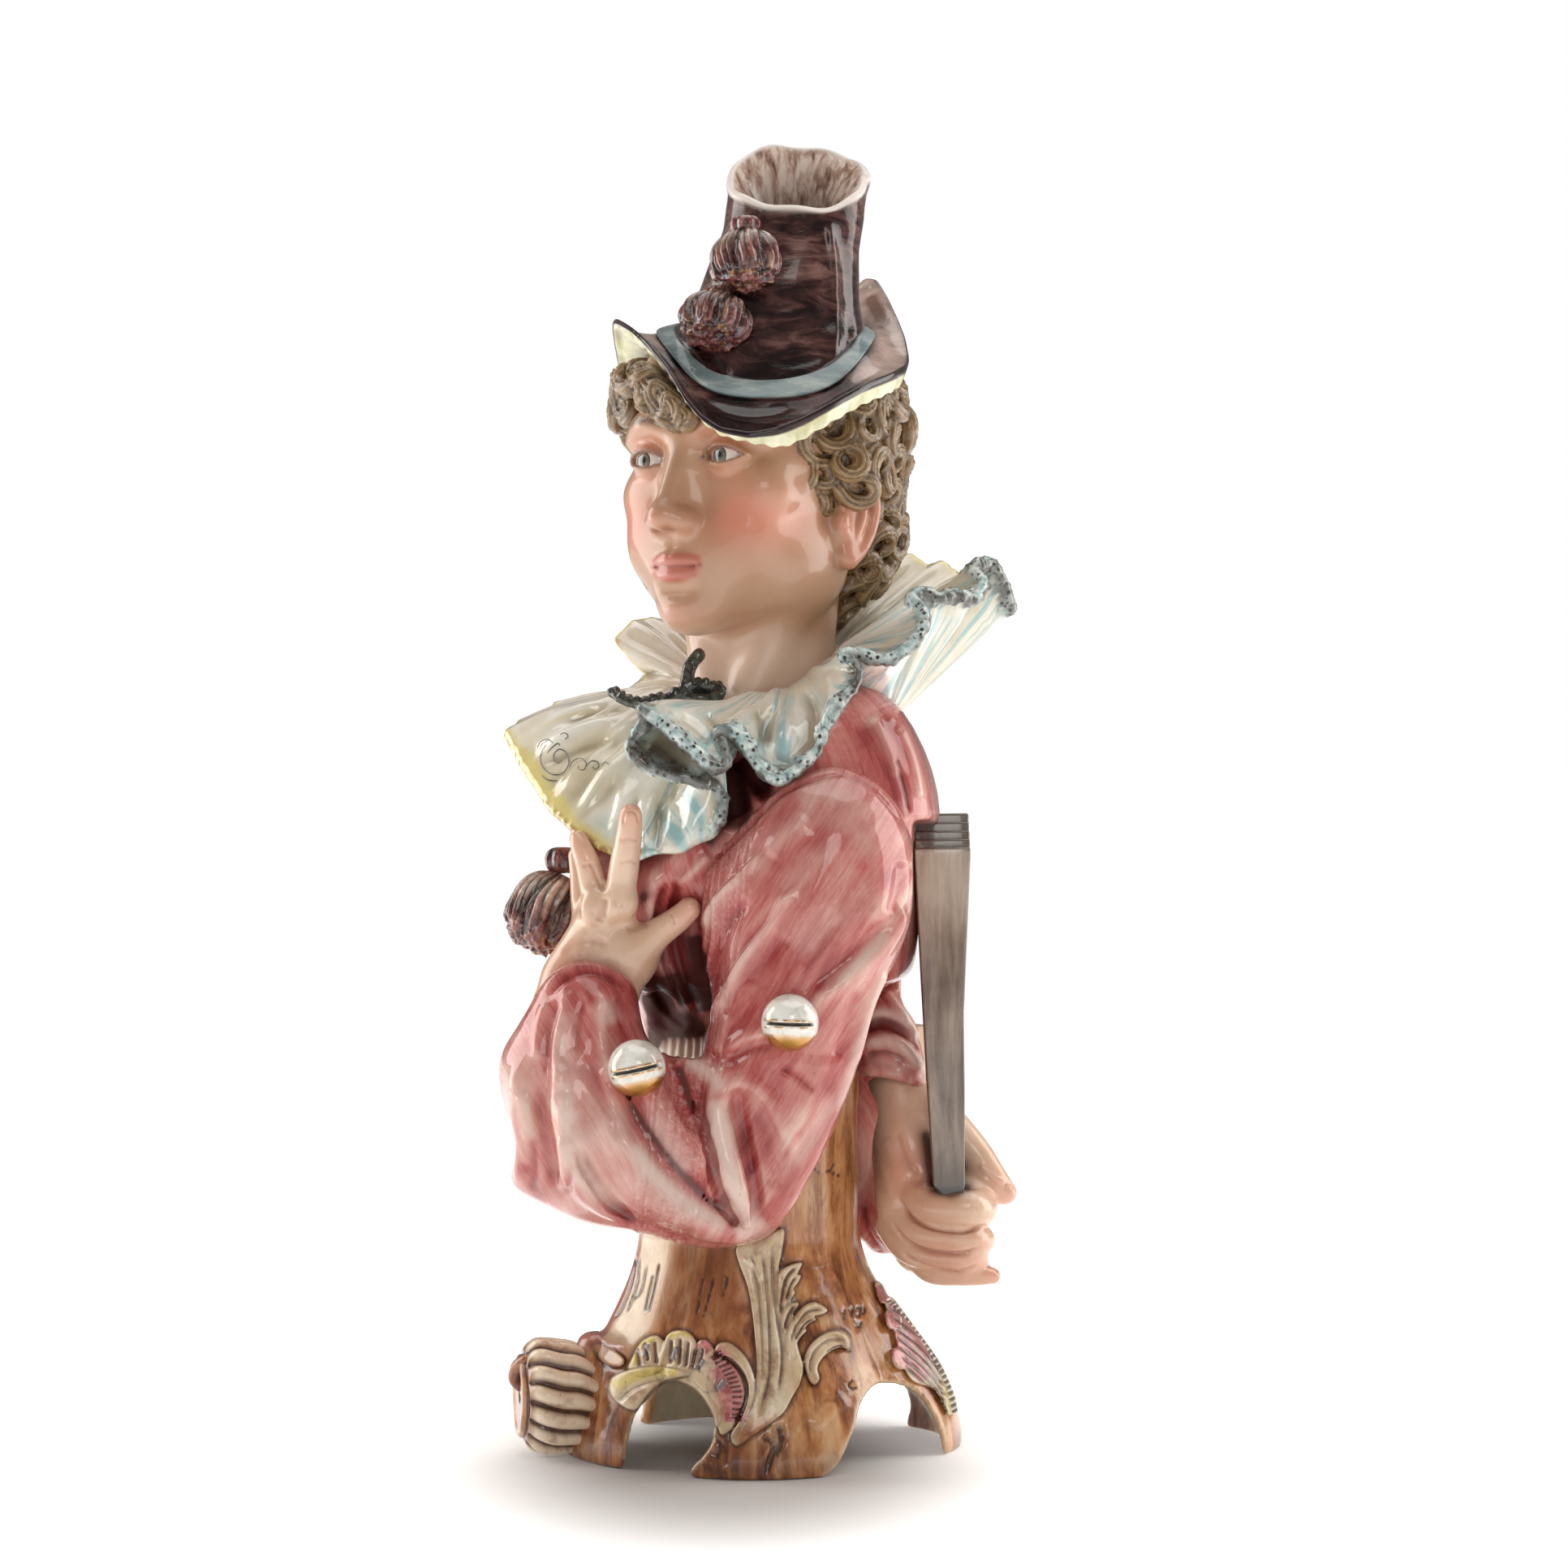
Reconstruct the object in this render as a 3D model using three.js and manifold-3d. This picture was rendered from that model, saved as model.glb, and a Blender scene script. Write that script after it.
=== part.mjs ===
import * as THREE from 'three';
import * as BufferGeometryUtils from 'three/addons/utils/BufferGeometryUtils.js';
import Module from 'manifold-3d';

// Majolica jester bust, one slip-cast and glazed earthenware body, in millimetres.
// The chest turns 12 degrees off -X, the head looks between -X and -Y, +Z is up.

const wasm = await Module();
wasm.setup();

// Figure frame: a point is given as front, left and up from the middle of the base
const figureTurn = THREE.MathUtils.degToRad(12);
const baseMiddleX = -18;

// Base
const columnDepth = 59;
const columnWidth = 55;
const baseTop = 200;
const footSpread = 57;
const spreadTop = 120;
const wall = 8;
const hollowTop = 150;
const archHeight = 45;
const frontArch = { width: 56, turn: 42 };
const backArch = { width: 80, turn: 138 };
const knobReach = 103;
const knobHeight = 30;
const knobSize = [29, 30, 30];
const knobLobes = 10;

// Trunk of the figure, as front offset, height, half depth and half width
const trunkRings = [
  [0, 192, 54, 54],
  [-2, 216, 57, 62],
  [0, 250, 72, 80],
  [6, 300, 98, 96],
  [0, 342, 96, 104],
  [-6, 372, 82, 100],
  [-4, 396, 60, 72],
  [0, 414, 45, 50],
];
const neckRadius = 38;
const neckTop = 470;

// Arms, as points with a half width and a half height
const nearUpperSleeve = [
  [19, -66, 352, 42, 34],
  [15, -84, 311, 52, 46],
  [10, -92, 265, 47, 46],
  [-2, -96, 219, 42, 44],
  [-18, -97, 178, 38, 42],
  [-28, -96, 160, 34, 38],
];
const nearLowerSleeve = [
  [-6, -96, 158, 40, 36],
  [-50, -98, 167, 46, 46],
  [-88, -94, 181, 46, 48],
  [-108, -88, 208, 40, 42],
  [-107, -84, 238, 34, 33],
  [-98, -80, 264, 24, 24],
];
const farUpperSleeve = [
  [12, 66, 352, 42, 34],
  [17, 84, 306, 50, 46],
  [22, 92, 255, 46, 44],
  [28, 96, 205, 42, 42],
  [34, 92, 172, 40, 40],
];
const farLowerSleeve = [
  [24, 96, 172, 34, 44],
  [42, 76, 171, 36, 56],
  [56, 52, 171, 36, 66],
  [62, 36, 171, 34, 70],
];

// Head: its middle, height, half width and half depth, and the way it looks
const headMiddle = [-14, -10];
const chinHeight = 438;
const crownHeight = 622;
const headHalfWidth = 62;
const headHalfDepth = 76;
const headTurn = THREE.MathUtils.degToRad(37);

// Hat
const hatFoot = [-6, -10, 574];
const hatRim = [7, -8, 685];
const hatRadii = [53, 45, 39, 36, 37];
const hatRimTilt = THREE.MathUtils.degToRad(36);
const hatTopDepth = 62;
const hatMouthWall = 5;
const brimThickness = 6;

// Brim edge and ruff edge, as turn from +X in degrees, reach and height
const brimMiddle = [-6, -10];
const brimEdge = [
  [0, 74, 612], [40, 84, 634], [80, 88, 632], [120, 88, 626], [155, 86, 612],
  [178, 86, 606], [205, 84, 598], [228, 88, 568], [255, 92, 543], [285, 92, 544],
  [315, 86, 562], [338, 78, 584],
];
const ruffMiddle = [-9, 0];
const ruffNeck = { reach: 37, height: 408, backRise: 16 };
const ruffEdge = [
  [0, 132, 462], [25, 122, 478], [55, 112, 470], [90, 108, 440], [125, 112, 424],
  [155, 124, 408], [180, 140, 388], [205, 132, 352], [232, 122, 322], [252, 118, 338],
  [272, 120, 362], [295, 112, 376], [318, 98, 410], [340, 108, 450],
];
const ruffThickness = 6;
const ruffFlutes = 12;
const ruffWave = 9;

// Things held and worn
const bellRadius = 14.5;
const bells = [[-74, -138, 216], [3, -139, 239]];
const clapper = { width: 31, thickness: 5, layers: 5, left: 69, near: -34, foot: 140, top: 327, step: 5 };
const pompons = [
  { at: [-124, -44, 292], size: [22, 21, 24], knob: [-119, -44, 320] },
  { at: [-22, -50, 641], size: [20, 16, 19], knob: [-20, -46, 662] },
  { at: [-37, -52, 605], size: [20, 16, 17], knob: [-35, -48, 621] },
];

function figure(front, left, up) {
  const c = Math.cos(figureTurn);
  const s = Math.sin(figureTurn);
  return new THREE.Vector3(baseMiddleX - front * c + left * s, -front * s - left * c, up);
}

function headPoint(front, left, up) {
  const c = Math.cos(headTurn);
  const s = Math.sin(headTurn);
  return new THREE.Vector3(headMiddle[0] - front * s + left * c, headMiddle[1] - front * c - left * s, up);
}

function smoothStep(low, high, value) {
  const t = THREE.MathUtils.clamp((value - low) / (high - low), 0, 1);
  return t * t * (3 - 2 * t);
}

// Smooth value of one column of a table at a place from 0 to 1, open or closed round
function along(table, column, place, closed) {
  const count = table.length;
  const span = closed ? count : count - 1;
  const at = closed ? ((place % 1) + 1) % 1 * span : THREE.MathUtils.clamp(place, 0, 1) * span;
  const cell = Math.min(Math.floor(at), span - 1);
  const t = at - cell;
  const pick = (k) => table[closed ? (k + count) % count : THREE.MathUtils.clamp(k, 0, count - 1)][column];
  const [a, b, c, d] = [pick(cell - 1), pick(cell), pick(cell + 1), pick(cell + 2)];
  return b + 0.5 * t * (c - a + t * (2 * a - 5 * b + 4 * c - d + t * (3 * (b - c) + d - a)));
}

// Moves every vertex of a geometry by a function and gives the closed solid
function solid(geometry, place) {
  const shape = geometry.clone();
  shape.deleteAttribute('normal');
  shape.deleteAttribute('uv');
  const merged = BufferGeometryUtils.mergeVertices(shape, 1e-4);
  const position = merged.getAttribute('position');
  const point = new THREE.Vector3();
  for (let i = 0; i < position.count; i += 1) {
    point.fromBufferAttribute(position, i);
    const moved = place ? place(point.clone()) : point;
    position.setXYZ(i, moved.x, moved.y, moved.z);
  }
  const index = Uint32Array.from(merged.index.array);
  if (signedVolume(position, index) < 0) {
    for (let i = 0; i < index.length; i += 3) {
      [index[i + 1], index[i + 2]] = [index[i + 2], index[i + 1]];
    }
  }
  return new wasm.Manifold(new wasm.Mesh({
    numProp: 3,
    vertProperties: Float32Array.from(position.array),
    triVerts: index,
  }));
}

function signedVolume(position, index) {
  const [a, b, c] = [new THREE.Vector3(), new THREE.Vector3(), new THREE.Vector3()];
  let sum = 0;
  for (let i = 0; i < index.length; i += 3) {
    a.fromBufferAttribute(position, index[i]);
    b.fromBufferAttribute(position, index[i + 1]);
    c.fromBufferAttribute(position, index[i + 2]);
    sum += a.dot(b.cross(c));
  }
  return sum;
}

function vec(list) {
  return new THREE.Vector3(list[0], list[1], list[2]);
}

// A rounded blob of three half sizes, turned about the vertical
function ball(middle, size, turn = 0, sides = 7, rings = 4) {
  return solid(new THREE.SphereGeometry(1, sides, rings), (p) => p
    .applyAxisAngle(new THREE.Vector3(1, 0, 0), Math.PI / 2)
    .multiply(vec(size))
    .applyAxisAngle(new THREE.Vector3(0, 0, 1), turn)
    .add(middle));
}

// A limb: oval sections along a smooth line, closed by domed ends
function limb(stations, sides, rings, fold = () => 1, endRound = 0.16) {
  const reference = new THREE.Vector3(0, -1, 0);
  return solid(new THREE.CylinderGeometry(1, 1, 1, sides, rings), (p) => {
    const place = p.y + 0.5;
    const at = (k) => new THREE.Vector3(...[0, 1, 2].map((c) => along(stations, c, k, false)));
    const ahead = at(Math.min(place + 0.02, 1)).sub(at(Math.max(place - 0.02, 0))).normalize();
    const across = new THREE.Vector3().crossVectors(reference, ahead).normalize();
    const out = new THREE.Vector3().crossVectors(ahead, across);
    const nearEnd = Math.min(place, 1 - place) / endRound;
    const dome = nearEnd >= 1 ? 1 : Math.sqrt(1 - (1 - nearEnd) ** 2 * 0.8);
    const angle = Math.atan2(p.x, p.z);
    const swell = dome * fold(angle, place) * Math.hypot(p.x, p.z);
    return at(place)
      .addScaledVector(across, Math.cos(angle) * along(stations, 3, place, false) * swell)
      .addScaledVector(out, Math.sin(angle) * along(stations, 4, place, false) * swell);
  });
}

// A finger: a thin round limb through a few points
function finger(points, thick, thin) {
  const stations = points.map((p, i) => {
    const radius = THREE.MathUtils.lerp(thick, thin, i / (points.length - 1));
    return [...p, radius, radius];
  });
  return limb(stations, 6, 4, () => 1, 0.2);
}

// A ring of sheet, from an inner to an outer edge, with a true thickness
function sheetRing(surface, thickness, around, across) {
  const torus = new THREE.TorusGeometry(2, 1, across * 2, around);
  return solid(torus, (p) => {
    const turn = Math.atan2(p.y, p.x);
    const section = Math.atan2(p.z, Math.hypot(p.x, p.y) - 2);
    const out = 1 - Math.abs(section) / Math.PI;
    const side = Math.sign(Math.round(Math.sin(section) * 1e6));
    const step = 0.01;
    const here = surface(turn, out);
    const alongOut = surface(turn, Math.min(out + step, 1)).sub(surface(turn, Math.max(out - step, 0)));
    const alongTurn = surface(turn + step, out).sub(surface(turn - step, out));
    const normal = alongOut.cross(alongTurn).normalize();
    return here.addScaledVector(normal, side * thickness / 2);
  });
}

// Base: the oval column spreads into four feet, knob foot in front
function baseReach(turn, height) {
  const ring = 1 / Math.hypot(Math.cos(turn) / columnDepth, Math.sin(turn) / columnWidth);
  const feet = 0.74 + 0.26 * Math.abs(Math.cos(2 * turn)) ** 0.8;
  const front = Math.max(Math.cos(turn), 0) ** 2;
  const flare = footSpread * (1 - smoothStep(5, spreadTop, height)) * feet * (1 - 0.3 * front);
  return ring + flare * (0.7 + 0.3 * Math.cos(turn) ** 2);
}

function baseSurface(turn, height, lift) {
  const reach = baseReach(turn, height) + lift;
  return figure(reach * Math.cos(turn), reach * Math.sin(turn), height);
}

function baseBody(inset, bottom, top, sides, rings) {
  return solid(new THREE.CylinderGeometry(1, 1, 1, sides, rings), (p) => {
    const turn = Math.atan2(p.x, p.z);
    const height = THREE.MathUtils.lerp(bottom, top, p.y + 0.5);
    const shrink = inset > 0 ? Math.sqrt(1 - smoothStep(top - 40, top, height) * 0.7) : 1;
    const reach = (baseReach(turn, height) - inset) * Math.hypot(p.x, p.z) * shrink;
    return figure(reach * Math.cos(turn), reach * Math.sin(turn), height);
  });
}

function archCut(arch, side) {
  const shape = new THREE.Shape();
  const half = arch.width / 2;
  shape.moveTo(-half * 0.86, -5);
  shape.lineTo(-half * 0.9, archHeight * 0.15);
  shape.quadraticCurveTo(-half * 1.1, archHeight, 0, archHeight);
  shape.quadraticCurveTo(half * 1.1, archHeight, half * 0.9, archHeight * 0.15);
  shape.lineTo(half * 0.86, -5);
  shape.closePath();
  const prism = new THREE.ExtrudeGeometry(shape, { depth: 120, bevelEnabled: false, curveSegments: 4 });
  const turn = side * THREE.MathUtils.degToRad(arch.turn);
  return solid(prism, (p) => figure(
    (p.z + 30) * Math.cos(turn) - p.x * Math.sin(turn),
    (p.z + 30) * Math.sin(turn) + p.x * Math.cos(turn),
    p.y,
  ));
}

// Gadrooned knob with its pole pointing to the front
function knob() {
  const middle = figure(knobReach, 0, knobHeight);
  return solid(new THREE.SphereGeometry(1, knobLobes * 2, 6), (p) => {
    const lobe = Math.atan2(p.x, p.z);
    const groove = 1 - 0.06 * (1 - Math.abs(Math.sin(lobe * knobLobes / 2)));
    const flat = Math.hypot(p.x, p.z) > 1e-6 ? groove : 1;
    const offset = figure(
      p.y * knobSize[0],
      p.x * knobSize[1] * flat,
      p.z * knobSize[2] * flat,
    ).sub(figure(0, 0, 0));
    return middle.clone().add(offset);
  });
}

// Raised strap that follows the base, through points of turn in degrees, height and half width
function strap(points, lift, steps) {
  return solid(new THREE.BoxGeometry(1, 1, 1, steps, 1, 1), (p) => {
    const place = p.x + 0.5;
    const at = (k) => [0, 1, 2].map((c) => along(points, c, k, false));
    const here = at(place);
    const next = at(Math.min(place + 0.02, 1));
    const last = at(Math.max(place - 0.02, 0));
    const reach = baseReach(THREE.MathUtils.degToRad(here[0]), here[1]);
    const run = THREE.MathUtils.degToRad(next[0] - last[0]) * reach;
    const rise = next[1] - last[1];
    const length = Math.hypot(run, rise);
    const shift = p.y * 2 * here[2];
    const turn = THREE.MathUtils.degToRad(here[0]) - rise / length * shift / reach;
    const height = here[1] + run / length * shift;
    return baseSurface(turn, height, p.z > 0 ? lift : -3);
  });
}

function acanthus(side) {
  const stem = [[90, 118, 9], [91, 80, 12], [92, 46, 15], [88, 14, 20]];
  const leaves = [
    [[96, 84, 6], [106, 96, 6], [114, 106, 1.5]],
    [[98, 62, 7], [108, 76, 7], [120, 84, 1.5]],
    [[102, 40, 4], [108, 58, 6], [120, 62, 2]],
    [[82, 22, 5], [74, 42, 6], [78, 62, 2]],
  ];
  const parts = [strap(stem, 4, 4)];
  for (const leaf of side > 0 ? leaves : leaves.slice(0, 2)) {
    parts.push(strap(leaf, 4, 2));
  }
  return parts.map((part) => (side > 0 ? part : part.mirror([
    Math.sin(figureTurn), -Math.cos(figureTurn), 0,
  ]).translate(mirrorShift())));
}

// A mirror plane runs through the world origin, so the copy is carried back to the figure's middle
function mirrorShift() {
  const normal = new THREE.Vector3(Math.sin(figureTurn), -Math.cos(figureTurn), 0);
  const middle = figure(0, 0, 0);
  const shift = normal.multiplyScalar(2 * middle.dot(normal));
  return [shift.x, shift.y, shift.z];
}

function archBand(side) {
  const low = side * (frontArch.turn + 26);
  const middle = side * frontArch.turn;
  const high = side * (frontArch.turn - 24);
  return strap([
    [low, 28, 6], [low - side * 6, 52, 7], [middle, 62, 7], [high, 54, 7], [high - side * 6, 40, 5],
  ], 4, 6);
}

function base() {
  const shell = baseBody(0, 0, baseTop, 24, 6)
    .subtract(baseBody(wall, -4, hollowTop, 12, 3));
  let body = shell;
  for (const side of [1, -1]) {
    body = body.subtract(archCut(frontArch, side)).subtract(archCut(backArch, side));
  }
  body = body.add(knob());
  for (const side of [1, -1]) {
    body = body.add(archBand(side));
    for (const part of acanthus(side)) {
      body = body.add(part);
    }
  }
  return body;
}

// Trunk of the figure in its loose jacket
function trunk() {
  return solid(new THREE.CylinderGeometry(1, 1, 1, 18, 8), (p) => {
    const place = p.y + 0.5;
    const [offset, height, depth, width] = [0, 1, 2, 3].map((c) => along(trunkRings, c, place, false));
    const turn = Math.atan2(p.x, p.z);
    const pleat = 1 + 0.012 * Math.sin(turn * 9 + place * 5);
    const reach = Math.hypot(p.x, p.z) * pleat;
    return figure(offset + depth * Math.cos(turn) * reach, width * Math.sin(turn) * reach, height);
  });
}

function sleeveFold(count, depth, twist) {
  return (angle, place) => 1 + depth * Math.sin(angle * count + place * twist);
}

function sleeves() {
  return [
    limb(nearUpperSleeve, 12, 7, sleeveFold(4, 0.03, 7)),
    limb(nearLowerSleeve, 12, 10, sleeveFold(5, 0.04, 9), 0.1),
    limb(farUpperSleeve, 12, 6, sleeveFold(4, 0.03, 7)),
    limb(farLowerSleeve, 12, 6, sleeveFold(5, 0.04, 8), 0.2),
  ];
}

function frontHand() {
  return [
    limb([[-98, -80, 252, 15, 13], [-96, -84, 276, 19, 12], [-93, -86, 298, 20, 11]], 8, 5),
    finger([[-84, -86, 296], [-82, -90, 320], [-79, -94, 347]], 7.5, 5.5),
    finger([[-100, -84, 296], [-102, -82, 316], [-107, -78, 335]], 7.5, 5.5),
    finger([[-108, -78, 292], [-114, -72, 310], [-117, -66, 326]], 7, 5),
    finger([[-88, -84, 274], [-70, -88, 284], [-50, -88, 299]], 8.5, 6),
  ];
}

function backHand() {
  const parts = [
    limb([[56, 26, 212, 15, 12], [60, 14, 184, 18, 14], [68, 4, 156, 21, 17], [76, -2, 138, 22, 18]], 10, 6),
    finger([[74, 8, 186], [94, 0, 164], [112, -8, 148], [123, -8, 137]], 9, 6),
  ];
  for (let i = 0; i < 4; i += 1) {
    const drop = i * 13;
    const tip = i === 3 ? 114 : 103;
    parts.push(finger([
      [62 + i * 2, 0, 148 - drop * 0.8],
      [78 - i, -16, 134 - drop],
      [94, -17, 133 - drop],
      [tip, -2, 134 - drop],
    ], 8.5, 7));
  }
  return parts;
}

// Closed wooden clapper of thin leaves, each a step higher than the one in front
function clapperLeaves() {
  const parts = [];
  for (let i = 0; i < clapper.layers; i += 1) {
    const top = clapper.top + i * clapper.step;
    const near = clapper.near + i * clapper.thickness;
    const leaf = new THREE.BoxGeometry(1, 1, 1, 1, 1, 1);
    parts.push(solid(leaf, (p) => {
      const height = p.z > 0 ? top : clapper.foot;
      const taper = p.z > 0 ? 1 : 0.6;
      const middle = clapper.left + clapper.width / 2 + (p.z > 0 ? 0 : 4);
      const depth = near + (p.y + 0.5) * (clapper.thickness + 0.6);
      return new THREE.Vector3(middle + p.x * clapper.width * taper, depth, height);
    }));
  }
  return parts;
}

function head() {
  const rise = (crownHeight - chinHeight) / 2;
  const eyeLine = chinHeight + rise;
  const noseBase = chinHeight + rise * 0.56;
  const mouthLine = chinHeight + rise * 0.38;
  const parts = [
    ball(headPoint(-4, 0, eyeLine + 8), [headHalfWidth, headHalfDepth - 4, rise - 8], -headTurn, 12, 8),
    ball(headPoint(14, 0, chinHeight + rise * 0.62), [50, 54, 56], -headTurn, 12, 6),
    ball(headPoint(42, 0, chinHeight + 14), [18, 20, 14], -headTurn),
    ball(headPoint(69, 0, noseBase + 6), [11, 11, 8], -headTurn),
    limb([
      [...headPoint(62, 0, eyeLine + 8).toArray(), 5, 6],
      [...headPoint(68, 0, noseBase + 16).toArray(), 6, 7],
      [...headPoint(75, 0, noseBase + 5).toArray(), 7, 7],
    ], 6, 4),
    ball(headPoint(60, 0, mouthLine), [19, 9, 8], -headTurn),
  ];
  for (const side of [1, -1]) {
    parts.push(ball(headPoint(54, side * 27, eyeLine), [12, 11, 9], -headTurn));
    parts.push(ball(headPoint(-6, side * 62, eyeLine - 18), [6, 13, 21], -headTurn));
  }
  parts.push(limb([
    [-14, 2, 396, 48, 46],
    [-9, 0, 424, neckRadius + 3, neckRadius + 3],
    [-6, -4, 450, neckRadius, neckRadius],
    [-6, -6, neckTop + 10, neckRadius, neckRadius],
  ], 12, 4));
  return parts;
}

// A mass of curls wraps the back and sides of the skull, with a row of curls over the brow
function hair() {
  const mass = solid(new THREE.SphereGeometry(1, 20, 10), (p) => {
    const turn = Math.atan2(p.x, p.z);
    const curl = 1 + 0.07 * Math.sin(turn * 6) * Math.sin(p.y * 8 + turn);
    const reach = Math.hypot(p.x, p.z) > 1e-6 ? curl : 1;
    return headPoint(-17 + p.z * 71 * reach, p.x * 70 * reach, 540 + p.y * 72);
  });
  const parts = [mass];
  for (let i = -2; i <= 2; i += 1) {
    const middle = headPoint(62 - Math.abs(i) * 7, i * 19 + 4, 582 - Math.abs(i) * 3);
    parts.push(ball(middle, [14, 12, 12]));
  }
  return parts;
}

function hatAxis(place) {
  return vec(hatFoot).lerp(vec(hatRim), place);
}

function rimDrop(point, place) {
  return (point.y - hatRim[1]) * Math.tan(hatRimTilt) * smoothStep(0.55, 1, place) * 0.82;
}

function hatBody() {
  const table = hatRadii.map((r) => [r]);
  const ridge = (turn) => 1 + 0.03 * Math.max(Math.cos(turn + 1.1), 0) ** 6;
  const crown = solid(new THREE.CylinderGeometry(1, 1, 1, 18, 6), (p) => {
    const place = p.y + 0.5;
    const turn = Math.atan2(p.x, p.z) - Math.PI / 2;
    const reach = along(table, 0, place, false) * Math.hypot(p.x, p.z) * ridge(turn);
    const point = hatAxis(place).add(new THREE.Vector3(Math.cos(turn), Math.sin(turn), 0).multiplyScalar(reach));
    point.z += rimDrop(point, place);
    return point;
  });
  const mouth = solid(new THREE.CylinderGeometry(1, 1, 1, 14, 3), (p) => {
    const place = p.y + 0.5;
    const turn = Math.atan2(p.x, p.z) - Math.PI / 2;
    const widest = hatRadii[hatRadii.length - 1] - hatMouthWall;
    const reach = THREE.MathUtils.lerp(13, widest, place ** 1.3) * Math.hypot(p.x, p.z);
    const depth = (1 - place) * hatTopDepth / (hatRim[2] - hatFoot[2]);
    const point = hatAxis(1 - depth);
    point.add(new THREE.Vector3(Math.cos(turn), Math.sin(turn), 0).multiplyScalar(reach));
    point.z += rimDrop(point, 1) * place + (place > 0.99 ? 1 : 0);
    return point;
  });
  return crown.subtract(mouth);
}

function turnTable(edge, turn) {
  const degrees = ((THREE.MathUtils.radToDeg(turn) % 360) + 360) % 360;
  let cell = edge.length - 1;
  while (cell > 0 && edge[cell][0] > degrees) {
    cell -= 1;
  }
  const low = edge[cell][0];
  const high = cell + 1 < edge.length ? edge[cell + 1][0] : 360 + edge[0][0];
  return (cell + (degrees - low) / (high - low)) / edge.length;
}

function brim() {
  return sheetRing((turn, out) => {
    const place = turnTable(brimEdge, turn);
    const inner = 44;
    const reach = THREE.MathUtils.lerp(inner, along(brimEdge, 1, place, true), out);
    const edgeHeight = along(brimEdge, 2, place, true);
    const rootHeight = 585 + 0.25 * (edgeHeight - 590);
    const height = THREE.MathUtils.lerp(rootHeight, edgeHeight, out ** 1.4);
    return new THREE.Vector3(
      brimMiddle[0] + reach * Math.cos(turn),
      brimMiddle[1] + reach * Math.sin(turn),
      height,
    );
  }, brimThickness, 28, 3);
}

function ruff() {
  return sheetRing((turn, out) => {
    const place = turnTable(ruffEdge, turn);
    const wave = Math.sin(turn * ruffFlutes + 1.2 * Math.sin(turn * 2));
    const reach = THREE.MathUtils.lerp(ruffNeck.reach, along(ruffEdge, 1, place, true), out);
    const root = ruffNeck.height + ruffNeck.backRise * Math.cos(turn);
    const edgeHeight = along(ruffEdge, 2, place, true);
    const bow = 10 * Math.sin(Math.PI * THREE.MathUtils.clamp(out, 0, 1));
    const height = THREE.MathUtils.lerp(root, edgeHeight, out) + bow + ruffWave * wave * out ** 1.2;
    const spread = reach - 4 * wave * out;
    return new THREE.Vector3(
      ruffMiddle[0] + spread * Math.cos(turn),
      ruffMiddle[1] + spread * Math.sin(turn),
      height,
    );
  }, ruffThickness, 64, 3);
}

function bell(middle) {
  const round = ball(vec(middle), [bellRadius, bellRadius, bellRadius], 0, 10, 6);
  const slot = solid(new THREE.BoxGeometry(bellRadius * 2.2, 7, 1.6), (p) => p
    .add(vec(middle)).add(new THREE.Vector3(0, -bellRadius + 1, 0)));
  return round.subtract(slot);
}

// Pompon: a fluted tuft that hangs from a small knob
function pompon(form) {
  const tuft = solid(new THREE.SphereGeometry(1, 14, 4), (p) => {
    const turn = Math.atan2(p.z, p.x);
    const flute = 1 - 0.09 * (1 - Math.abs(Math.sin(turn * 3.5))) * Math.hypot(p.x, p.z);
    return new THREE.Vector3(
      form.at[0] + p.x * form.size[0] * flute,
      form.at[1] - p.z * form.size[1] * flute,
      form.at[2] + p.y * form.size[2],
    );
  });
  return [tuft, ball(vec(form.knob), [8, 8, 8])];
}

function neckCord() {
  const knot = [[-62, -40, 404, 5, 5], [-45, -52, 408, 5, 5], [-30, -48, 410, 5, 5], [-26, -40, 416, 4, 4]];
  const loop = [[-50, -48, 404, 5, 5], [-60, -30, 410, 5, 5], [-56, -14, 420, 5, 5], [-50, -10, 432, 3, 3]];
  return [limb(knot, 6, 6), limb(loop, 6, 6)];
}

function bust() {
  const parts = [
    trunk(),
    ...sleeves(),
    ...frontHand(),
    ...backHand(),
    ...clapperLeaves(),
    ...head(),
    ...hair(),
    ruff(),
    ...neckCord(),
    brim(),
    ...bells.map(bell),
    ...pompons.flatMap(pompon),
  ];
  let body = base();
  for (const part of parts) {
    body = body.add(part);
  }
  return body.add(hatBody());
}

// The finished solid is moved so that the middle of its box, at its lowest point, is the origin
function centred(body) {
  const box = body.boundingBox();
  return body.translate([-(box.min[0] + box.max[0]) / 2, -(box.min[1] + box.max[1]) / 2, -box.min[2]]);
}

function meshOf(name, body, material) {
  const source = body.getMesh();
  const geometry = new THREE.BufferGeometry();
  geometry.setAttribute('position', new THREE.BufferAttribute(Float32Array.from(source.vertProperties), 3));
  geometry.setIndex(new THREE.BufferAttribute(Uint32Array.from(source.triVerts), 1));
  geometry.computeVertexNormals();
  const mesh = new THREE.Mesh(geometry, material);
  mesh.name = name;
  return mesh;
}

const glaze = new THREE.MeshStandardMaterial({ color: 0xc98a86, roughness: 0.18, metalness: 0 });
const bustGroup = new THREE.Group();
bustGroup.add(meshOf('jester_bust', centred(bust()), glaze));

export default bustGroup;
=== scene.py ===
import math

import bpy
import numpy as np
import openvdb
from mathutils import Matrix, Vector
from mathutils.bvhtree import BVHTree


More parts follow.
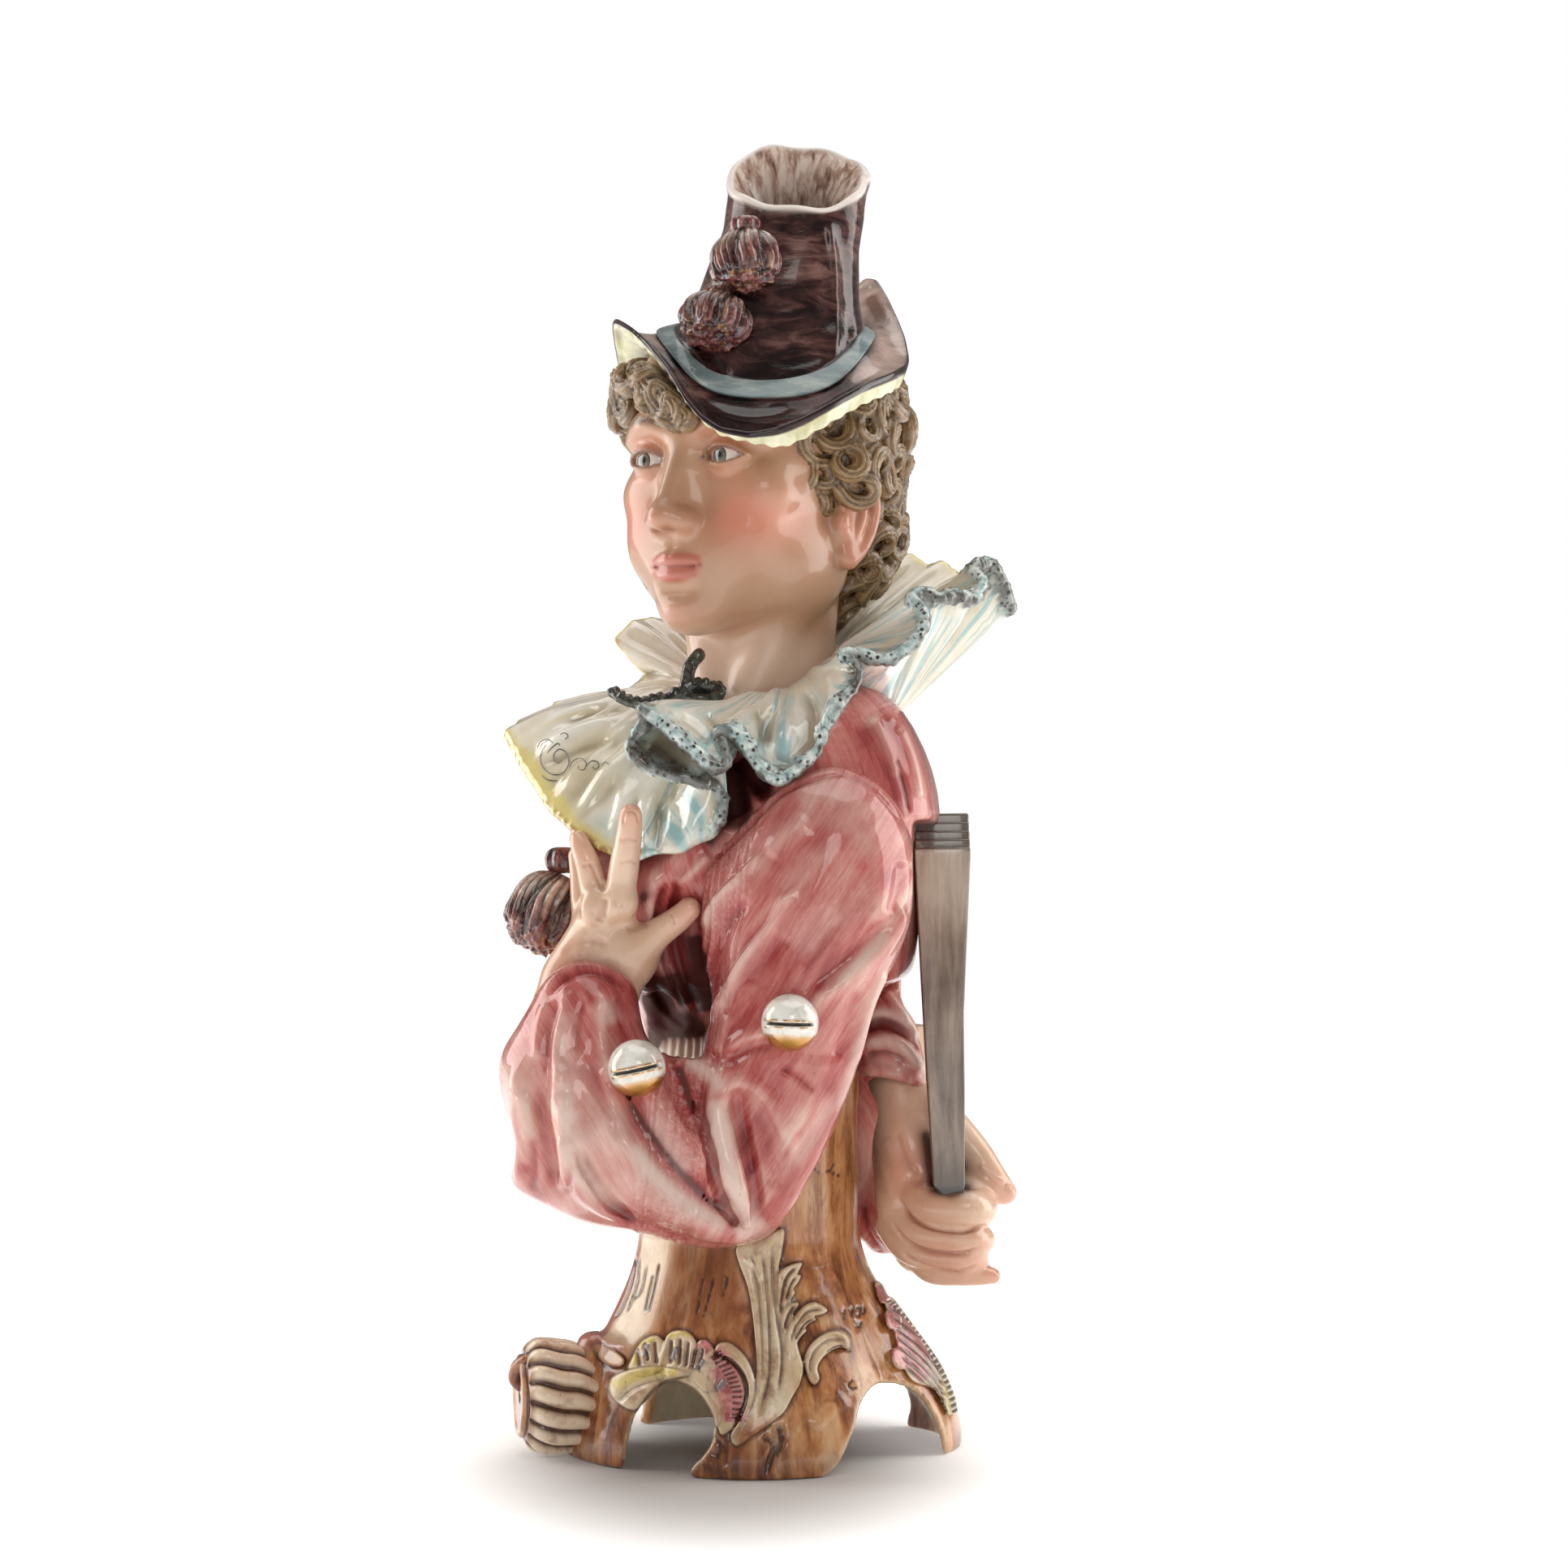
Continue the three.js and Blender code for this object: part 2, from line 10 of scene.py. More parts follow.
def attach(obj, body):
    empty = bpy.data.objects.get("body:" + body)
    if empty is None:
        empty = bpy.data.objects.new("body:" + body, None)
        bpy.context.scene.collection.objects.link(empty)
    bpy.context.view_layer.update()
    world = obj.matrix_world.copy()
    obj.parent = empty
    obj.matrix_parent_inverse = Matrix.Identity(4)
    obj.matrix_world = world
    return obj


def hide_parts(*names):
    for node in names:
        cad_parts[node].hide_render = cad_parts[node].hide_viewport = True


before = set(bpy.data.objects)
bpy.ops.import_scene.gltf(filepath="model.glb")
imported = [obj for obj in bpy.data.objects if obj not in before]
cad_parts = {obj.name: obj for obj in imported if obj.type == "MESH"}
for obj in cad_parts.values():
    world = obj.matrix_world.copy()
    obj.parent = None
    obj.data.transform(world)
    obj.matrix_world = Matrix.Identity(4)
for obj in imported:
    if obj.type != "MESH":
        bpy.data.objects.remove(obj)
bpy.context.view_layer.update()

# Everything is modelled in millimetres around the photo's level line of sight, then carried to the frame.
picture = dict(distance=1888.0, height=359.0, focal=4290.0, middle=966.0)  # mm, mm, px, px
rowShift = np.array([12.65, 7.94, 0.0])  # mm, from the line of sight to the frame's origin
figureTurn = math.radians(12)  # the chest looks this much off -X
baseMiddle = np.array([-18.0, 0.0, 0.0])


def placeOf(px, py, y):
    k = (picture["distance"] + y) / picture["focal"]
    return np.array([(px - picture["middle"]) * k, y, picture["height"] + (picture["middle"] - py) * k])


def pictureOf(points):
    k = picture["focal"] / (picture["distance"] + points[..., 1])
    across = picture["middle"] + points[..., 0] * k
    down = picture["middle"] - (points[..., 2] - picture["height"]) * k
    return np.stack([across, down], -1)


def smoothStep(low, high, value):
    t = np.clip((value - low) / (high - low), 0, 1)
    return t * t * (3 - 2 * t)


def mix(a, b, t):
    return a + (b - a) * t


# A smooth line through a few points, with any number of columns
def smoothLine(points, count, closed=False):
    points = np.array(points, float)
    total = len(points)
    span = total if closed else total - 1
    at = np.linspace(0, span, count, endpoint=not closed)
    cell = np.minimum(at.astype(int), span - 1)
    t = (at - cell)[:, None]

    def pick(k):
        return points[k % total] if closed else points[np.clip(k, 0, total - 1)]

    a, b, c, d = pick(cell - 1), pick(cell), pick(cell + 1), pick(cell + 2)
    return b + 0.5 * t * (c - a + t * (2 * a - 5 * b + 4 * c - d + t * (3 * (b - c) + d - a)))


def turned(front, left, turn):
    c, s = math.cos(turn), math.sin(turn)
    return -front * c + left * s, -front * s - left * c


def figurePlace(front, left, up):
    x, y = turned(front, left, figureTurn)
    return np.array([baseMiddle[0] + x, baseMiddle[1] + y, up])


# Soft value noise on points, the same every run
def softNoise(points, size, seed=0):
    q = points / size + seed * 17.31
    cell = np.floor(q).astype(np.int64)
    t = q - cell
    t = t * t * (3 - 2 * t)
    total = 0
    for dx in (0, 1):
        for dy in (0, 1):
            for dz in (0, 1):
                key = (cell[:, 0] + dx) * 73856093 ^ (cell[:, 1] + dy) * 19349663 ^ (cell[:, 2] + dz) * 83492791
                value = ((key * 2654435761) & 0xFFFFFF) / 0xFFFFFF
                weight = (t[:, 0] if dx else 1 - t[:, 0]) * (t[:, 1] if dy else 1 - t[:, 1])
                total = total + value * weight * (t[:, 2] if dz else 1 - t[:, 2])
    return total * 2 - 1


# Clay: a block of distances that forms are joined to and cut from
class Clay:
    def __init__(self, low, high, grain):
        self.low = np.array(low, float)
        self.grain = grain
        count = np.ceil((np.array(high) - self.low) / grain).astype(int) + 1
        self.far = np.full(count, 40.0, np.float32)

    def window(self, low, high):
        first = np.maximum(np.floor((np.array(low) - self.low) / self.grain), 0).astype(int)
        last = np.minimum(np.ceil((np.array(high) - self.low) / self.grain).astype(int) + 1, self.far.shape)
        axes = [self.low[k] + self.grain * np.arange(first[k], last[k], dtype=np.float32) for k in range(3)]
        part = tuple(slice(a, b) for a, b in zip(first, last))
        return part, axes[0][:, None, None], axes[1][None, :, None], axes[2][None, None, :]

    def whole(self):
        return self.window(self.low, self.low + self.grain * np.array(self.far.shape))

    def join(self, part, form, blend):
        old = self.far[part]
        h = np.clip(0.5 + 0.5 * (old - form) / blend, 0, 1)
        self.far[part] = old + (form - old) * h - blend * h * (1 - h)

    def cut(self, part, form, blend):
        old = self.far[part]
        h = np.clip(0.5 - 0.5 * (old + form) / blend, 0, 1)
        self.far[part] = old + (-form - old) * h + blend * h * (1 - h)

    def egg(self, middle, size, blend=4.0, turn=0.0, tilt=0.0, cut=False):
        middle, size = np.array(middle, float), np.array(size, float)
        reach = size.max() + blend + 3 * self.grain
        part, x, y, z = self.window(middle - reach, middle + reach)
        c, s = math.cos(turn), math.sin(turn)
        u = (x - middle[0]) * c + (y - middle[1]) * s
        v = (y - middle[1]) * c - (x - middle[0]) * s
        ct, st = math.cos(tilt), math.sin(tilt)
        w = (z - middle[2]) * ct - u * st
        u = u * ct + (z - middle[2]) * st
        k0 = np.sqrt((u / size[0]) ** 2 + (v / size[1]) ** 2 + (w / size[2]) ** 2)
        k1 = np.sqrt((u / size[0] ** 2) ** 2 + (v / size[1] ** 2) ** 2 + (w / size[2] ** 2) ** 2) + 1e-9
        (self.cut if cut else self.join)(part, k0 * (k0 - 1) / k1, blend)

    def rods(self, points, blend=4.0, cut=False):
        points = np.array(points, float)
        radii = points[:, 3]
        reach = radii.max() + blend + 3 * self.grain
        part, x, y, z = self.window(points[:, :3].min(0) - reach, points[:, :3].max(0) + reach)
        form = None
        for a, b, ra, rb in zip(points[:-1, :3], points[1:, :3], radii[:-1], radii[1:]):
            ab = b - a
            t = ((x - a[0]) * ab[0] + (y - a[1]) * ab[1] + (z - a[2]) * ab[2]) / max(ab @ ab, 1e-9)
            t = np.clip(t, 0, 1)
            gap = (x - a[0] - t * ab[0]) ** 2 + (y - a[1] - t * ab[1]) ** 2 + (z - a[2] - t * ab[2]) ** 2
            one = np.sqrt(gap) - (ra + (rb - ra) * t)
            form = one if form is None else np.minimum(form, one)
        (self.cut if cut else self.join)(part, form, blend)

    def limb(self, points, blend=4.0, count=12, cut=False):
        self.rods(smoothLine(points, count), blend, cut)

    # A puffed form whose outline in the picture is exactly the one given, in px
    def puffed(self, outline, depth, halfDepth, roundness, blend=6.0, cut=False):
        lowPx, highPx = outline.min(0) - 60, outline.max(0) + 60
        k = (picture["distance"] + depth) / picture["focal"]
        low = [(lowPx[0] - picture["middle"]) * k, depth - halfDepth - 12,
               picture["height"] + (picture["middle"] - highPx[1]) * k]
        high = [(highPx[0] - picture["middle"]) * k, depth + halfDepth + 12,
                picture["height"] + (picture["middle"] - lowPx[1]) * k]
        part, x, y, z = self.window(low, high)
        flat = flatField(outline, lowPx - 40, highPx + 40)
        scale = picture["focal"] / (picture["distance"] + y)
        across = picture["middle"] + x * scale
        down = picture["middle"] - (z - picture["height"]) * scale
        edge = sampleField(flat, np.broadcast_to(across, self.far[part].shape),
                           np.broadcast_to(down, self.far[part].shape)) / scale
        side = np.maximum(edge + roundness, 0)
        face = np.maximum(np.abs(y - depth) - (halfDepth - roundness), 0)
        form = np.sqrt(side ** 2 + face ** 2) - roundness + np.minimum(edge + roundness, 0) * 0.2
        (self.cut if cut else self.join)(part, form, blend)

    # Cuts away what stands above a skirt spread between two rings
    def underSkirt(self, inner, outer, drop, blend=5.0):
        part, x, y, z = self.whole()
        level, out = skirtLevel(np.broadcast_to(x, self.far.shape[:2] + (1,)), y, inner, outer)
        form = (level - drop - z) * 0.8
        self.cut(part, np.maximum(-(-form), (out - 1.12) * 40), blend)

    # Oval sections up the figure's trunk: front offset, height, half depth, half width
    def loft(self, rings, blend=4.0):
        rings = smoothLine(rings, 60)
        part, x, y, z = self.whole()
        _, _, front, left = polar(x, y)
        level = z.ravel()
        offset, depth, width = (np.interp(level, rings[:, 1], rings[:, k])[None, None, :] for k in (0, 2, 3))
        u, v = (front - offset), left
        k0 = np.sqrt((u / depth) ** 2 + (v / width) ** 2)
        k1 = np.sqrt((u / depth ** 2) ** 2 + (v / width ** 2) ** 2) + 1e-9
        form = k0 * (k0 - 1) / k1 * 0.85
        form = np.maximum(form, np.maximum(rings[0, 1] - z, z - rings[-1, 1]))
        self.join(part, form, blend)

    # Depth of the first clay met behind a spot in the picture
    def front(self, px, py):
        depth = np.arange(self.low[1], self.low[1] + self.grain * self.far.shape[1] * 0.75, self.grain)
        spots = np.stack([placeOf(px, py, y) for y in depth])
        cell = ((spots - self.low) / self.grain).astype(int)
        cell = np.clip(cell, 0, np.array(self.far.shape) - 1)
        solid = np.nonzero(self.far[tuple(cell.T)] < 0)[0]
        return depth[solid[0]] if len(solid) else None

    # A rounded ridge or groove along a line in the picture, standing out or sunk in by some mm
    def fold(self, line, radius, rise, blend=5.0):
        spine = [(px, py, self.front(px, py)) for px, py in smoothLine(line, len(line) * 5)]
        spine = [spot for spot in spine if spot[2] is not None]
        depth = np.convolve(np.pad([spot[2] for spot in spine], 3, mode="edge"), np.ones(7) / 7, "valid")
        size = radius * np.sin(np.linspace(0.35, math.pi - 0.35, len(spine))) ** 0.6
        back = size - rise if rise > 0 else -size - rise * size / radius
        self.rods([[*placeOf(px, py, y + b), r] for (px, py, _), y, b, r in zip(spine, depth, back, size)], blend,
                  cut=rise < 0)

    # Cuts an opening drawn in the picture between two depths; it may change to another outline on the way
    def opening(self, outline, near, far, blend=2.0, inner=None, turnAt=(0.0, 1.0)):
        end = self.low + self.grain * np.array(self.far.shape)
        part, x, y, z = self.window([self.low[0], near, self.low[2]], [end[0], far, end[2]])
        field = flatField(outline, outline.min(0) - 60, outline.max(0) + 60)
        scale = picture["focal"] / (picture["distance"] + y)
        shape = self.far[part].shape
        across = np.broadcast_to(picture["middle"] + x * scale, shape)
        down = np.broadcast_to(picture["middle"] - (z - picture["height"]) * scale, shape)
        edge = sampleField(field, across, down)
        if inner is not None:
            field = flatField(inner, inner.min(0) - 60, inner.max(0) + 60)
            edge = mix(edge, sampleField(field, across, down), smoothStep(*turnAt, y))
        self.cut(part, np.maximum(edge / scale, np.maximum(near - y, y - far)), blend)

    # Cuts away everything outside an outline in the picture
    def trim(self, outline, soft=3.0):
        part, x, y, z = self.whole()
        field = flatField(outline, outline.min(0) - 160, outline.max(0) + 160)
        scale = picture["focal"] / (picture["distance"] + y)
        across = np.broadcast_to(picture["middle"] + x * scale, self.far.shape)
        down = np.broadcast_to(picture["middle"] - (z - picture["height"]) * scale, self.far.shape)
        self.cut(part, -sampleField(field, across, down) / scale, soft)

    def shape(self, polish=2, lone=True):
        grid = openvdb.FloatGrid(background=40.0)
        grid.copyFromArray(self.far)
        points, quads = grid.convertToQuads(isovalue=0.0)
        points = points.astype(float) * self.grain + self.low
        form = Form(points, quads.astype(np.int64))
        if lone:
            form.keepLargest()
        form.relax(polish)
        return form


# Signed distance in px to a closed outline, on a coarse grid of px
def flatField(outline, low, high, step=2.0):
    xs = np.arange(low[0], high[0], step)
    ys = np.arange(low[1], high[1], step)
    gx, gy = np.meshgrid(xs, ys, indexing="ij")
    best = np.full(gx.shape, 1e9)
    inside = np.zeros(gx.shape, bool)
    for a, b in zip(outline, np.roll(outline, -1, 0)):
        ab = b - a
        t = np.clip(((gx - a[0]) * ab[0] + (gy - a[1]) * ab[1]) / max(ab @ ab, 1e-9), 0, 1)
        best = np.minimum(best, (gx - a[0] - t * ab[0]) ** 2 + (gy - a[1] - t * ab[1]) ** 2)
        if a[1] != b[1]:
            crosses = ((a[1] > gy) != (b[1] > gy)) & (gx < (b[0] - a[0]) * (gy - a[1]) / (b[1] - a[1]) + a[0])
            inside ^= crosses
    gap = np.sqrt(best)
    return np.where(inside, -gap, gap), low, step


def sampleField(field, across, down):
    grid, low, step = field
    gx = np.clip((across - low[0]) / step, 0, grid.shape[0] - 1.001)
    gy = np.clip((down - low[1]) / step, 0, grid.shape[1] - 1.001)
    ix, iy = gx.astype(int), gy.astype(int)
    fx, fy = gx - ix, gy - iy
    top = mix(grid[ix, iy], grid[ix + 1, iy], fx)
    return mix(top, mix(grid[ix, iy + 1], grid[ix + 1, iy + 1], fx), fy)


# Height of the skirt between two rings at x and y, and how far out the place lies from 0 to 1
def skirtLevel(x, y, inner, outer):
    middle = inner[:, :2].mean(0)
    turn = np.degrees(np.arctan2(y - middle[1], x - middle[0])) % 360
    reach = np.hypot(x - middle[0], y - middle[1])

    def ringValue(ring):
        away = ring[:, :2] - middle
        angle = np.degrees(np.arctan2(away[:, 1], away[:, 0])) % 360
        order = np.argsort(angle)
        far, high = np.hypot(*away.T)[order], ring[order, 2]
        return np.interp(turn, angle[order], far, period=360), np.interp(turn, angle[order], high, period=360)

    nearReach, nearHigh = ringValue(inner)
    farReach, farHigh = ringValue(outer)
    out = (reach - nearReach) / (farReach - nearReach)
    return mix(nearHigh, farHigh, np.clip(out, 0, 1.15)), out


# A mesh while it is still numbers: points, quads and painted masks
class Form:
    def __init__(self, points, quads):
        self.points = points
        self.quads = quads
        self.masks = {}
        corner = points[quads]
        across = np.cross(corner[:, 2] - corner[:, 0], corner[:, 3] - corner[:, 1])
        if (corner.mean(1) * across).sum() < 0:
            self.quads = quads[:, ::-1]

    def edges(self):
        pairs = np.concatenate([self.quads[:, [k, (k + 1) % 4]] for k in range(4)])
        return pairs[:, 0], pairs[:, 1]

    def keepLargest(self):
        label = np.arange(len(self.points))
        a, b = self.edges()
        while True:
            low = np.minimum(label[a], label[b])
            new = label.copy()
            np.minimum.at(new, a, low)
            np.minimum.at(new, b, low)
            new = new[new]
            if (new == label).all():
                break
            label = new
        keep = label == np.bincount(label).argmax()
        order = np.cumsum(keep) - 1
        self.quads = order[self.quads[keep[self.quads[:, 0]]]]
        self.points = self.points[keep]

    def spread(self, values, rounds):
        a, b = self.edges()
        count = np.bincount(a, minlength=len(self.points)) + np.bincount(b, minlength=len(self.points))
        values = values.astype(float)
        columns = values[:, None] if values.ndim == 1 else values
        for _ in range(rounds):
            total = np.stack([
                np.bincount(a, c[b], len(c)) + np.bincount(b, c[a], len(c)) for c in columns.T
            ], 1)
            columns = 0.5 * columns + 0.5 * total / count[:, None]
        return columns[:, 0] if values.ndim == 1 else columns

    def relax(self, rounds):
        if rounds:
            self.points = self.spread(self.points, rounds)

    def normals(self):
        corner = self.points[self.quads]
        across = np.cross(corner[:, 2] - corner[:, 0], corner[:, 3] - corner[:, 1])
        total = np.zeros_like(self.points)
        for k in range(4):
            for axis in range(3):
                total[:, axis] += np.bincount(self.quads[:, k], across[:, axis], len(self.points))
        return total / np.maximum(np.linalg.norm(total, axis=1), 1e-9)[:, None]

    # How deep each point lies in a hollow, in mm, over a few rounds of smoothing
    def hollow(self, rounds):
        smooth = self.spread(self.points, rounds)
        return ((smooth - self.points) * self.normals()).sum(1)

    def mask(self, name):
        if name not in self.masks:
            self.masks[name] = np.zeros(len(self.points))
        return self.masks[name]

    def push(self, amount):
        self.points = self.points + self.normals() * np.asarray(amount)[:, None]


# Distance in px from flat points to a line, place along it from 0 to 1, and signed side
def nearLine(flat, line):
    line = np.array(line, float)
    step = np.linalg.norm(np.diff(line, axis=0), axis=1)
    start = np.concatenate([[0], np.cumsum(step)])
    best = np.full(len(flat), 1e9)
    place = np.zeros(len(flat))
    side = np.zeros(len(flat))
    for k, (a, b) in enumerate(zip(line[:-1], line[1:])):
        ab = b - a
        t = np.clip(((flat - a) @ ab) / max(ab @ ab, 1e-9), 0, 1)
        gap = flat - a - t[:, None] * ab
        far = (gap ** 2).sum(1)
        near = far < best
        best = np.where(near, far, best)
        place = np.where(near, (start[k] + t * step[k]) / start[-1], place)
        side = np.where(near, np.sign(ab[0] * gap[:, 1] - ab[1] * gap[:, 0]), side)
    return np.sqrt(best), place, side


# Draws a modelling stroke as seen in the picture: width in px, height in mm, negative for a groove
def stroke(form, line, width, height, kind="round", paint=None, tone=1.0, facing=0.05, taper=0.15):
    flat = pictureOf(form.points)
    line = smoothLine(line, max(len(line) * 4, 8))
    reach = width * 3.2
    near = ((flat > line.min(0) - reach) & (flat < line.max(0) + reach)).all(1)
    normals = form.normals()
    eye = np.array([0, -picture["distance"], picture["height"]])
    sight = eye - form.points
    sight /= np.linalg.norm(sight, axis=1)[:, None]
    see = smoothStep(facing, facing + 0.2, (normals * sight).sum(1))
    pick = np.nonzero(near & (see > 0))[0]
    if not len(pick):
        return
    gap, place, side = nearLine(flat[pick], line)
    ends = smoothStep(0, taper, place) * smoothStep(0, taper, 1 - place) if taper else 1.0
    if kind == "round":
        shape = np.exp(-(gap / width) ** 2)
    elif kind == "sharp":
        shape = np.exp(-gap / width * 1.4)
    else:  # a lip: it falls off sharply on one side and slowly on the other
        one = side if kind == "lip" else -side
        shape = np.where(one > 0, np.exp(-(gap / width) ** 2), np.exp(-(gap / (0.22 * width)) ** 2))
    amount = shape * ends * see[pick]
    if height:
        form.points[pick] += normals[pick] * (amount * height)[:, None]
    if paint:
        form.mask(paint)[pick] += amount * tone


# A finished object whose place is in its mesh, riding on the body and standing for the node
def addPiece(name, form, material):
    mesh = bpy.data.meshes.new(name)
    points = (form.points + rowShift) * 0.001
    quads = form.quads
    mesh.vertices.add(len(points))
    mesh.vertices.foreach_set("co", points.ravel())
    mesh.loops.add(quads.size)
    mesh.loops.foreach_set("vertex_index", quads.ravel().astype(np.int32))
    mesh.polygons.add(len(quads))
    mesh.polygons.foreach_set("loop_start", np.arange(0, quads.size, 4, dtype=np.int32))
    mesh.polygons.foreach_set("loop_total", np.full(len(quads), 4, np.int32))
    mesh.update(calc_edges=True)
    mesh.validate()
    mesh.polygons.foreach_set("use_smooth", np.ones(len(mesh.polygons), bool))
    for key, values in form.masks.items():
        attribute = mesh.attributes.new(key, "FLOAT", "POINT")
        attribute.data.foreach_set("value", np.asarray(values, np.float32))
    piece = bpy.data.objects.new(name, mesh)
    bpy.context.scene.collection.objects.link(piece)
    if len(quads) > 4000:
        lighten(piece, form, shares.get(name, 0.45))
    return finishPiece(piece, material)


# The share of faces each large piece keeps
shares = dict(base_shell=0.36, jacket_trunk=0.36, head=0.40, ruff=0.50, hair=0.48, hat=0.42, jacket_near_sleeve=0.44,
              jacket_far_sleeve=0.36)


# Takes faces out where form and paint are plain, and leaves the carving and the painted edges
def lighten(piece, form, share):
    a, b = form.edges()
    change = np.zeros(len(form.points))
    for name, values in form.masks.items():
        if name in ("out", "streak", "streakAcross", "along", "lock", "across", "brush", "weft", "warp"):
            continue
        step = (values[a] - values[b]) ** 2
        change += np.bincount(a, step, len(change)) + np.bincount(b, step, len(change))
    limit = max(np.quantile(change, 0.80), 1e-4)
    plain = piece.vertex_groups.new(name="plain")
    plain.add(np.nonzero(change < limit)[0].tolist(), 1.0, "REPLACE")
    plain.add(np.nonzero(change >= limit)[0].tolist(), 0.4, "REPLACE")
    bpy.ops.object.select_all(action="DESELECT")
    piece.select_set(True)
    bpy.context.view_layer.objects.active = piece
    fewer = piece.modifiers.new("fewer", "DECIMATE")
    fewer.ratio = share
    fewer.vertex_group = plain.name
    fewer.use_collapse_triangulate = True
    bpy.ops.object.modifier_apply(modifier=fewer.name)
    piece.vertex_groups.clear()


def finishPiece(piece, material):
    piece.data.materials.clear()
    piece.data.materials.append(material)
    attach(piece, "root")
    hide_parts("jester_bust")
    print(piece.name, len(piece.data.polygons), "faces")
    return piece


# Shader maths: a wire wraps a socket, and sums on wires add Math nodes
class Wire:
    def __init__(self, paint, socket):
        self.paint = paint
        self.socket = socket

    def math(self, operation, first, second, clamp=False):
        return self.paint.node("ShaderNodeMath", {"operation": operation, "use_clamp": clamp}, {0: first, 1: second})

    def __add__(self, other):
        return self.math("ADD", self, other)

    def __radd__(self, other):
        return self.math("ADD", other, self)

    def __sub__(self, other):
        return self.math("SUBTRACT", self, other)

    def __rsub__(self, other):
        return self.math("SUBTRACT", other, self)

    def __mul__(self, other):
        return self.math("MULTIPLY", self, other)

    def __rmul__(self, other):
        return self.math("MULTIPLY", other, self)

    def __pow__(self, other):
        return self.math("POWER", self, other)

    def clamped(self):
        return self.math("ADD", self, 0.0, clamp=True)

    def between(self, low, high):
        return self.paint.node("ShaderNodeMapRange", {"interpolation_type": "SMOOTHSTEP"},
                               {"Value": self, "From Min": low, "From Max": high})


class Paint:
    def __init__(self, name):
        self.material = bpy.data.materials.new(name)
        self.material.use_nodes = True
        self.tree = self.material.node_tree
        self.tree.nodes.clear()
        self.output = self.tree.nodes.new("ShaderNodeOutputMaterial")
        self.shader = self.tree.nodes.new("ShaderNodeBsdfPrincipled")
        self.tree.links.new(self.shader.outputs[0], self.output.inputs[0])

    def node(self, kind, settings=None, inputs=None, output=0):
        node = self.tree.nodes.new(kind)
        for key, value in (settings or {}).items():
            if key == "stops":
                while len(node.color_ramp.elements) > 1:
                    node.color_ramp.elements.remove(node.color_ramp.elements[-1])
                for k, (place, tone) in enumerate(value):
                    stop = node.color_ramp.elements[0] if k == 0 else node.color_ramp.elements.new(place)
                    stop.position = place
                    stop.color = tone if len(tone) == 4 else (*tone, 1)
            else:
                setattr(node, key, value)
        for key, value in (inputs or {}).items():
            self.feed(node.inputs[key], value)
        return Wire(self, node.outputs[output])

    def feed(self, socket, value):
        if isinstance(value, Wire):
            self.tree.links.new(value.socket, socket)
        elif isinstance(value, tuple) and len(value) == 3 and socket.type == "RGBA":
            socket.default_value = (*value, 1)
        else:
            socket.default_value = value

    def place(self, scale=(1, 1, 1), turn=(0, 0, 0)):
        spot = self.node("ShaderNodeTexCoord", output=3)
        return self.node("ShaderNodeMapping", {}, {"Vector": spot, "Scale": scale, "Rotation": turn})

    def noise(self, scale, detail=3.0, rough=0.55, vector=None, distort=0.0):
        return self.node("ShaderNodeTexNoise", {}, {
            "Vector": vector or self.place(), "Scale": scale, "Detail": detail,
            "Roughness": rough, "Distortion": distort})

    def mask(self, name):
        return self.node("ShaderNodeAttribute", {"attribute_name": name}, output=2)

    def mix(self, first, second, factor):
        return self.node("ShaderNodeMix", {"data_type": "RGBA"}, {0: factor, 6: first, 7: second}, output=2)

    def ramp(self, factor, stops):
        return self.node("ShaderNodeValToRGB", {"stops": stops}, {"Fac": factor})

    def finish(self, colour, roughness, height=None, depth=0.0004, coat=0.7, bumpStrength=0.5):
        self.feed(self.shader.inputs["Base Color"], colour)
        self.feed(self.shader.inputs["Roughness"], roughness)
        self.shader.inputs["Coat Weight"].default_value = coat
        self.shader.inputs["Coat Roughness"].default_value = 0.07
        self.shader.inputs["Coat IOR"].default_value = 1.5
        if height is not None:
            bump = self.node("ShaderNodeBump", {}, {
                "Strength": bumpStrength, "Distance": depth, "Height": height})
            self.feed(self.shader.inputs["Normal"], bump)
        return self.material


# Base: an oval column that spreads into four feet, in degrees round the figure and millimetres
base = dict(columnDepth=59.0, columnWidth=55.0, spread=57.0, spreadTop=120.0, top=206.0, wall=8.0,
            hollowTop=150.0, archHeight=46.0, frontArch=(56.0, 42.0), backArch=(70.0, 140.5),
            nearOpenings=[  # px
                [(764, 1860), (770, 1796), (776, 1762), (782, 1742), (790, 1731), (800, 1720), (814, 1707),
                 (828, 1700), (842, 1704), (857, 1712), (870, 1727), (879, 1745), (881, 1762), (876, 1783),
                 (861, 1801), (852, 1812), (840, 1860)],
                [(1172, 1860), (1164, 1800), (1161, 1780), (1156, 1758), (1145, 1735), (1130, 1716), (1111, 1706),
                 (1092, 1703), (1078, 1706), (1067, 1716), (1058, 1732), (1054, 1750), (1051, 1763), (1047, 1770),
                 (1040, 1788), (1028, 1808), (1014, 1821), (1004, 1860)]],
            innerArch=[(1150, 1860), (1140, 1800), (1137, 1781), (1131, 1770), (1125, 1757), (1114, 1741),
                       (1100, 1726), (1084, 1717), (1075, 1722), (1069, 1736), (1067, 1750), (1064, 1760),
                       (1053, 1763), (1048, 1770), (1040, 1788), (1028, 1808), (1014, 1821), (1004, 1860)])


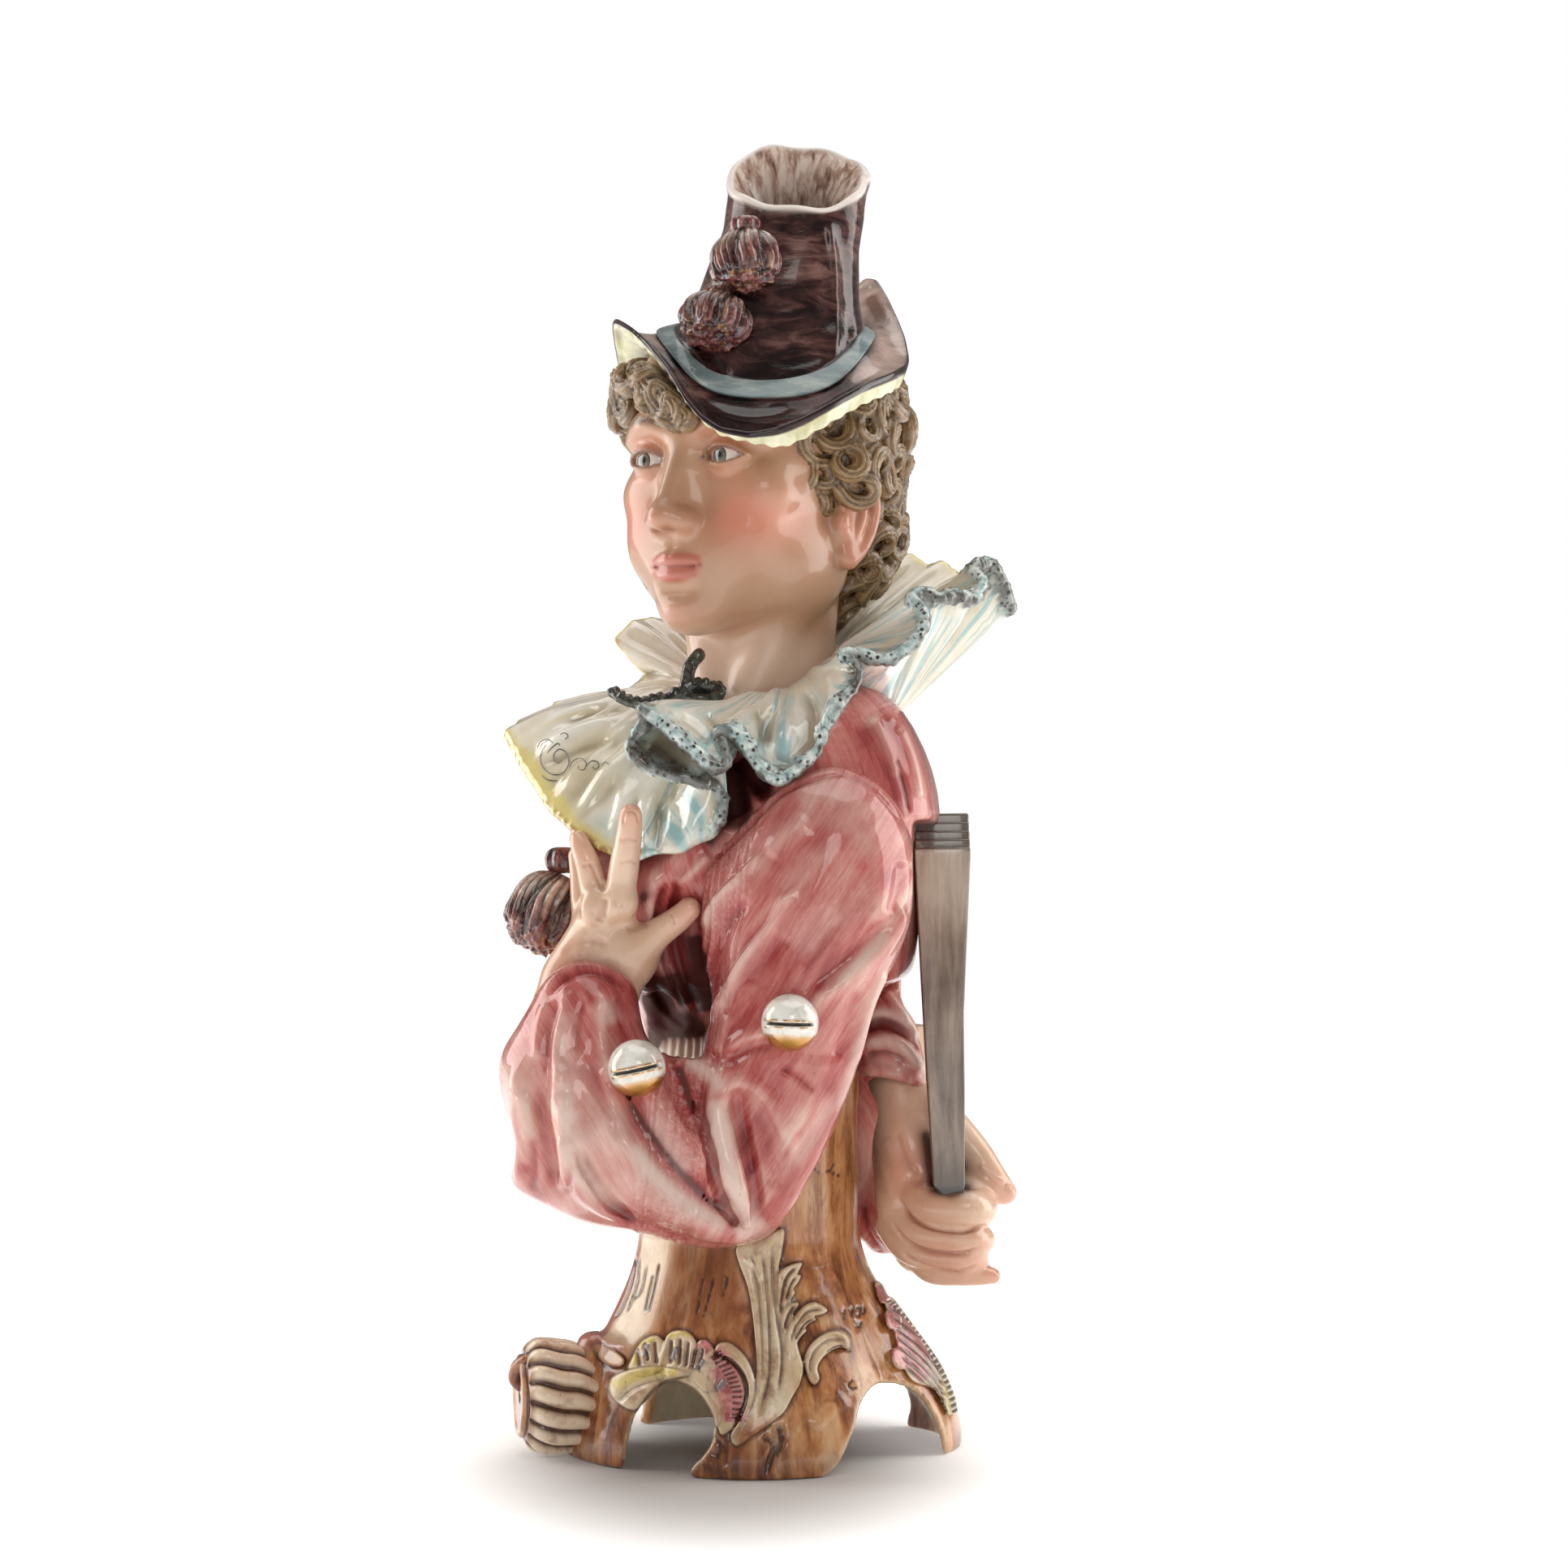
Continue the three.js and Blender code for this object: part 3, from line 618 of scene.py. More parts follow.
def baseReach(turn, height):
    ring = 1 / np.hypot(np.cos(turn) / base["columnDepth"], np.sin(turn) / base["columnWidth"])
    feet = 0.74 + 0.26 * np.abs(np.cos(2 * turn)) ** 0.8
    front = np.maximum(np.cos(turn), 0) ** 2
    flare = base["spread"] * (1 - smoothStep(5, base["spreadTop"], height)) * feet * (1 - 0.3 * front)
    return ring + flare * (0.7 + 0.3 * np.cos(turn) ** 2)


def polar(x, y):
    dx, dy = x - baseMiddle[0], y - baseMiddle[1]
    c, s = math.cos(figureTurn), math.sin(figureTurn)
    front, left = -dx * c - dy * s, dx * s - dy * c
    return np.arctan2(left, front), np.hypot(front, left), front, left


def mirrored(form):
    _, _, front, left = polar(form.points[:, 0], form.points[:, 1])
    x, y = turned(front, -left, figureTurn)
    points = np.stack([x + baseMiddle[0], y + baseMiddle[1], form.points[:, 2]], 1)
    other = Form(points, form.quads.copy())
    other.masks = {key: values.copy() for key, values in form.masks.items()}
    return other


# Raised ornament on the base inside an outline drawn in the picture
def raiseRelief(clay, outline, height, soft=1.6, blend=0.8):
    outline = smoothLine(outline, len(outline) * 4, closed=True)
    low, high = outline.min(0) - 12, outline.max(0) + 12
    a, b = placeOf(low[0], high[1], -95), placeOf(high[0], low[1], -95)
    part, x, y, z = clay.window([a[0] - 4, -150, a[2] - 4], [b[0] + 4, 40, b[2] + 4])
    scale = picture["focal"] / (picture["distance"] + y)
    across = picture["middle"] + x * scale
    down = picture["middle"] - (z - picture["height"]) * scale
    field = flatField(outline, low - 10, high + 10, 1.0)
    shape = clay.far[part].shape
    edge = sampleField(field, np.broadcast_to(across, shape), np.broadcast_to(down, shape)) / scale
    turn, reach, front, left = polar(x, y)
    over = (reach - baseReach(turn, z)) * 0.9
    over = np.where(left < 0, 30.0, over)
    h = np.maximum(soft - np.abs(edge - (over - height)), 0) / soft
    form = np.maximum(edge, over - height) + h * h * soft / 4
    form = np.maximum(form, -over - 3.0)
    clay.join(part, form, blend)


def buildBase(material, knobMaterial):
    clay = Clay([-130, -125, -2], [120, 125, 208], 1.5)
    part, x, y, z = clay.whole()
    turn, reach, front, left = polar(x, y)
    outer = (reach - baseReach(turn, z)) * 0.9
    shell = np.maximum(outer, -(reach - baseReach(turn, z) + base["wall"]) * 0.9)
    shell = np.where(z > base["hollowTop"], outer, shell)
    clay.join(part, np.maximum(np.maximum(shell, z - base["top"]), -z), 0.01)
    # A block under the front lip that the knob is set against
    clay.egg(figurePlace(86, 0, 16), [16, 26, 44], 6, figureTurn)
    part, x, y, z = clay.whole()
    clay.cut(part, z + 0 * (x + y), 0.01)
    for width, angle in (base["frontArch"], base["backArch"]):
        way = -math.radians(angle)
        part, x, y, z = clay.whole()
        turn, reach, front, left = polar(x, y)
        along = front * math.cos(way) + left * math.sin(way)
        across = left * math.cos(way) - front * math.sin(way)
        half = width / 2
        low = np.sqrt((across / half) ** 2 + (np.maximum(z - 14, 0) / (base["archHeight"] - 14)) ** 2)
        arch = (low - 1) * half * 0.8 + 2.5 * smoothStep(14, 0, z)
        clay.cut(part, np.maximum(arch, 30 - along), 2.5)
    clay.egg(figurePlace(30, 70, 8), [12, 9, 10], 6, figureTurn)
    for outline in base["nearOpenings"]:
        inner = smoothLine(base["innerArch"], 70, closed=True) if outline[0][0] > 1000 else None
        clay.opening(smoothLine(outline, 70, closed=True), -130, -16 if inner is None else 12, 2.0, inner, (-12, 6))
    part, x, y, z = clay.whole()
    clay.cut(part, z + 0 * (x + y), 0.01)
    form = clay.shape(2)
    decorateBase(form)
    addPiece("base_shell", form, material)

    # Ornament: stem and leaves of acanthus, shell band, crescents
    clay = Clay([-100, -146, 0], [46, -30, 128], 0.85)
    for outline, height in baseRelief:
        raiseRelief(clay, outline, height)
    for side, name in ((1, "near"), (-1, "far")):
        if side > 0:
            relief = clay.shape(1, False)
            carveRelief(relief)
        else:
            relief = mirrored(relief)
        addPiece("base_ornament_" + name, relief, material)
    clay = Clay([30, -100, 14], [112, 50, 134], 0.95)
    for outline, height in flankRelief:
        raiseRelief(clay, outline, height)
    relief = clay.shape(1, False)
    carveFlank(relief)
    addPiece("base_flank_near", relief, material)
    addPiece("base_flank_far", mirrored(relief), material)
    buildKnob(knobMaterial)


# Outlines in px and heights in mm
baseRelief = [
    # stem, flaring at its top and thinning out at the foot
    ([(907, 1538), (922, 1530), (945, 1522), (966, 1514), (963, 1545), (960, 1566), (972, 1590), (976, 1612),
      (980, 1640), (984, 1662), (990, 1684), (986, 1704), (976, 1722), (966, 1740), (952, 1752), (932, 1766),
      (908, 1782), (900, 1770), (914, 1757), (925, 1736), (930, 1712), (932, 1680), (930, 1648), (926, 1612),
      (920, 1582), (911, 1558)], 4.2),
    # first leaf, with its two tips
    ([(958, 1588), (958, 1570), (970, 1560), (988, 1555), (986, 1563), (982, 1570), (987, 1571), (983, 1581),
      (977, 1588), (980, 1592), (974, 1602), (964, 1612), (958, 1604)], 5.0),
    # second small leaf
    ([(962, 1634), (964, 1618), (972, 1607), (983, 1604), (984, 1609), (977, 1618), (972, 1632), (968, 1644)], 4.8),
    # third leaf, the longest
    ([(968, 1664), (970, 1640), (980, 1620), (992, 1608), (1004, 1604), (1016, 1610), (1020, 1615), (1012, 1620),
      (1002, 1622), (1006, 1626), (998, 1630), (992, 1636), (994, 1640), (986, 1648), (981, 1658), (978, 1676)], 4.8),
    # rolled leaf at the right
    ([(992, 1686), (991, 1673), (996, 1660), (1006, 1649), (1020, 1641), (1035, 1639), (1046, 1646), (1048, 1659),
      (1044, 1663), (1036, 1660), (1024, 1664), (1013, 1674), (1007, 1686), (1010, 1698), (1004, 1707),
      (997, 1701)], 4.6),
    # pale crescent round the pink comb
    ([(881, 1663), (886, 1655), (898, 1654), (912, 1664), (924, 1680), (931, 1704), (929, 1728), (918, 1752),
      (905, 1771), (900, 1768), (913, 1747), (921, 1726), (922, 1706), (915, 1690), (901, 1676), (886, 1670)], 4.6),
    # pink comb
    ([(880, 1672), (896, 1676), (911, 1692), (918, 1710), (918, 1728), (909, 1750), (899, 1764), (888, 1768),
      (884, 1752), (884, 1736), (874, 1720), (872, 1700)], 2.4),
    # lobes of the shell band above the arch
    ([(772, 1690), (780, 1670), (790, 1653), (806, 1645), (816, 1650), (820, 1664), (812, 1690), (790, 1696)], 3.0),
    ([(808, 1690), (817, 1660), (822, 1645), (833, 1639), (846, 1640), (855, 1648), (858, 1660), (850, 1694),
      (826, 1696)], 4.4),
    ([(848, 1690), (857, 1662), (861, 1652), (871, 1651), (879, 1661), (882, 1676), (884, 1700), (872, 1716),
      (858, 1706)], 3.6),
    # the band's lower part down to the arch
    ([(806, 1692), (830, 1684), (858, 1688), (878, 1704), (888, 1730), (888, 1752), (882, 1758), (879, 1744),
      (870, 1727), (857, 1712), (842, 1704), (828, 1700), (814, 1704)], 2.0),
    # yellow scoop
    ([(749, 1712), (753, 1698), (766, 1690), (786, 1685), (810, 1683), (832, 1686), (846, 1692), (836, 1698),
      (818, 1702), (802, 1714), (791, 1729), (782, 1738), (769, 1734), (756, 1724)], 5.5),
    # leaf tip behind the knob
    ([(728, 1656), (742, 1655), (758, 1664), (770, 1676), (764, 1684), (748, 1682), (736, 1672)], 4.0),
]
flankRelief = [
    # long shell down the flank of the back foot
    ([(1088, 1600), (1104, 1600), (1126, 1622), (1148, 1655), (1166, 1690), (1178, 1722), (1181, 1748),
      (1172, 1752), (1166, 1742), (1150, 1712), (1122, 1700), (1108, 1668), (1098, 1630)], 3.0),
    ([(1078, 1578), (1090, 1584), (1096, 1606), (1088, 1610), (1080, 1596)], 2.4),
    # buds
    ([(1090, 1618), (1096, 1614), (1108, 1620), (1112, 1634), (1100, 1640), (1092, 1632)], 4.4),
    ([(1098, 1664), (1106, 1660), (1120, 1668), (1122, 1682), (1110, 1688), (1100, 1680)], 4.4),
]


def carveRelief(form):
    form.masks["cream"] = np.ones(len(form.points))
    # The outlines and the carved grooves are painted darker: glaze pooled in them, and painted shade
    for outline, _ in baseRelief:
        stroke(form, outline + outline[:1], 1.5, 0, "round", "poolAndShade", 0.34, facing=-0.6, taper=0)
    for line, width, depth, tone in (
            ([(938, 1530), (944, 1580), (948, 1640), (947, 1700), (932, 1750)], 3.4, -1.4, 0.25),
            ([(952, 1526), (952, 1580), (957, 1620), (964, 1670), (958, 1726)], 3.4, -1.4, 0.25),
            ([(924, 1536), (934, 1590), (939, 1650), (940, 1710)], 2.6, -1.0, 0.15),
            ([(914, 1548), (928, 1560), (938, 1580)], 2.2, 1.2, 0),
            ([(984, 1559), (970, 1574), (963, 1600), (962, 1622)], 2.4, -1.6, 0.7),
            ([(982, 1572), (974, 1584), (968, 1604)], 2.0, -1.2, 0.8),
            ([(982, 1607), (972, 1620), (966, 1640)], 2.2, -1.6, 0.9),
            ([(1016, 1613), (996, 1616), (982, 1632), (973, 1656)], 2.8, -1.2, 0.3),
            ([(1004, 1624), (990, 1634), (979, 1652)], 2.2, -1.4, 0.8),
            ([(1008, 1606), (992, 1612), (978, 1632)], 2.2, 1.0, 0),
            ([(1044, 1652), (1024, 1650), (1006, 1662), (998, 1680), (1000, 1698)], 2.8, -1.0, 0.2),
            ([(1040, 1659), (1030, 1660), (1018, 1668)], 1.8, -1.2, 0.9),
            ([(890, 1660), (908, 1668), (920, 1688), (926, 1712), (920, 1738)], 2.6, 0.9, 0),
            ([(884, 1670), (900, 1676), (914, 1692), (920, 1712), (917, 1732), (903, 1760)], 1.8, -1.2, 1.2)):
        stroke(form, line, width, depth, "round", "poolAndShade", tone)
    # fluting of the shell band, darkened with pooled glaze and painted shade, with little inlaid dashes
    for line in ([(794, 1652), (798, 1678)], [(806, 1650), (808, 1682)], [(826, 1648), (826, 1682)],
                 [(838, 1646), (836, 1684)], [(848, 1650), (844, 1686)], [(858, 1660), (852, 1686)],
                 [(866, 1658), (860, 1690)], [(784, 1660), (788, 1684)]):
        stroke(form, line, 2.6, -1.3, "round", "poolAndShade", 0.7)
    for line in ([(798, 1656), (795, 1672)], [(834, 1660), (828, 1676)], [(868, 1676), (858, 1688)],
                 [(894, 1700), (884, 1712)]):
        stroke(form, line, 2.6, 1.0, "round", "slate", 2.2, taper=0.05)
    for k in range(15):
        t = k / 14
        middle = smoothLine([(882, 1668), (898, 1690), (908, 1716), (908, 1748)], 15)[k]
        lean = np.array([7.0, mix(-5.0, 2.0, t)])
        stroke(form, [middle - lean, middle + lean], 1.5, -1.3, "round", "poolAndShade", 0.5, taper=0.1)
    for line in ([(880, 1664), (896, 1684), (907, 1712), (908, 1752)], [(864, 1652), (876, 1664)],
                 [(886, 1684), (894, 1712), (902, 1752)]):
        stroke(form, line, 10, 0, "round", "pink", 1.4, taper=0.02)
    for line, width in (([(754, 1708), (776, 1697), (806, 1690), (834, 1690)], 7), ([(784, 1656), (806, 1647)], 6),
                        ([(822, 1645), (838, 1640), (852, 1645)], 5), ([(776, 1680), (786, 1670)], 6)):
        stroke(form, line, width, 0, "round", "yellow", 1.2, taper=0.02)
    stroke(form, [(760, 1728), (776, 1712), (800, 1702), (824, 1697)], 4, -1.6, "round", "", taper=0.1)
    # the stem's foot is brown like the ground, and the leaf behind the knob nearly so
    flat = pictureOf(form.points)
    fade = smoothStep(1735, 1765, flat[:, 1]) * smoothStep(900, 915, flat[:, 0])
    fade += smoothStep(772, 762, flat[:, 0]) * smoothStep(1690, 1682, flat[:, 1]) * 0.6
    fade += smoothStep(970, 986, flat[:, 0]) * smoothStep(1690, 1715, flat[:, 1])
    form.masks["cream"] = np.clip(1 - fade, 0, 1)
    form.masks["relief"] = np.ones(len(form.points))
    form.masks["hollow"] = np.clip(form.hollow(10), 0, 2)


def carveFlank(form):
    form.masks["cream"] = np.ones(len(form.points))
    # Flutes and edge notches are darkened with pooled glaze and painted shade
    for k in range(7):
        t = k / 6
        start = mix(np.array([1094, 1606]), np.array([1112, 1680]), t)
        end = mix(np.array([1160, 1668]), np.array([1172, 1748]), t)
        bend = mix(start, end, 0.5) + np.array([6, -2])
        stroke(form, [start, bend, end], 2.8, -1.4, "round", "poolAndShade", 0.7)
    for line in ([(1100, 1604), (1122, 1636), (1146, 1676)], [(1104, 1640), (1124, 1672), (1142, 1700)],
                 [(1092, 1620), (1110, 1634)], [(1100, 1664), (1120, 1682)], [(1082, 1584), (1092, 1606)]):
        stroke(form, line, 9, 0, "round", "pink", 1.3, taper=0.02)
    edge = smoothLine([(1100, 1600), (1128, 1628), (1152, 1664), (1172, 1704), (1182, 1746)], 26)
    for k in range(25):
        stroke(form, [edge[k] - (7, -4), edge[k] + (3, -2)], 1.6, -1.5, "round", "poolAndShade", 0.4)
    stroke(form, [(1104, 1600), (1130, 1630), (1154, 1668), (1172, 1706), (1180, 1744)], 6, 0, "round", "green", 1.4,
           taper=0.02)
    stroke(form, [(1166, 1700), (1174, 1730), (1176, 1750)], 7, 0, "round", "yellow", 0.8, taper=0.02)
    form.masks["relief"] = np.ones(len(form.points))
    form.masks["hollow"] = np.clip(form.hollow(10), 0, 2)


def decorateBase(form):
    turn, reach, front, left = polar(form.points[:, 0], form.points[:, 1])
    z = form.points[:, 2]
    outside = smoothStep(-3.5, -1.5, reach - baseReach(turn, z))
    degrees = np.degrees(turn)
    # cream bands with narrow sunk panels beside the front edge, both sides
    band = smoothStep(3, 7, np.abs(degrees)) * smoothStep(36, 26, np.abs(degrees) + 3 * np.sin(z * 0.09))
    band *= smoothStep(52, 62, z)
    form.masks["ember"] = smoothStep(24, 34, np.abs(degrees)) * smoothStep(82, 66, np.abs(degrees)) * smoothStep(66, 80, z)
    form.masks["cream"] = band * outside * 0.95
    form.masks["edge"] = smoothStep(7, 3, np.abs(degrees)) * outside * smoothStep(40, 60, z)
    inner = smoothStep(-7.0, -8.0, reach - baseReach(turn, z))
    form.masks["bare"] = inner * smoothStep(105, 85, np.abs(np.degrees(turn)))
    form.masks["foot"] = smoothStep(40, 0, z) * outside
    # a lip above the knob, front edge ridge, edge beads of the arches
    form.push(2.4 * np.exp(-(degrees / 9) ** 2) * smoothStep(40, 70, z) * outside * smoothStep(200, 150, z))
    lip = np.exp(-((z - 59) / 4) ** 2) * smoothStep(30, 18, np.abs(degrees)) * outside
    form.push(3.5 * lip)
    form.masks["edge"] = np.clip(form.masks["edge"] + lip, 0, 1)
    # Cut lines, darkened with pooled glaze and painted shade
    for line, width, depth in (
            ([(783, 1548), (778, 1580), (766, 1612), (756, 1624)], 1.6, -0.9),
            ([(787, 1550), (784, 1584), (772, 1616)], 1.4, -0.8),
            ([(796, 1560), (790, 1590), (780, 1600)], 1.2, -0.7),
            ([(813, 1556), (806, 1590), (799, 1618)], 1.4, -0.8),
            ([(805, 1570), (800, 1592), (795, 1616)], 1.4, -0.8),
            ([(867, 1574), (862, 1598), (858, 1622)], 1.2, -0.6),
            ([(880, 1574), (874, 1598), (867, 1624)], 1.2, -0.6),
            ([(896, 1572), (892, 1598)], 1.2, -0.6),
            ([(1052, 1700), (1046, 1706), (1050, 1712), (1056, 1708)], 1.4, -1.0),
            ([(1003, 1440), (1012, 1446), (1022, 1444), (1036, 1450)], 1.1, -0.6),
            ([(1022, 1444), (1028, 1434)], 1.0, -0.5)):
        stroke(form, line, width, depth, "round", "poolAndShade", 1.2, taper=0.05)
    # a line cut along the arches, and old pressed marks that are no letters, darkened with pooled glaze and painted
    # shade
    for mark in ([(1037, 1618), (1041, 1614), (1040, 1626)], [(1046, 1616), (1050, 1613), (1049, 1622)],
                 [(1055, 1612), (1060, 1610), (1059, 1620), (1055, 1622)], [(1063, 1610), (1066, 1614), (1063, 1619)],
                 [(1054, 1628), (1062, 1636)], [(1062, 1628), (1055, 1636)]):
        stroke(form, mark, 1.1, -0.9, "round", "poolAndShade", 1.5, taper=0.02)
    # shrinkage in the modelling, and rolled edges of the near foot; the sunk ones darkened with pooled glaze and
    # painted shade
    for line, width, depth in (
            ([(958, 1752), (962, 1775), (950, 1800), (948, 1815)], 5, -1.6),
            ([(866, 1795), (884, 1806), (900, 1812)], 5, 1.6),
            ([(1000, 1760), (1020, 1740), (1044, 1720)], 9, 1.4),
            ([(876, 1770), (888, 1780), (880, 1800)], 5, -1.2),
            ([(1006, 1560), (1004, 1600)], 12, 0.9),
            ([(940, 1768), (952, 1782), (946, 1806), (944, 1822)], 3, -1.4),
            ([(964, 1765), (962, 1780), (958, 1798)], 2, -0.8),
            ([(1044, 1706), (1052, 1702), (1056, 1710)], 2, 0.9)):
        stroke(form, line, width, depth, "round", "poolAndShade" if depth < 0 else "", 0.5)
    # pooled glaze and painted shade lie dark along the relief, the arch has a pale rim, and broad strokes of painted
    # shade darken a few places more
    for outline, _ in baseRelief:
        stroke(form, outline + outline[:1], 3.2, -0.5, "round", "poolAndShade", 0.6, taper=0)
    for outline in base["nearOpenings"]:
        stroke(form, outline[1:-1], 3.2, 0.7, "round", "cream", 0.75, taper=0)
    for line, width in (([(866, 1800), (884, 1812), (920, 1820)], 10), ([(1010, 1812), (1034, 1790)], 8),
                        ([(934, 1640), (934, 1600), (922, 1570)], 4), ([(1020, 1600), (1012, 1580)], 12),
                        ([(960, 1530), (968, 1560)], 7), ([(1048, 1668), (1046, 1690)], 8)):
        stroke(form, line, width, 0, "round", "poolAndShade", 0.3, taper=0.1)
    form.masks["relief"] = np.zeros(len(form.points))
    form.masks["hollow"] = np.clip(form.hollow(12), 0, 2)


knob = dict(reach=102.0, height=31.8, half=24.5, radius=32.0, ribs=15, around=420, along=110)


# A fluted drum that lies on its side, with a rim and a rolled cap at its front end
def buildKnob(material):
    around, along = knob["around"], knob["along"]
    a = np.linspace(0, 2 * math.pi, around, endpoint=False)[None, :]
    b = np.linspace(0, math.pi, along)[:, None]
    lobe = np.abs(np.sin((a + 0.17 * np.cos(b)) * knob["ribs"] / 2))
    ribbed = smoothStep(0.50, 0.74, b) * smoothStep(math.pi - 0.35, math.pi - 0.75, b)
    rim = np.exp(-((b - 0.36) / 0.09) ** 2)
    size = 1 - 0.13 * ribbed * (1 - lobe) + 0.03 * rim - 0.06 * np.exp(-((b - 0.53) / 0.05) ** 2)
    out = knob["radius"] * np.sin(b) ** 0.5 * size * (1.03 - 0.20 * smoothStep(1.0, 2.5, b))
    front = knob["half"] * np.sign(np.cos(b)) * np.abs(np.cos(b)) ** 0.62 + 2.0 * rim + 0 * a
    left = out * np.sin(a)
    up = out * np.cos(a)
    x, y = turned(front + knob["reach"], left, figureTurn)
    z = up + knob["height"] - 5 * smoothStep(1.0, 2.5, b)
    z = np.where(z < 3, 3 * np.exp((z - 3) / 6), z)
    points = np.stack([x + baseMiddle[0], y + baseMiddle[1], z], -1).reshape(-1, 3)
    form = Form(points, gridQuads(along, around, True))
    form.push(0.5 * softNoise(form.points, 9, 2))
    # Glaze pooled in the grooves and painted shade darken the grooves and the ends of the ribs
    groove = (1 - lobe) ** 3.2 * ribbed * 1.2 + 1.1 * np.exp(-((b - 0.53) / 0.04) ** 2) + 0 * a
    ends = smoothStep(0.95, 0.6, b) + smoothStep(1.95, 2.4, b)
    form.masks["poolAndShade"] = (groove + 0.2 * ends * ribbed).reshape(-1)
    form.masks["cream"] = (1.25 * ribbed * lobe ** 0.9 * (1 - 0.75 * ends) + 0.2 * rim).reshape(-1)
    form.masks["warm"] = np.ones(len(points))
    form.masks["hollow"] = np.clip(form.masks["poolAndShade"], 0, 1)
    form.masks["relief"] = np.ones(len(points))
    addPiece("base_knob", closeEnds(form, along, around), material)
    clay = Clay([-150, -62, 30], [-104, 10, 66], 0.9)
    clay.limb([[*placeOf(676, 1661, -42), 3.0], [*placeOf(666, 1655, -44), 3.8], [*placeOf(655, 1658, -44), 4.0],
               [*placeOf(650, 1668, -42), 3.8], [*placeOf(656, 1676, -42), 3.2], [*placeOf(663, 1671, -44), 2.6]], 1.5, 20)
    clay.limb([[*placeOf(648, 1676, -34), 3.4], [*placeOf(639, 1684, -30), 4.2], [*placeOf(635, 1698, -26), 4.0],
               [*placeOf(641, 1708, -26), 3.2]], 1.5)
    form = clay.shape(2)
    # A groove round the cap, darkened with pooled glaze and painted shade
    stroke(form, [(664, 1674), (652, 1680), (648, 1692), (652, 1702)], 2.4, -1.6, "round", "poolAndShade", 1.0)
    form.masks["relief"] = np.ones(len(form.points))
    form.masks["hollow"] = np.clip(form.hollow(8), 0, 2)
    addPiece("base_knob_cap", form, material)


def gridQuads(rows, columns, closed):
    r = np.arange(rows - 1)[:, None]
    c = np.arange(columns if closed else columns - 1)[None, :]
    n = (c + 1) % columns
    a, b = r * columns + c, r * columns + n
    return np.stack([a, b, b + columns, a + columns], -1).reshape(-1, 4)


# The end rings of a closed grid are drawn to a point each, so the grid is watertight once merged
def closeEnds(form, rows, columns):
    for row in (0, rows - 1):
        ring = slice(row * columns, (row + 1) * columns)
        form.points[ring] = form.points[ring].mean(0)
    return form


# Jacket: trunk, near sleeve, far sleeve
trunkRings = [[0, 192, 54, 54], [-2, 216, 57, 62], [0, 240, 62, 74], [2, 251, 78, 84], [3, 258, 90, 90],
              [4, 300, 97, 98], [0, 342, 99, 104], [-4, 372, 90, 100], [-14, 400, 66, 80], [-19, 416, 48, 56],
              [-14, 432, 40, 44], [-12, 440, 36, 38]]
backOutline = [(600, 700), (1040, 800), (1085, 850), (1106, 868), (1124, 897), (1136, 925), (1144, 951),
               (1150, 976), (1153, 1002), (1151, 1040), (1143, 1090), (1134, 1140), (1130, 1180), (1130, 1200),
               (1098, 1214), (1082, 1236), (1070, 1270), (1066, 1320), (1062, 1400), (1060, 1480), (600, 1500),
               (600, 1330), (650, 1250), (708, 1196), (718, 1130), (718, 1064), (702, 1024), (640, 960), (600, 930)]
clapperBed = [(1125, 1012), (1175, 1012), (1175, 1262), (1134, 1262), (1126, 1100)]
nearSleeveOutline = [
    (663, 1221), (682, 1199), (707, 1186), (735, 1186), (765, 1199), (782, 1214), (788, 1249), (797, 1280),
    (818, 1298), (845, 1303), (864, 1303), (866, 1282), (878, 1240), (869, 1190), (862, 1150), (861, 1100),
    (868, 1066), (890, 1040), (912, 1018), (940, 990), (970, 964), (1010, 948), (1046, 947), (1078, 964),
    (1104, 992), (1121, 1030), (1126, 1066), (1126, 1102), (1121, 1136), (1111, 1166), (1096, 1195),
    (1081, 1225), (1070, 1258), (1059, 1307), (1047, 1344), (1028, 1387), (1007, 1432), (986, 1469),
    (967, 1500), (952, 1518), (931, 1531), (906, 1538), (875, 1540), (845, 1534), (814, 1525), (784, 1518),
    (747, 1514), (707, 1504), (673, 1488), (652, 1478), (634, 1466), (627, 1451), (631, 1432), (634, 1411),
    (630, 1392), (621, 1368), (615, 1344), (614, 1313), (621, 1288), (637, 1264), (652, 1240)]


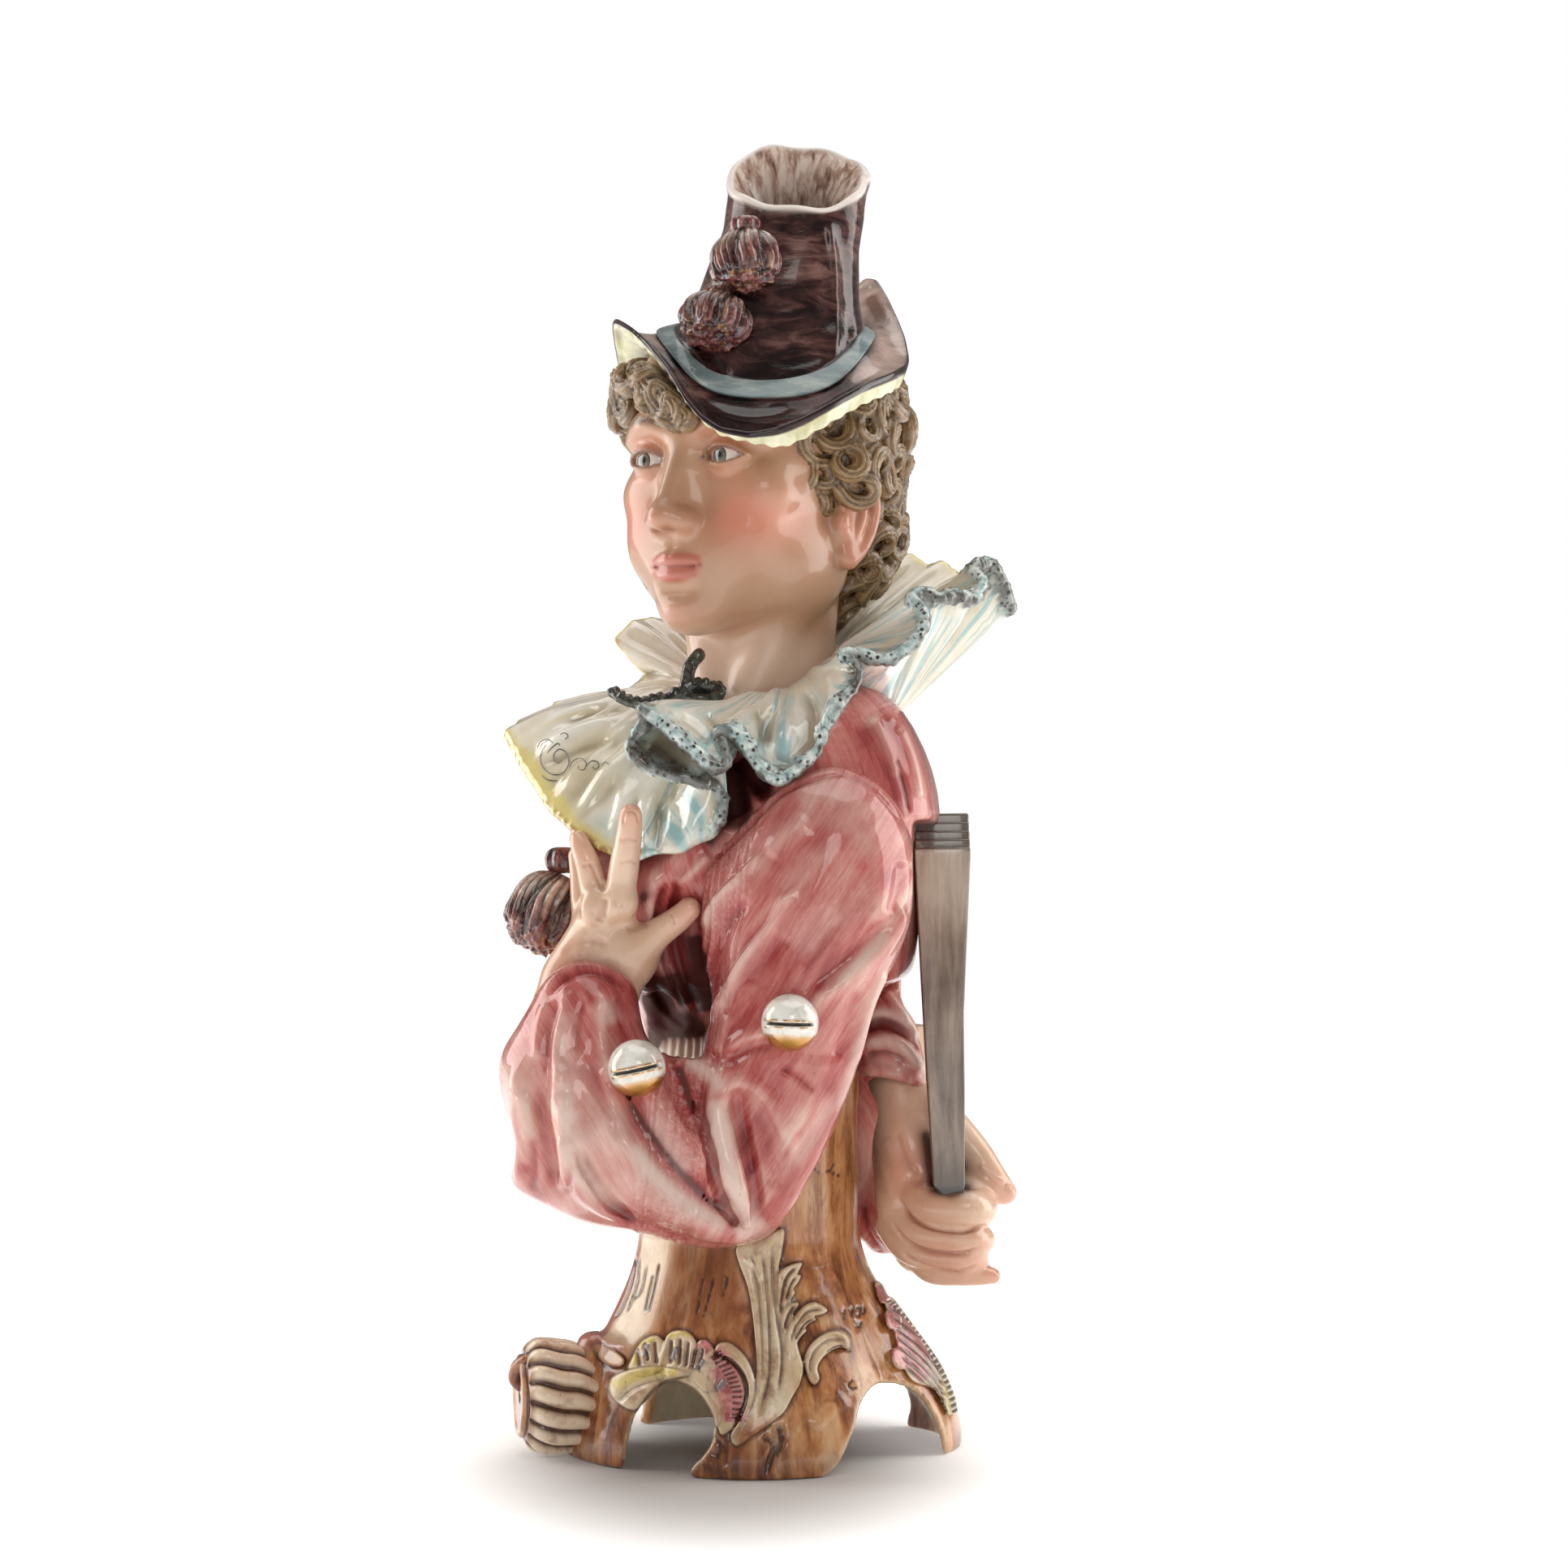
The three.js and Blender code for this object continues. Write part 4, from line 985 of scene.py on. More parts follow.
def buildJacket(material):
    # Trunk
    clay = Clay([-128, -112, 188], [92, 112, 442], 1.6)
    clay.loft(trunkRings, 1.0)
    clay.egg(figurePlace(66, 40, 320), [36, 52, 46], 30, figureTurn)
    clay.egg(figurePlace(66, -40, 320), [36, 52, 46], 30, figureTurn)
    clay.egg(figurePlace(-52, 42, 352), [40, 40, 52], 24, figureTurn)
    clay.egg(figurePlace(-52, -42, 352), [40, 40, 52], 24, figureTurn)
    clay.trim(np.array(backOutline, float), 4)
    clay.underSkirt(ringAt(ruff["root"], 360, 9), ringAt(picked(ruff["edge"]) + ruff["edgeFar"], 360, 9), 9, 8)
    clay.opening(np.array(clapperBed, float), -140, -9, 2)
    clay.egg(placeOf(836, 1206, -108), [20, 24, 40], 12, cut=True)
    clay.egg(placeOf(834, 1246, -114), [24, 26, 18], 10, cut=True)
    # The deep hollow above the cuff
    clay.egg(placeOf(812, 1254, -54), [10, 24, 14], 6, cut=True)
    form = clay.shape(3)
    waist(form)
    addPiece("jacket_trunk", form, material)

    # Near sleeve
    clay = Clay([-154, -150, 118], [66, -34, 394], 1.25)
    outline = smoothLine(nearSleeveOutline, 180, closed=True)
    clay.puffed(outline, -90, 40, 38, 4)
    clay.limb([[19, -70, 350, 30], [17, -84, 314, 47], [12, -92, 265, 45], [0, -98, 215, 42],
               [-16, -98, 176, 38]], 14)
    clay.limb([[-10, -98, 166, 38], [-50, -99, 170, 47], [-86, -96, 184, 46], [-104, -90, 214, 36],
               [-104, -86, 244, 30], [-98, -82, 262, 22]], 10)
    # The valley between the upper and lower sleeve, and the mouth of the cuff
    clay.limb([[-52, -142, 236, 12], [-38, -146, 204, 14], [-22, -150, 168, 12], [-12, -152, 142, 8]], 14, cut=True)
    clay.egg([-97, -86, 272], [15, 15, 20], 4, cut=True)
    for line, radius, rise, blend in sleeveFolds:
        clay.fold(line, radius, rise, blend)
    clay.trim(outline, 2.5)
    form = clay.shape(3)
    drapeNear(form)
    addPiece("jacket_near_sleeve", form, material)

    # Far sleeve: down the far side, then forward behind the back, with a wide hanging cuff round the wrist
    clay = Clay([-30, -26, 92], [112, 146, 392], 1.6)
    clay.limb([[14, 70, 350, 30], [17, 84, 306, 47], [22, 92, 255, 44], [28, 96, 205, 42], [32, 96, 172, 40]], 8)
    clay.limb([[28, 96, 168, 40], [46, 74, 168, 46], [60, 52, 170, 50], [64, 36, 172, 46]], 10)
    clay.egg([58, 46, 142], [38, 34, 44], 14)
    clay.egg([54, 44, 214], [34, 36, 34], 14)
    clay.egg([84, 14, 166], [36, 26, 62], 6, cut=True)
    # The cuff's turned edge and the two bulging folds over it, round the wrist
    for radius, band in (
            (9, [(30, 62, 232), (34, 30, 226), (46, 4, 220), (60, -6, 217), (74, -2, 212), (80, 18, 206), (80, 58, 204)]),
            (4.5, [(32, 58, 218), (36, 26, 210), (46, 0, 205), (58, -10, 204), (71, -6, 200), (79, 14, 196), (80, 54, 198)]),
            (10, [(26, 60, 250), (32, 32, 244), (44, 10, 240), (60, 0, 236), (74, 4, 230), (82, 22, 222), (82, 58, 218)]),
            (11, [(20, 66, 268), (30, 40, 266), (44, 22, 260), (60, 16, 252), (74, 20, 244), (82, 36, 236)])):
        clay.limb([[*spot, radius] for spot in band], 5)
    clay.trim(smoothLine(farSleeveOutline, 120, closed=True), 3)
    form = clay.shape(3)
    drapeFar(form)
    addPiece("jacket_far_sleeve", form, material)


farSleeveOutline = [(930, 880), (1020, 900), (1080, 980), (1110, 1080), (1112, 1180), (1112, 1232), (1126, 1258),
                    (1136, 1290), (1142, 1330), (1140, 1380), (1130, 1440), (1126, 1500), (1118, 1550),
                    (1100, 1560), (1076, 1548), (1058, 1528), (1020, 1540), (930, 1500), (880, 1300), (880, 1000)]


def waist(form):
    # Creases of the waist: grooves painted darker with pooled glaze and painted shade, ridges paler with thin glaze and
    # painted highlight
    for line, width, height in (
            ([(1100, 930), (1115, 970), (1121, 1004)], 2.4, -1.2),
            ([(1070, 880), (1092, 920), (1106, 960)], 7, 1.4),
            ([(1108, 890), (1128, 940), (1136, 990)], 6, 1.3),
            ([(812, 1060), (800, 1120), (812, 1180), (838, 1240)], 8, 2.5),
            ([(846, 1060), (832, 1110), (832, 1170), (850, 1230), (864, 1262)], 6, -2.5),
            ([(826, 1080), (812, 1130), (822, 1190), (848, 1250)], 4, -2.2),
            ([(790, 1190), (806, 1230), (836, 1262), (862, 1270)], 7, 2.0),
            ([(800, 1200), (818, 1242), (846, 1268)], 4, -2.0),
            ([(822, 1180), (836, 1214), (852, 1246)], 3.4, 2.0),
            ([(796, 1258), (820, 1272), (850, 1276), (868, 1272)], 5, 1.6),
            ([(830, 1090), (850, 1076), (876, 1052)], 7, 2.0),
            ([(864, 1118), (858, 1160), (864, 1200)], 4, -1.6)):
        stroke(form, line, width * 1.15, height, "round", "poolAndShade" if height < 0 else "ridge", 0.7)
    for line, width, tone in (
            ([(834, 1130), (838, 1200), (846, 1240)], 24, 0.7), ([(796, 1196), (806, 1240), (820, 1266)], 18, 0.9),
            ([(806, 1262), (840, 1270), (872, 1268)], 15, 1.2), ([(860, 1150), (868, 1210), (872, 1250)], 14, 1.0),
            ([(826, 1200), (836, 1236), (856, 1262)], 16, 0.55),
            ([(890, 944), (904, 972), (912, 1004)], 17, 1.5), ([(914, 934), (934, 962), (946, 976)], 14, 1.5),
            ([(960, 980), (990, 962)], 9, 0.8), ([(868, 1044), (892, 1016), (904, 990)], 12, 1.0),
            ([(780, 1080), (800, 1110)], 12, 0.7), ([(786, 1100), (796, 1140)], 9, 0.7),
            ([(896, 950), (900, 980), (904, 1006)], 12, 1.6), ([(800, 1214), (814, 1250), (830, 1270)], 14, 1.0),
            ([(792, 1258), (804, 1296)], 13, 1.8), ([(1066, 890), (1090, 940), (1110, 990)], 26, 0.25)):
        stroke(form, line, width, 0, "round", "shade", tone, taper=0.05)
    form.masks["shade"] = form.spread(form.mask("shade"), 4)
    form.masks["shade"] *= 0.15 + 0.85 * smoothStep(778, 794, pictureOf(form.points)[:, 0])
    # Painted shade on the back of the trunk behind the near shoulder
    for line, width, tone in (([(1076, 890), (1104, 950), (1118, 1010)], 18, 1.0), ([(1040, 880), (1070, 920)], 14, 0.5)):
        stroke(form, line, width, 0, "round", "poolAndShade", tone, taper=0.05)
    for line in ([(806, 1286), (836, 1290), (870, 1288)], [(806, 1300), (836, 1304), (870, 1302)]):
        stroke(form, line, 10, 0, "round", "cream", 2.0, taper=0)
    # Pleats sunk in the cream band, darkened with pooled glaze and painted shade
    for x in (822, 832, 842, 852, 861):
        stroke(form, [(x, 1279), (x - 2, 1304)], 2, -1.5, "round", "poolAndShade", 0.35, taper=0.05)
    turn, reach, front, left = polar(form.points[:, 0], form.points[:, 1])
    z = form.points[:, 2]
    brushAlong(form, turn * 170 + z * 0.4, z * 2.2)
    # The far side and the back: soft hanging folds and a middle seam, with painted shade and pooled glaze in the fold
    # valleys and along the seam
    degrees = np.degrees(turn)
    back = smoothStep(-60, -100, degrees) + smoothStep(120, 150, degrees)
    fold = np.sin(degrees * 0.13 + z * 0.02 + 1.3 * np.sin(z * 0.02 + degrees * 0.02))
    form.push(1.7 * fold * back * smoothStep(400, 360, z) * smoothStep(250, 270, z))
    seam = np.exp(-((np.abs(degrees) - 178) / 1.3) ** 2) * smoothStep(255, 265, z) * smoothStep(410, 380, z)
    form.push(-1.0 * seam)
    form.mask("poolAndShade")[:] += 0.5 * np.clip(-fold, 0, 1) * back + seam
    form.masks["hollow"] = np.clip(form.hollow(14), -1.5, 2)


# Long soft folds and the brush's own marks, both along the cloth
def brushAlong(form, u, v):
    def along(across, length, seed):
        return softNoise(np.stack([u / across, v / length, 0 * u], 1), 1.0, seed)

    form.push(0.9 * along(38, 260, 1) + 0.15 * along(15, 120, 2))
    form.masks["brush"] = 0.5 * along(9, 70, 3) + 0.35 * along(4.5, 40, 4) + 0.35 * along(22, 60, 5)
    form.masks["weft"], form.masks["warp"] = u, v


# px line, radius, rise and blend in mm
sleeveFolds = [
    # the great folds of the elbow
    ([(756, 1334), (764, 1388), (784, 1426), (810, 1459), (841, 1488), (876, 1510), (908, 1522)], 9, 4.5, 8),
    ([(802, 1350), (818, 1390), (838, 1426), (856, 1450)], 10, 2.5, 10),
    ([(882, 1350), (886, 1384), (893, 1425), (904, 1466), (918, 1508)], 8, 7.0, 5),
    ([(838, 1308), (862, 1315), (884, 1330), (897, 1350)], 6.5, 4.0, 6),
    ([(896, 1322), (920, 1342), (942, 1364), (958, 1384), (970, 1402)], 5.5, 2.0, 7),
    ([(766, 1336), (782, 1369), (806, 1404), (831, 1436), (853, 1460), (876, 1482), (904, 1503)], 9, -4.0, 9),
    ([(768, 1338), (784, 1371), (808, 1406), (833, 1437), (855, 1461), (878, 1483), (906, 1505)], 2.4, -7.5, 4),
    ([(829, 1306), (840, 1331), (847, 1354), (854, 1382)], 6.5, -3.0, 6),
    ([(831, 1308), (842, 1331), (849, 1354), (854, 1378)], 2.2, -7.5, 3),
    ([(862, 1344), (864, 1372), (869, 1404), (878, 1440), (889, 1472), (903, 1502)], 3.0, -6.0, 4),
    ([(907, 1348), (916, 1393), (925, 1436), (931, 1470), (934, 1504)], 3.2, -6.0, 5),
    ([(918, 1356), (936, 1380), (948, 1412), (956, 1452)], 5, -2.6, 9),
    # the sweep down from the shoulder and the fold at the back of the elbow
    ([(1110, 1132), (1086, 1162), (1062, 1184), (1036, 1206), (1012, 1222)], 6, 3.0, 8),
    ([(1090, 1142), (1066, 1164), (1042, 1184), (1018, 1204), (994, 1222)], 4, -3.4, 7),
    ([(902, 1292), (920, 1281), (940, 1276)], 3.6, 2.4, 5),
    ([(904, 1302), (924, 1291), (948, 1286)], 2.6, -2.4, 5),
    # the forearm's hanging folds
    ([(694, 1330), (697, 1390), (710, 1436), (732, 1468), (756, 1490)], 7, 3.0, 9),
    ([(714, 1424), (732, 1460), (754, 1488), (786, 1510)], 3.6, -3.2, 6),
    ([(640, 1330), (648, 1385), (644, 1440)], 6, 2.0, 9), ([(668, 1320), (666, 1372), (678, 1420), (684, 1466)], 4, -2.4, 8)]


def drapeNear(form):
    flat = pictureOf(form.points)
    px, py = flat.T
    lean = smoothStep(820, 910, px + (py - 1200) * 0.15)
    curve = (px - 900) * 0.25
    brushAlong(form, mix(px * 0.87 - py * 0.5, px * 0.84 + py * 0.54 + 300, lean),
               mix(px * 0.5 + py * 0.87 + curve, py * 0.84 - px * 0.54, lean))
    for line, width, height, kind in (
            # the forearm's hanging folds
            ([(700, 1340), (696, 1390), (706, 1436), (725, 1461), (745, 1483)], 8, 2.8, "round"),
            ([(712, 1420), (730, 1456), (752, 1486), (784, 1508)], 5, -2.6, "round"),
            ([(706, 1430), (702, 1452), (699, 1474)], 4, -1.8, "round"),
            ([(690, 1400), (694, 1440), (690, 1470)], 5, 1.6, "round"),
            ([(668, 1330), (664, 1372), (676, 1420), (684, 1462)], 6, -1.6, "round"),
            ([(642, 1340), (650, 1390), (646, 1440)], 7, 1.8, "round"),
            ([(654, 1400), (660, 1440), (656, 1468)], 4, -1.4, "round"),
            ([(745, 1480), (780, 1500), (820, 1518), (860, 1526)], 6, -1.4, "round"),
            ([(760, 1440), (800, 1478), (850, 1510)], 10, 1.6, "round"),
            # round the cuff
            ([(674, 1232), (664, 1266), (662, 1310)], 6, 1.6, "round"),
            ([(702, 1214), (690, 1260), (686, 1306), (692, 1350)], 7, 1.9, "round"),
            ([(690, 1230), (676, 1276), (672, 1322)], 4, -1.6, "round"),
            ([(722, 1226), (712, 1262), (708, 1300)], 5, -1.5, "round"),
            ([(744, 1214), (740, 1256), (744, 1300), (752, 1336)], 8, 2.2, "round"),
            ([(762, 1226), (766, 1256), (778, 1284)], 5, -1.4, "round"),
            ([(722, 1300), (734, 1340), (752, 1372), (764, 1410)], 7, -1.4, "round"),
            ([(666, 1224), (690, 1200), (712, 1191), (736, 1191), (764, 1204), (780, 1220)], 3.0, 1.6, "round"),
            ([(672, 1232), (694, 1210), (714, 1201), (736, 1201), (760, 1212), (774, 1228)], 3.0, -1.2, "round"),
            # upper sleeve
            ([(862, 1082), (884, 1056), (906, 1034), (931, 1008), (958, 981), (988, 965), (1017, 955), (1041, 953),
              (1068, 965), (1090, 984), (1111, 1013), (1119, 1037)], 2.4, -2.0, "round"),
            ([(874, 1262), (881, 1243), (894, 1217), (913, 1184), (931, 1160), (948, 1139), (961, 1112),
              (984, 1090)], 9, 3.6, "lip"),
            ([(866, 1150), (870, 1126), (879, 1110), (890, 1098), (912, 1078), (940, 1048)], 8, 2.6, "lip"),
            ([(888, 1234), (884, 1198), (887, 1166), (900, 1134), (924, 1106)], 8, -2.8, "round"),
            ([(1112, 1060), (1106, 1100), (1096, 1130)], 9, -1.8, "round"),
            ([(1070, 1010), (1080, 1060), (1082, 1110), (1076, 1146)], 12, 1.6, "round"),
            ([(1096, 1190), (1078, 1232), (1064, 1270), (1048, 1320)], 6, 2.2, "round"),
            ([(1060, 1216), (1044, 1260), (1030, 1310)], 9, -1.8, "round"),
            ([(946, 1058), (968, 1030), (1000, 1010)], 10, 1.8, "round"),
            ([(960, 1312), (984, 1326), (1006, 1346)], 4, -1.6, "round"),
            ([(968, 1150), (944, 1186), (926, 1220)], 9, -1.4, "round"),
            ([(1016, 1300), (1000, 1350), (980, 1400)], 12, 1.6, "round"),
            ([(900, 1250), (890, 1276), (882, 1300)], 7, 1.6, "round")):
        stroke(form, line, width * 1.15, height, kind)
        # Grooves are painted darker with pooled glaze and painted shade, ridges paler with thin glaze and painted
        # highlight
        tone = min(abs(height) / 4.0, 1.5)
        stroke(form, line, width * (1.1 if height < 0 else 0.8), 0, kind, "poolAndShade" if height < 0 else "ridge", tone)
    form.relax(2)
    # The great folds are painted the same way: painted highlight on the ridges, pooled glaze and painted shade in the
    # valleys
    for line, radius, rise, _ in sleeveFolds:
        if rise > 0:
            stroke(form, line, radius * 1.9, 0, "round", "ridge", min(rise / 4.0, 1.3))
        else:
            stroke(form, line, radius * 1.7, 0, "round", "poolAndShade", min(-rise / 7.0, 0.8))
    for line in (sleeveFolds[6][0], sleeveFolds[8][0]):
        stroke(form, line, 2.4, 0, "round", "poolAndShade", 2.2, taper=0.2)
    # Broad painted shade and pooled glaze in the valleys
    for line, width in (([(1100, 1010), (1106, 1050), (1100, 1096)], 14), ([(884, 1238), (880, 1200)], 10),
                        ([(1036, 1204), (1004, 1222)], 7), ([(866, 1270), (872, 1250)], 8),
                        ([(748, 1488), (790, 1510)], 8), ([(690, 1440), (700, 1478)], 9),
                        ([(936, 1150), (920, 1190), (900, 1240)], 10), ([(700, 1196), (740, 1196), (776, 1216)], 9),
                        ([(950, 1240), (1000, 1200), (1044, 1160)], 20), ([(1060, 1010), (1090, 1060), (1096, 1110)], 12),
                        ([(940, 1400), (946, 1440)], 9), ([(838, 1312), (850, 1350)], 6)):
        stroke(form, line, width, 0, "round", "poolAndShade", 0.45, taper=0.1)
    # Ridges painted paler as painted highlight
    for line, width in (([(700, 1360), (704, 1420), (730, 1456)], 12), ([(786, 1420), (830, 1470), (880, 1504)], 9),
                        ([(888, 1364), (896, 1420), (914, 1496)], 12), ([(904, 1516), (930, 1500)], 14),
                        ([(1100, 1150), (1050, 1196)], 8), ([(965, 1392), (975, 1420)], 9),
                        ([(742, 1240), (756, 1262)], 10), ([(618, 1320), (626, 1380)], 8),
                        ([(724, 1380), (750, 1424), (790, 1466)], 18)):
        stroke(form, line, width, 0, "round", "ridge", 0.7, taper=0.1)
    # Where the cream body shows through the wash, and painted light on the lit folds and the top of the shoulder
    for line, width, tone in (
            ([(776, 1402), (800, 1440), (830, 1470), (866, 1494), (902, 1512)], 8, 0.95),
            ([(892, 1378), (896, 1425), (908, 1470), (924, 1508)], 12, 0.8),
            ([(904, 1520), (926, 1516), (944, 1502)], 13, 0.8), ([(708, 1356), (716, 1420), (738, 1462), (776, 1492)], 13, 0.6),
            ([(1098, 1186), (1072, 1256), (1048, 1326), (1030, 1376)], 8, 0.75), ([(742, 1232), (756, 1262)], 12, 0.6),
            ([(1092, 1146), (1060, 1186), (1030, 1212)], 6, 0.6), ([(690, 1330), (700, 1390)], 12, 0.4),
            ([(868, 1150), (880, 1110), (914, 1078)], 6, 0.55), ([(880, 1258), (902, 1204), (940, 1150)], 5, 0.5),
            ([(1010, 1006), (1050, 1020), (1076, 1060)], 14, 0.35), ([(960, 1100), (1000, 1060), (1040, 1050)], 16, 0.3),
            ([(976, 1440), (1004, 1396), (1026, 1350)], 9, 0.6), ([(640, 1450), (680, 1470), (740, 1500)], 9, 0.3),
            ([(720, 1300), (730, 1360), (770, 1420)], 14, 0.35), ([(620, 1310), (628, 1370)], 8, 0.4),
            ([(700, 1240), (694, 1300), (704, 1370)], 16, 0.5), ([(650, 1290), (644, 1350), (656, 1410)], 14, 0.5),
            ([(672, 1420), (700, 1450), (740, 1486)], 16, 0.2), ([(880, 1352), (886, 1390), (892, 1420)], 10, 0.9),
            ([(846, 1306), (872, 1322), (890, 1344)], 7, 0.8), ([(800, 1370), (824, 1410), (850, 1446)], 9, 0.4),
            ([(980, 990), (1030, 978), (1080, 1010)], 15, 0.5), ([(920, 1080), (960, 1030), (1010, 1000)], 15, 0.3),
            ([(980, 1180), (1030, 1130), (1080, 1090)], 18, 0.3)):
        stroke(form, line, width, 0, "round", "pale", tone, taper=0.12)
    for key in ("poolAndShade", "ridge", "pale"):
        form.masks[key] = form.spread(form.mask(key), 4)
    # The hidden side keeps long soft folds
    z, y = form.points[:, 2], form.points[:, 1]
    far = smoothStep(-100, -70, y)
    form.push(0.9 * far * np.sin(form.points[:, 0] * 0.16 + z * 0.09))
    form.masks["hollow"] = np.clip(form.hollow(14), -1.5, 2)


def drapeFar(form):
    x, y, z = form.points.T
    brushAlong(form, (x + y * 0.6) * 2.2 + z * 0.5, z * 2.2)
    # The cuff's folds: grooves darker with pooled glaze and painted shade, ridges paler with thin glaze and painted
    # highlight
    for line, width, height in (
            ([(1060, 1256), (1086, 1246), (1112, 1256), (1132, 1284)], 7, 2.6),
            ([(1060, 1272), (1088, 1262), (1116, 1276), (1134, 1304)], 5, -2.4),
            ([(1062, 1288), (1090, 1280), (1118, 1294), (1136, 1322)], 7, 2.6),
            ([(1064, 1302), (1090, 1298), (1118, 1310)], 4, -2.0),
            ([(1090, 1220), (1106, 1240), (1120, 1262)], 5, 1.8),
            ([(1062, 1480), (1070, 1520), (1092, 1548)], 5, -1.6)):
        stroke(form, line, width, height, "round", "poolAndShade" if height < 0 else "ridge", 0.9)
    # The lit folds of the cuff are painted pale as painted light
    for line, width in (([(1066, 1258), (1092, 1250), (1118, 1266), (1136, 1292)], 8),
                        ([(1066, 1290), (1092, 1284), (1120, 1300), (1138, 1326)], 9),
                        ([(1064, 1310), (1090, 1308), (1120, 1322)], 9)):
        stroke(form, line, width, 0, "round", "pale", 0.7)
    x, y, z = form.points.T
    fold = np.sin(x * 0.11 + z * 0.055 + 2 * np.sin(z * 0.021 + y * 0.03))
    far = smoothStep(60, 90, y)
    form.push(1.8 * fold * far)
    # Painted shade and pooled glaze in the valleys of the hidden folds
    form.mask("poolAndShade")[:] += 0.5 * np.clip(-fold, 0, 1) * far
    form.masks["hollow"] = np.clip(form.hollow(14), -1.5, 2)


bells = dict(radius=14.6, spots=[(-74.0, -137.0, 216.0), (3.0, -138.0, 239.0)], tilt=(-12, 2))


# Round bells with a slot across and a rolled rim at the slot
def buildBells(material):
    for k, (spot, tilt) in enumerate(zip(bells["spots"], bells["tilt"])):
        rows, columns = 90, 120
        b = np.linspace(0, math.pi, rows)[:, None]
        a = np.linspace(0, 2 * math.pi, columns, endpoint=False)[None, :]
        direction = np.stack([np.sin(b) * np.cos(a), np.cos(b) + 0 * a, np.sin(b) * np.sin(a)], -1)
        direction[..., 1] *= -1
        slot = np.exp(-(direction[..., 2] / 0.055) ** 4) * smoothStep(0.86, 0.74, np.abs(direction[..., 0]))
        slot *= direction[..., 1] < 0.2
        rim = np.exp(-((np.abs(direction[..., 2]) - 0.12) / 0.045) ** 2) * smoothStep(0.95, 0.8, np.abs(direction[..., 0]))
        radius = bells["radius"] * (1 - 0.14 * slot + 0.02 * rim)
        points = direction * radius[..., None]
        c, s = math.cos(math.radians(tilt)), math.sin(math.radians(tilt))
        points = np.stack([points[..., 0] * c + points[..., 2] * s, points[..., 1],
                           points[..., 2] * c - points[..., 0] * s], -1)
        form = Form(points.reshape(-1, 3) + np.array(spot), gridQuads(rows, columns, True))
        form.masks["slot"] = np.clip(slot * 1.4, 0, 1).reshape(-1)
        form.masks["rim"] = rim.reshape(-1)
        form.masks["low"] = smoothStep(-0.14, -0.62, direction[..., 2]).reshape(-1)
        addPiece("bell_" + ("front", "back")[k], closeEnds(form, rows, columns), material)


# Rings round a hat or collar: each row is a turn in degrees and a place in mm
def ringAt(table, count, soft):
    table = sorted((row[0] % 360, *row[1:]) for row in table)
    turns = np.array([row[0] for row in table], float)
    values = np.array([row[1:] for row in table], float)
    turns = np.concatenate([turns - 360, turns, turns + 360])
    values = np.concatenate([values, values, values])
    at = np.arange(count) * 360.0 / count
    ring = np.stack([np.interp(at, turns, column) for column in values.T], 1)
    size = max(int(soft * count / 360), 1)
    kernel = np.exp(-(np.arange(-3 * size, 3 * size + 1) / size) ** 2 / 2)
    kernel /= kernel.sum()
    wrapped = np.concatenate([ring[-3 * size:], ring, ring[:3 * size]])
    return np.stack([np.convolve(column, kernel, "valid") for column in wrapped.T], 1)


def circleRing(middle, radii, lift, count, corner=0.0, cornerTurn=0.0):
    a = np.arange(count) * 2 * math.pi / count
    swell = 1 + corner * np.exp(-((np.degrees(a) - cornerTurn) / 16) ** 2)
    return np.stack([middle[0] + radii[0] * swell * np.cos(a), middle[1] + radii[1] * swell * np.sin(a),
                     middle[2] + lift * np.sin(a)], 1)


def picked(rows):
    return [(turn, *placeOf(px, py, y)) for turn, px, py, y in rows]


# Hat: one closed skin from the bottom of the funnel over the lip, down the crown, out to the brim and back
hat = dict(
    bandTop=[(180, -61, -14, 606), (205, -56, -40, 594), (230, -42, -57, 578), (250, -27, -65, 571.5),
             (270, -9, -69, 569.5), (295, 14, -67, 573), (315, 29, -57, 582), (340, 41, -36, 599),
             (0, 44, -10, 607), (45, 35, 26, 613), (90, -4, 44, 619), (135, -44, 24, 616)],
    bandFoot=[(180, -70, -14, 603), (205, -59, -45, 586), (230, -48, -63, 571), (250, -36, -73, 562.5),
              (270, -18, -78, 559.5), (295, 9, -77, 560.5), (315, 26, -70, 567), (340, 41, -50, 584),
              (0, 49, -20, 600), (45, 44, 24, 610), (90, -4, 54, 617), (135, -52, 32, 614)],
    edge=[(151, 790, 478, 52), (160, 774, 466, 40), (167, 766, 452, 28), (173, 761, 424, 14), (179, 757, 398, 2),
          (184, 760, 393, -12), (192, 781, 405, -36), (203, 803, 427, -60), (212, 822, 450, -74),
          (222, 834, 470, -85), (232, 846, 490, -93), (243, 865, 513, -100), (254, 888, 528, -104),
          (266, 922, 535, -107), (278, 957, 529, -105), (290, 990, 516, -101), (303, 1028, 494, -93),
          (318, 1064, 474, -79), (335, 1100, 460, -56), (348, 1114, 452, -38), (358, 1117, 442, -20),
          (10, 1112, 415, 0), (22, 1103, 392, 18), (34, 1091, 366, 38), (44, 1079, 346, 54), (54, 1064, 344, 68)],
    edgeFar=[(70, 30, 84, 628), (90, 4, 92, 600), (110, -22, 88, 578), (130, -46, 74, 566)],
    around=360)


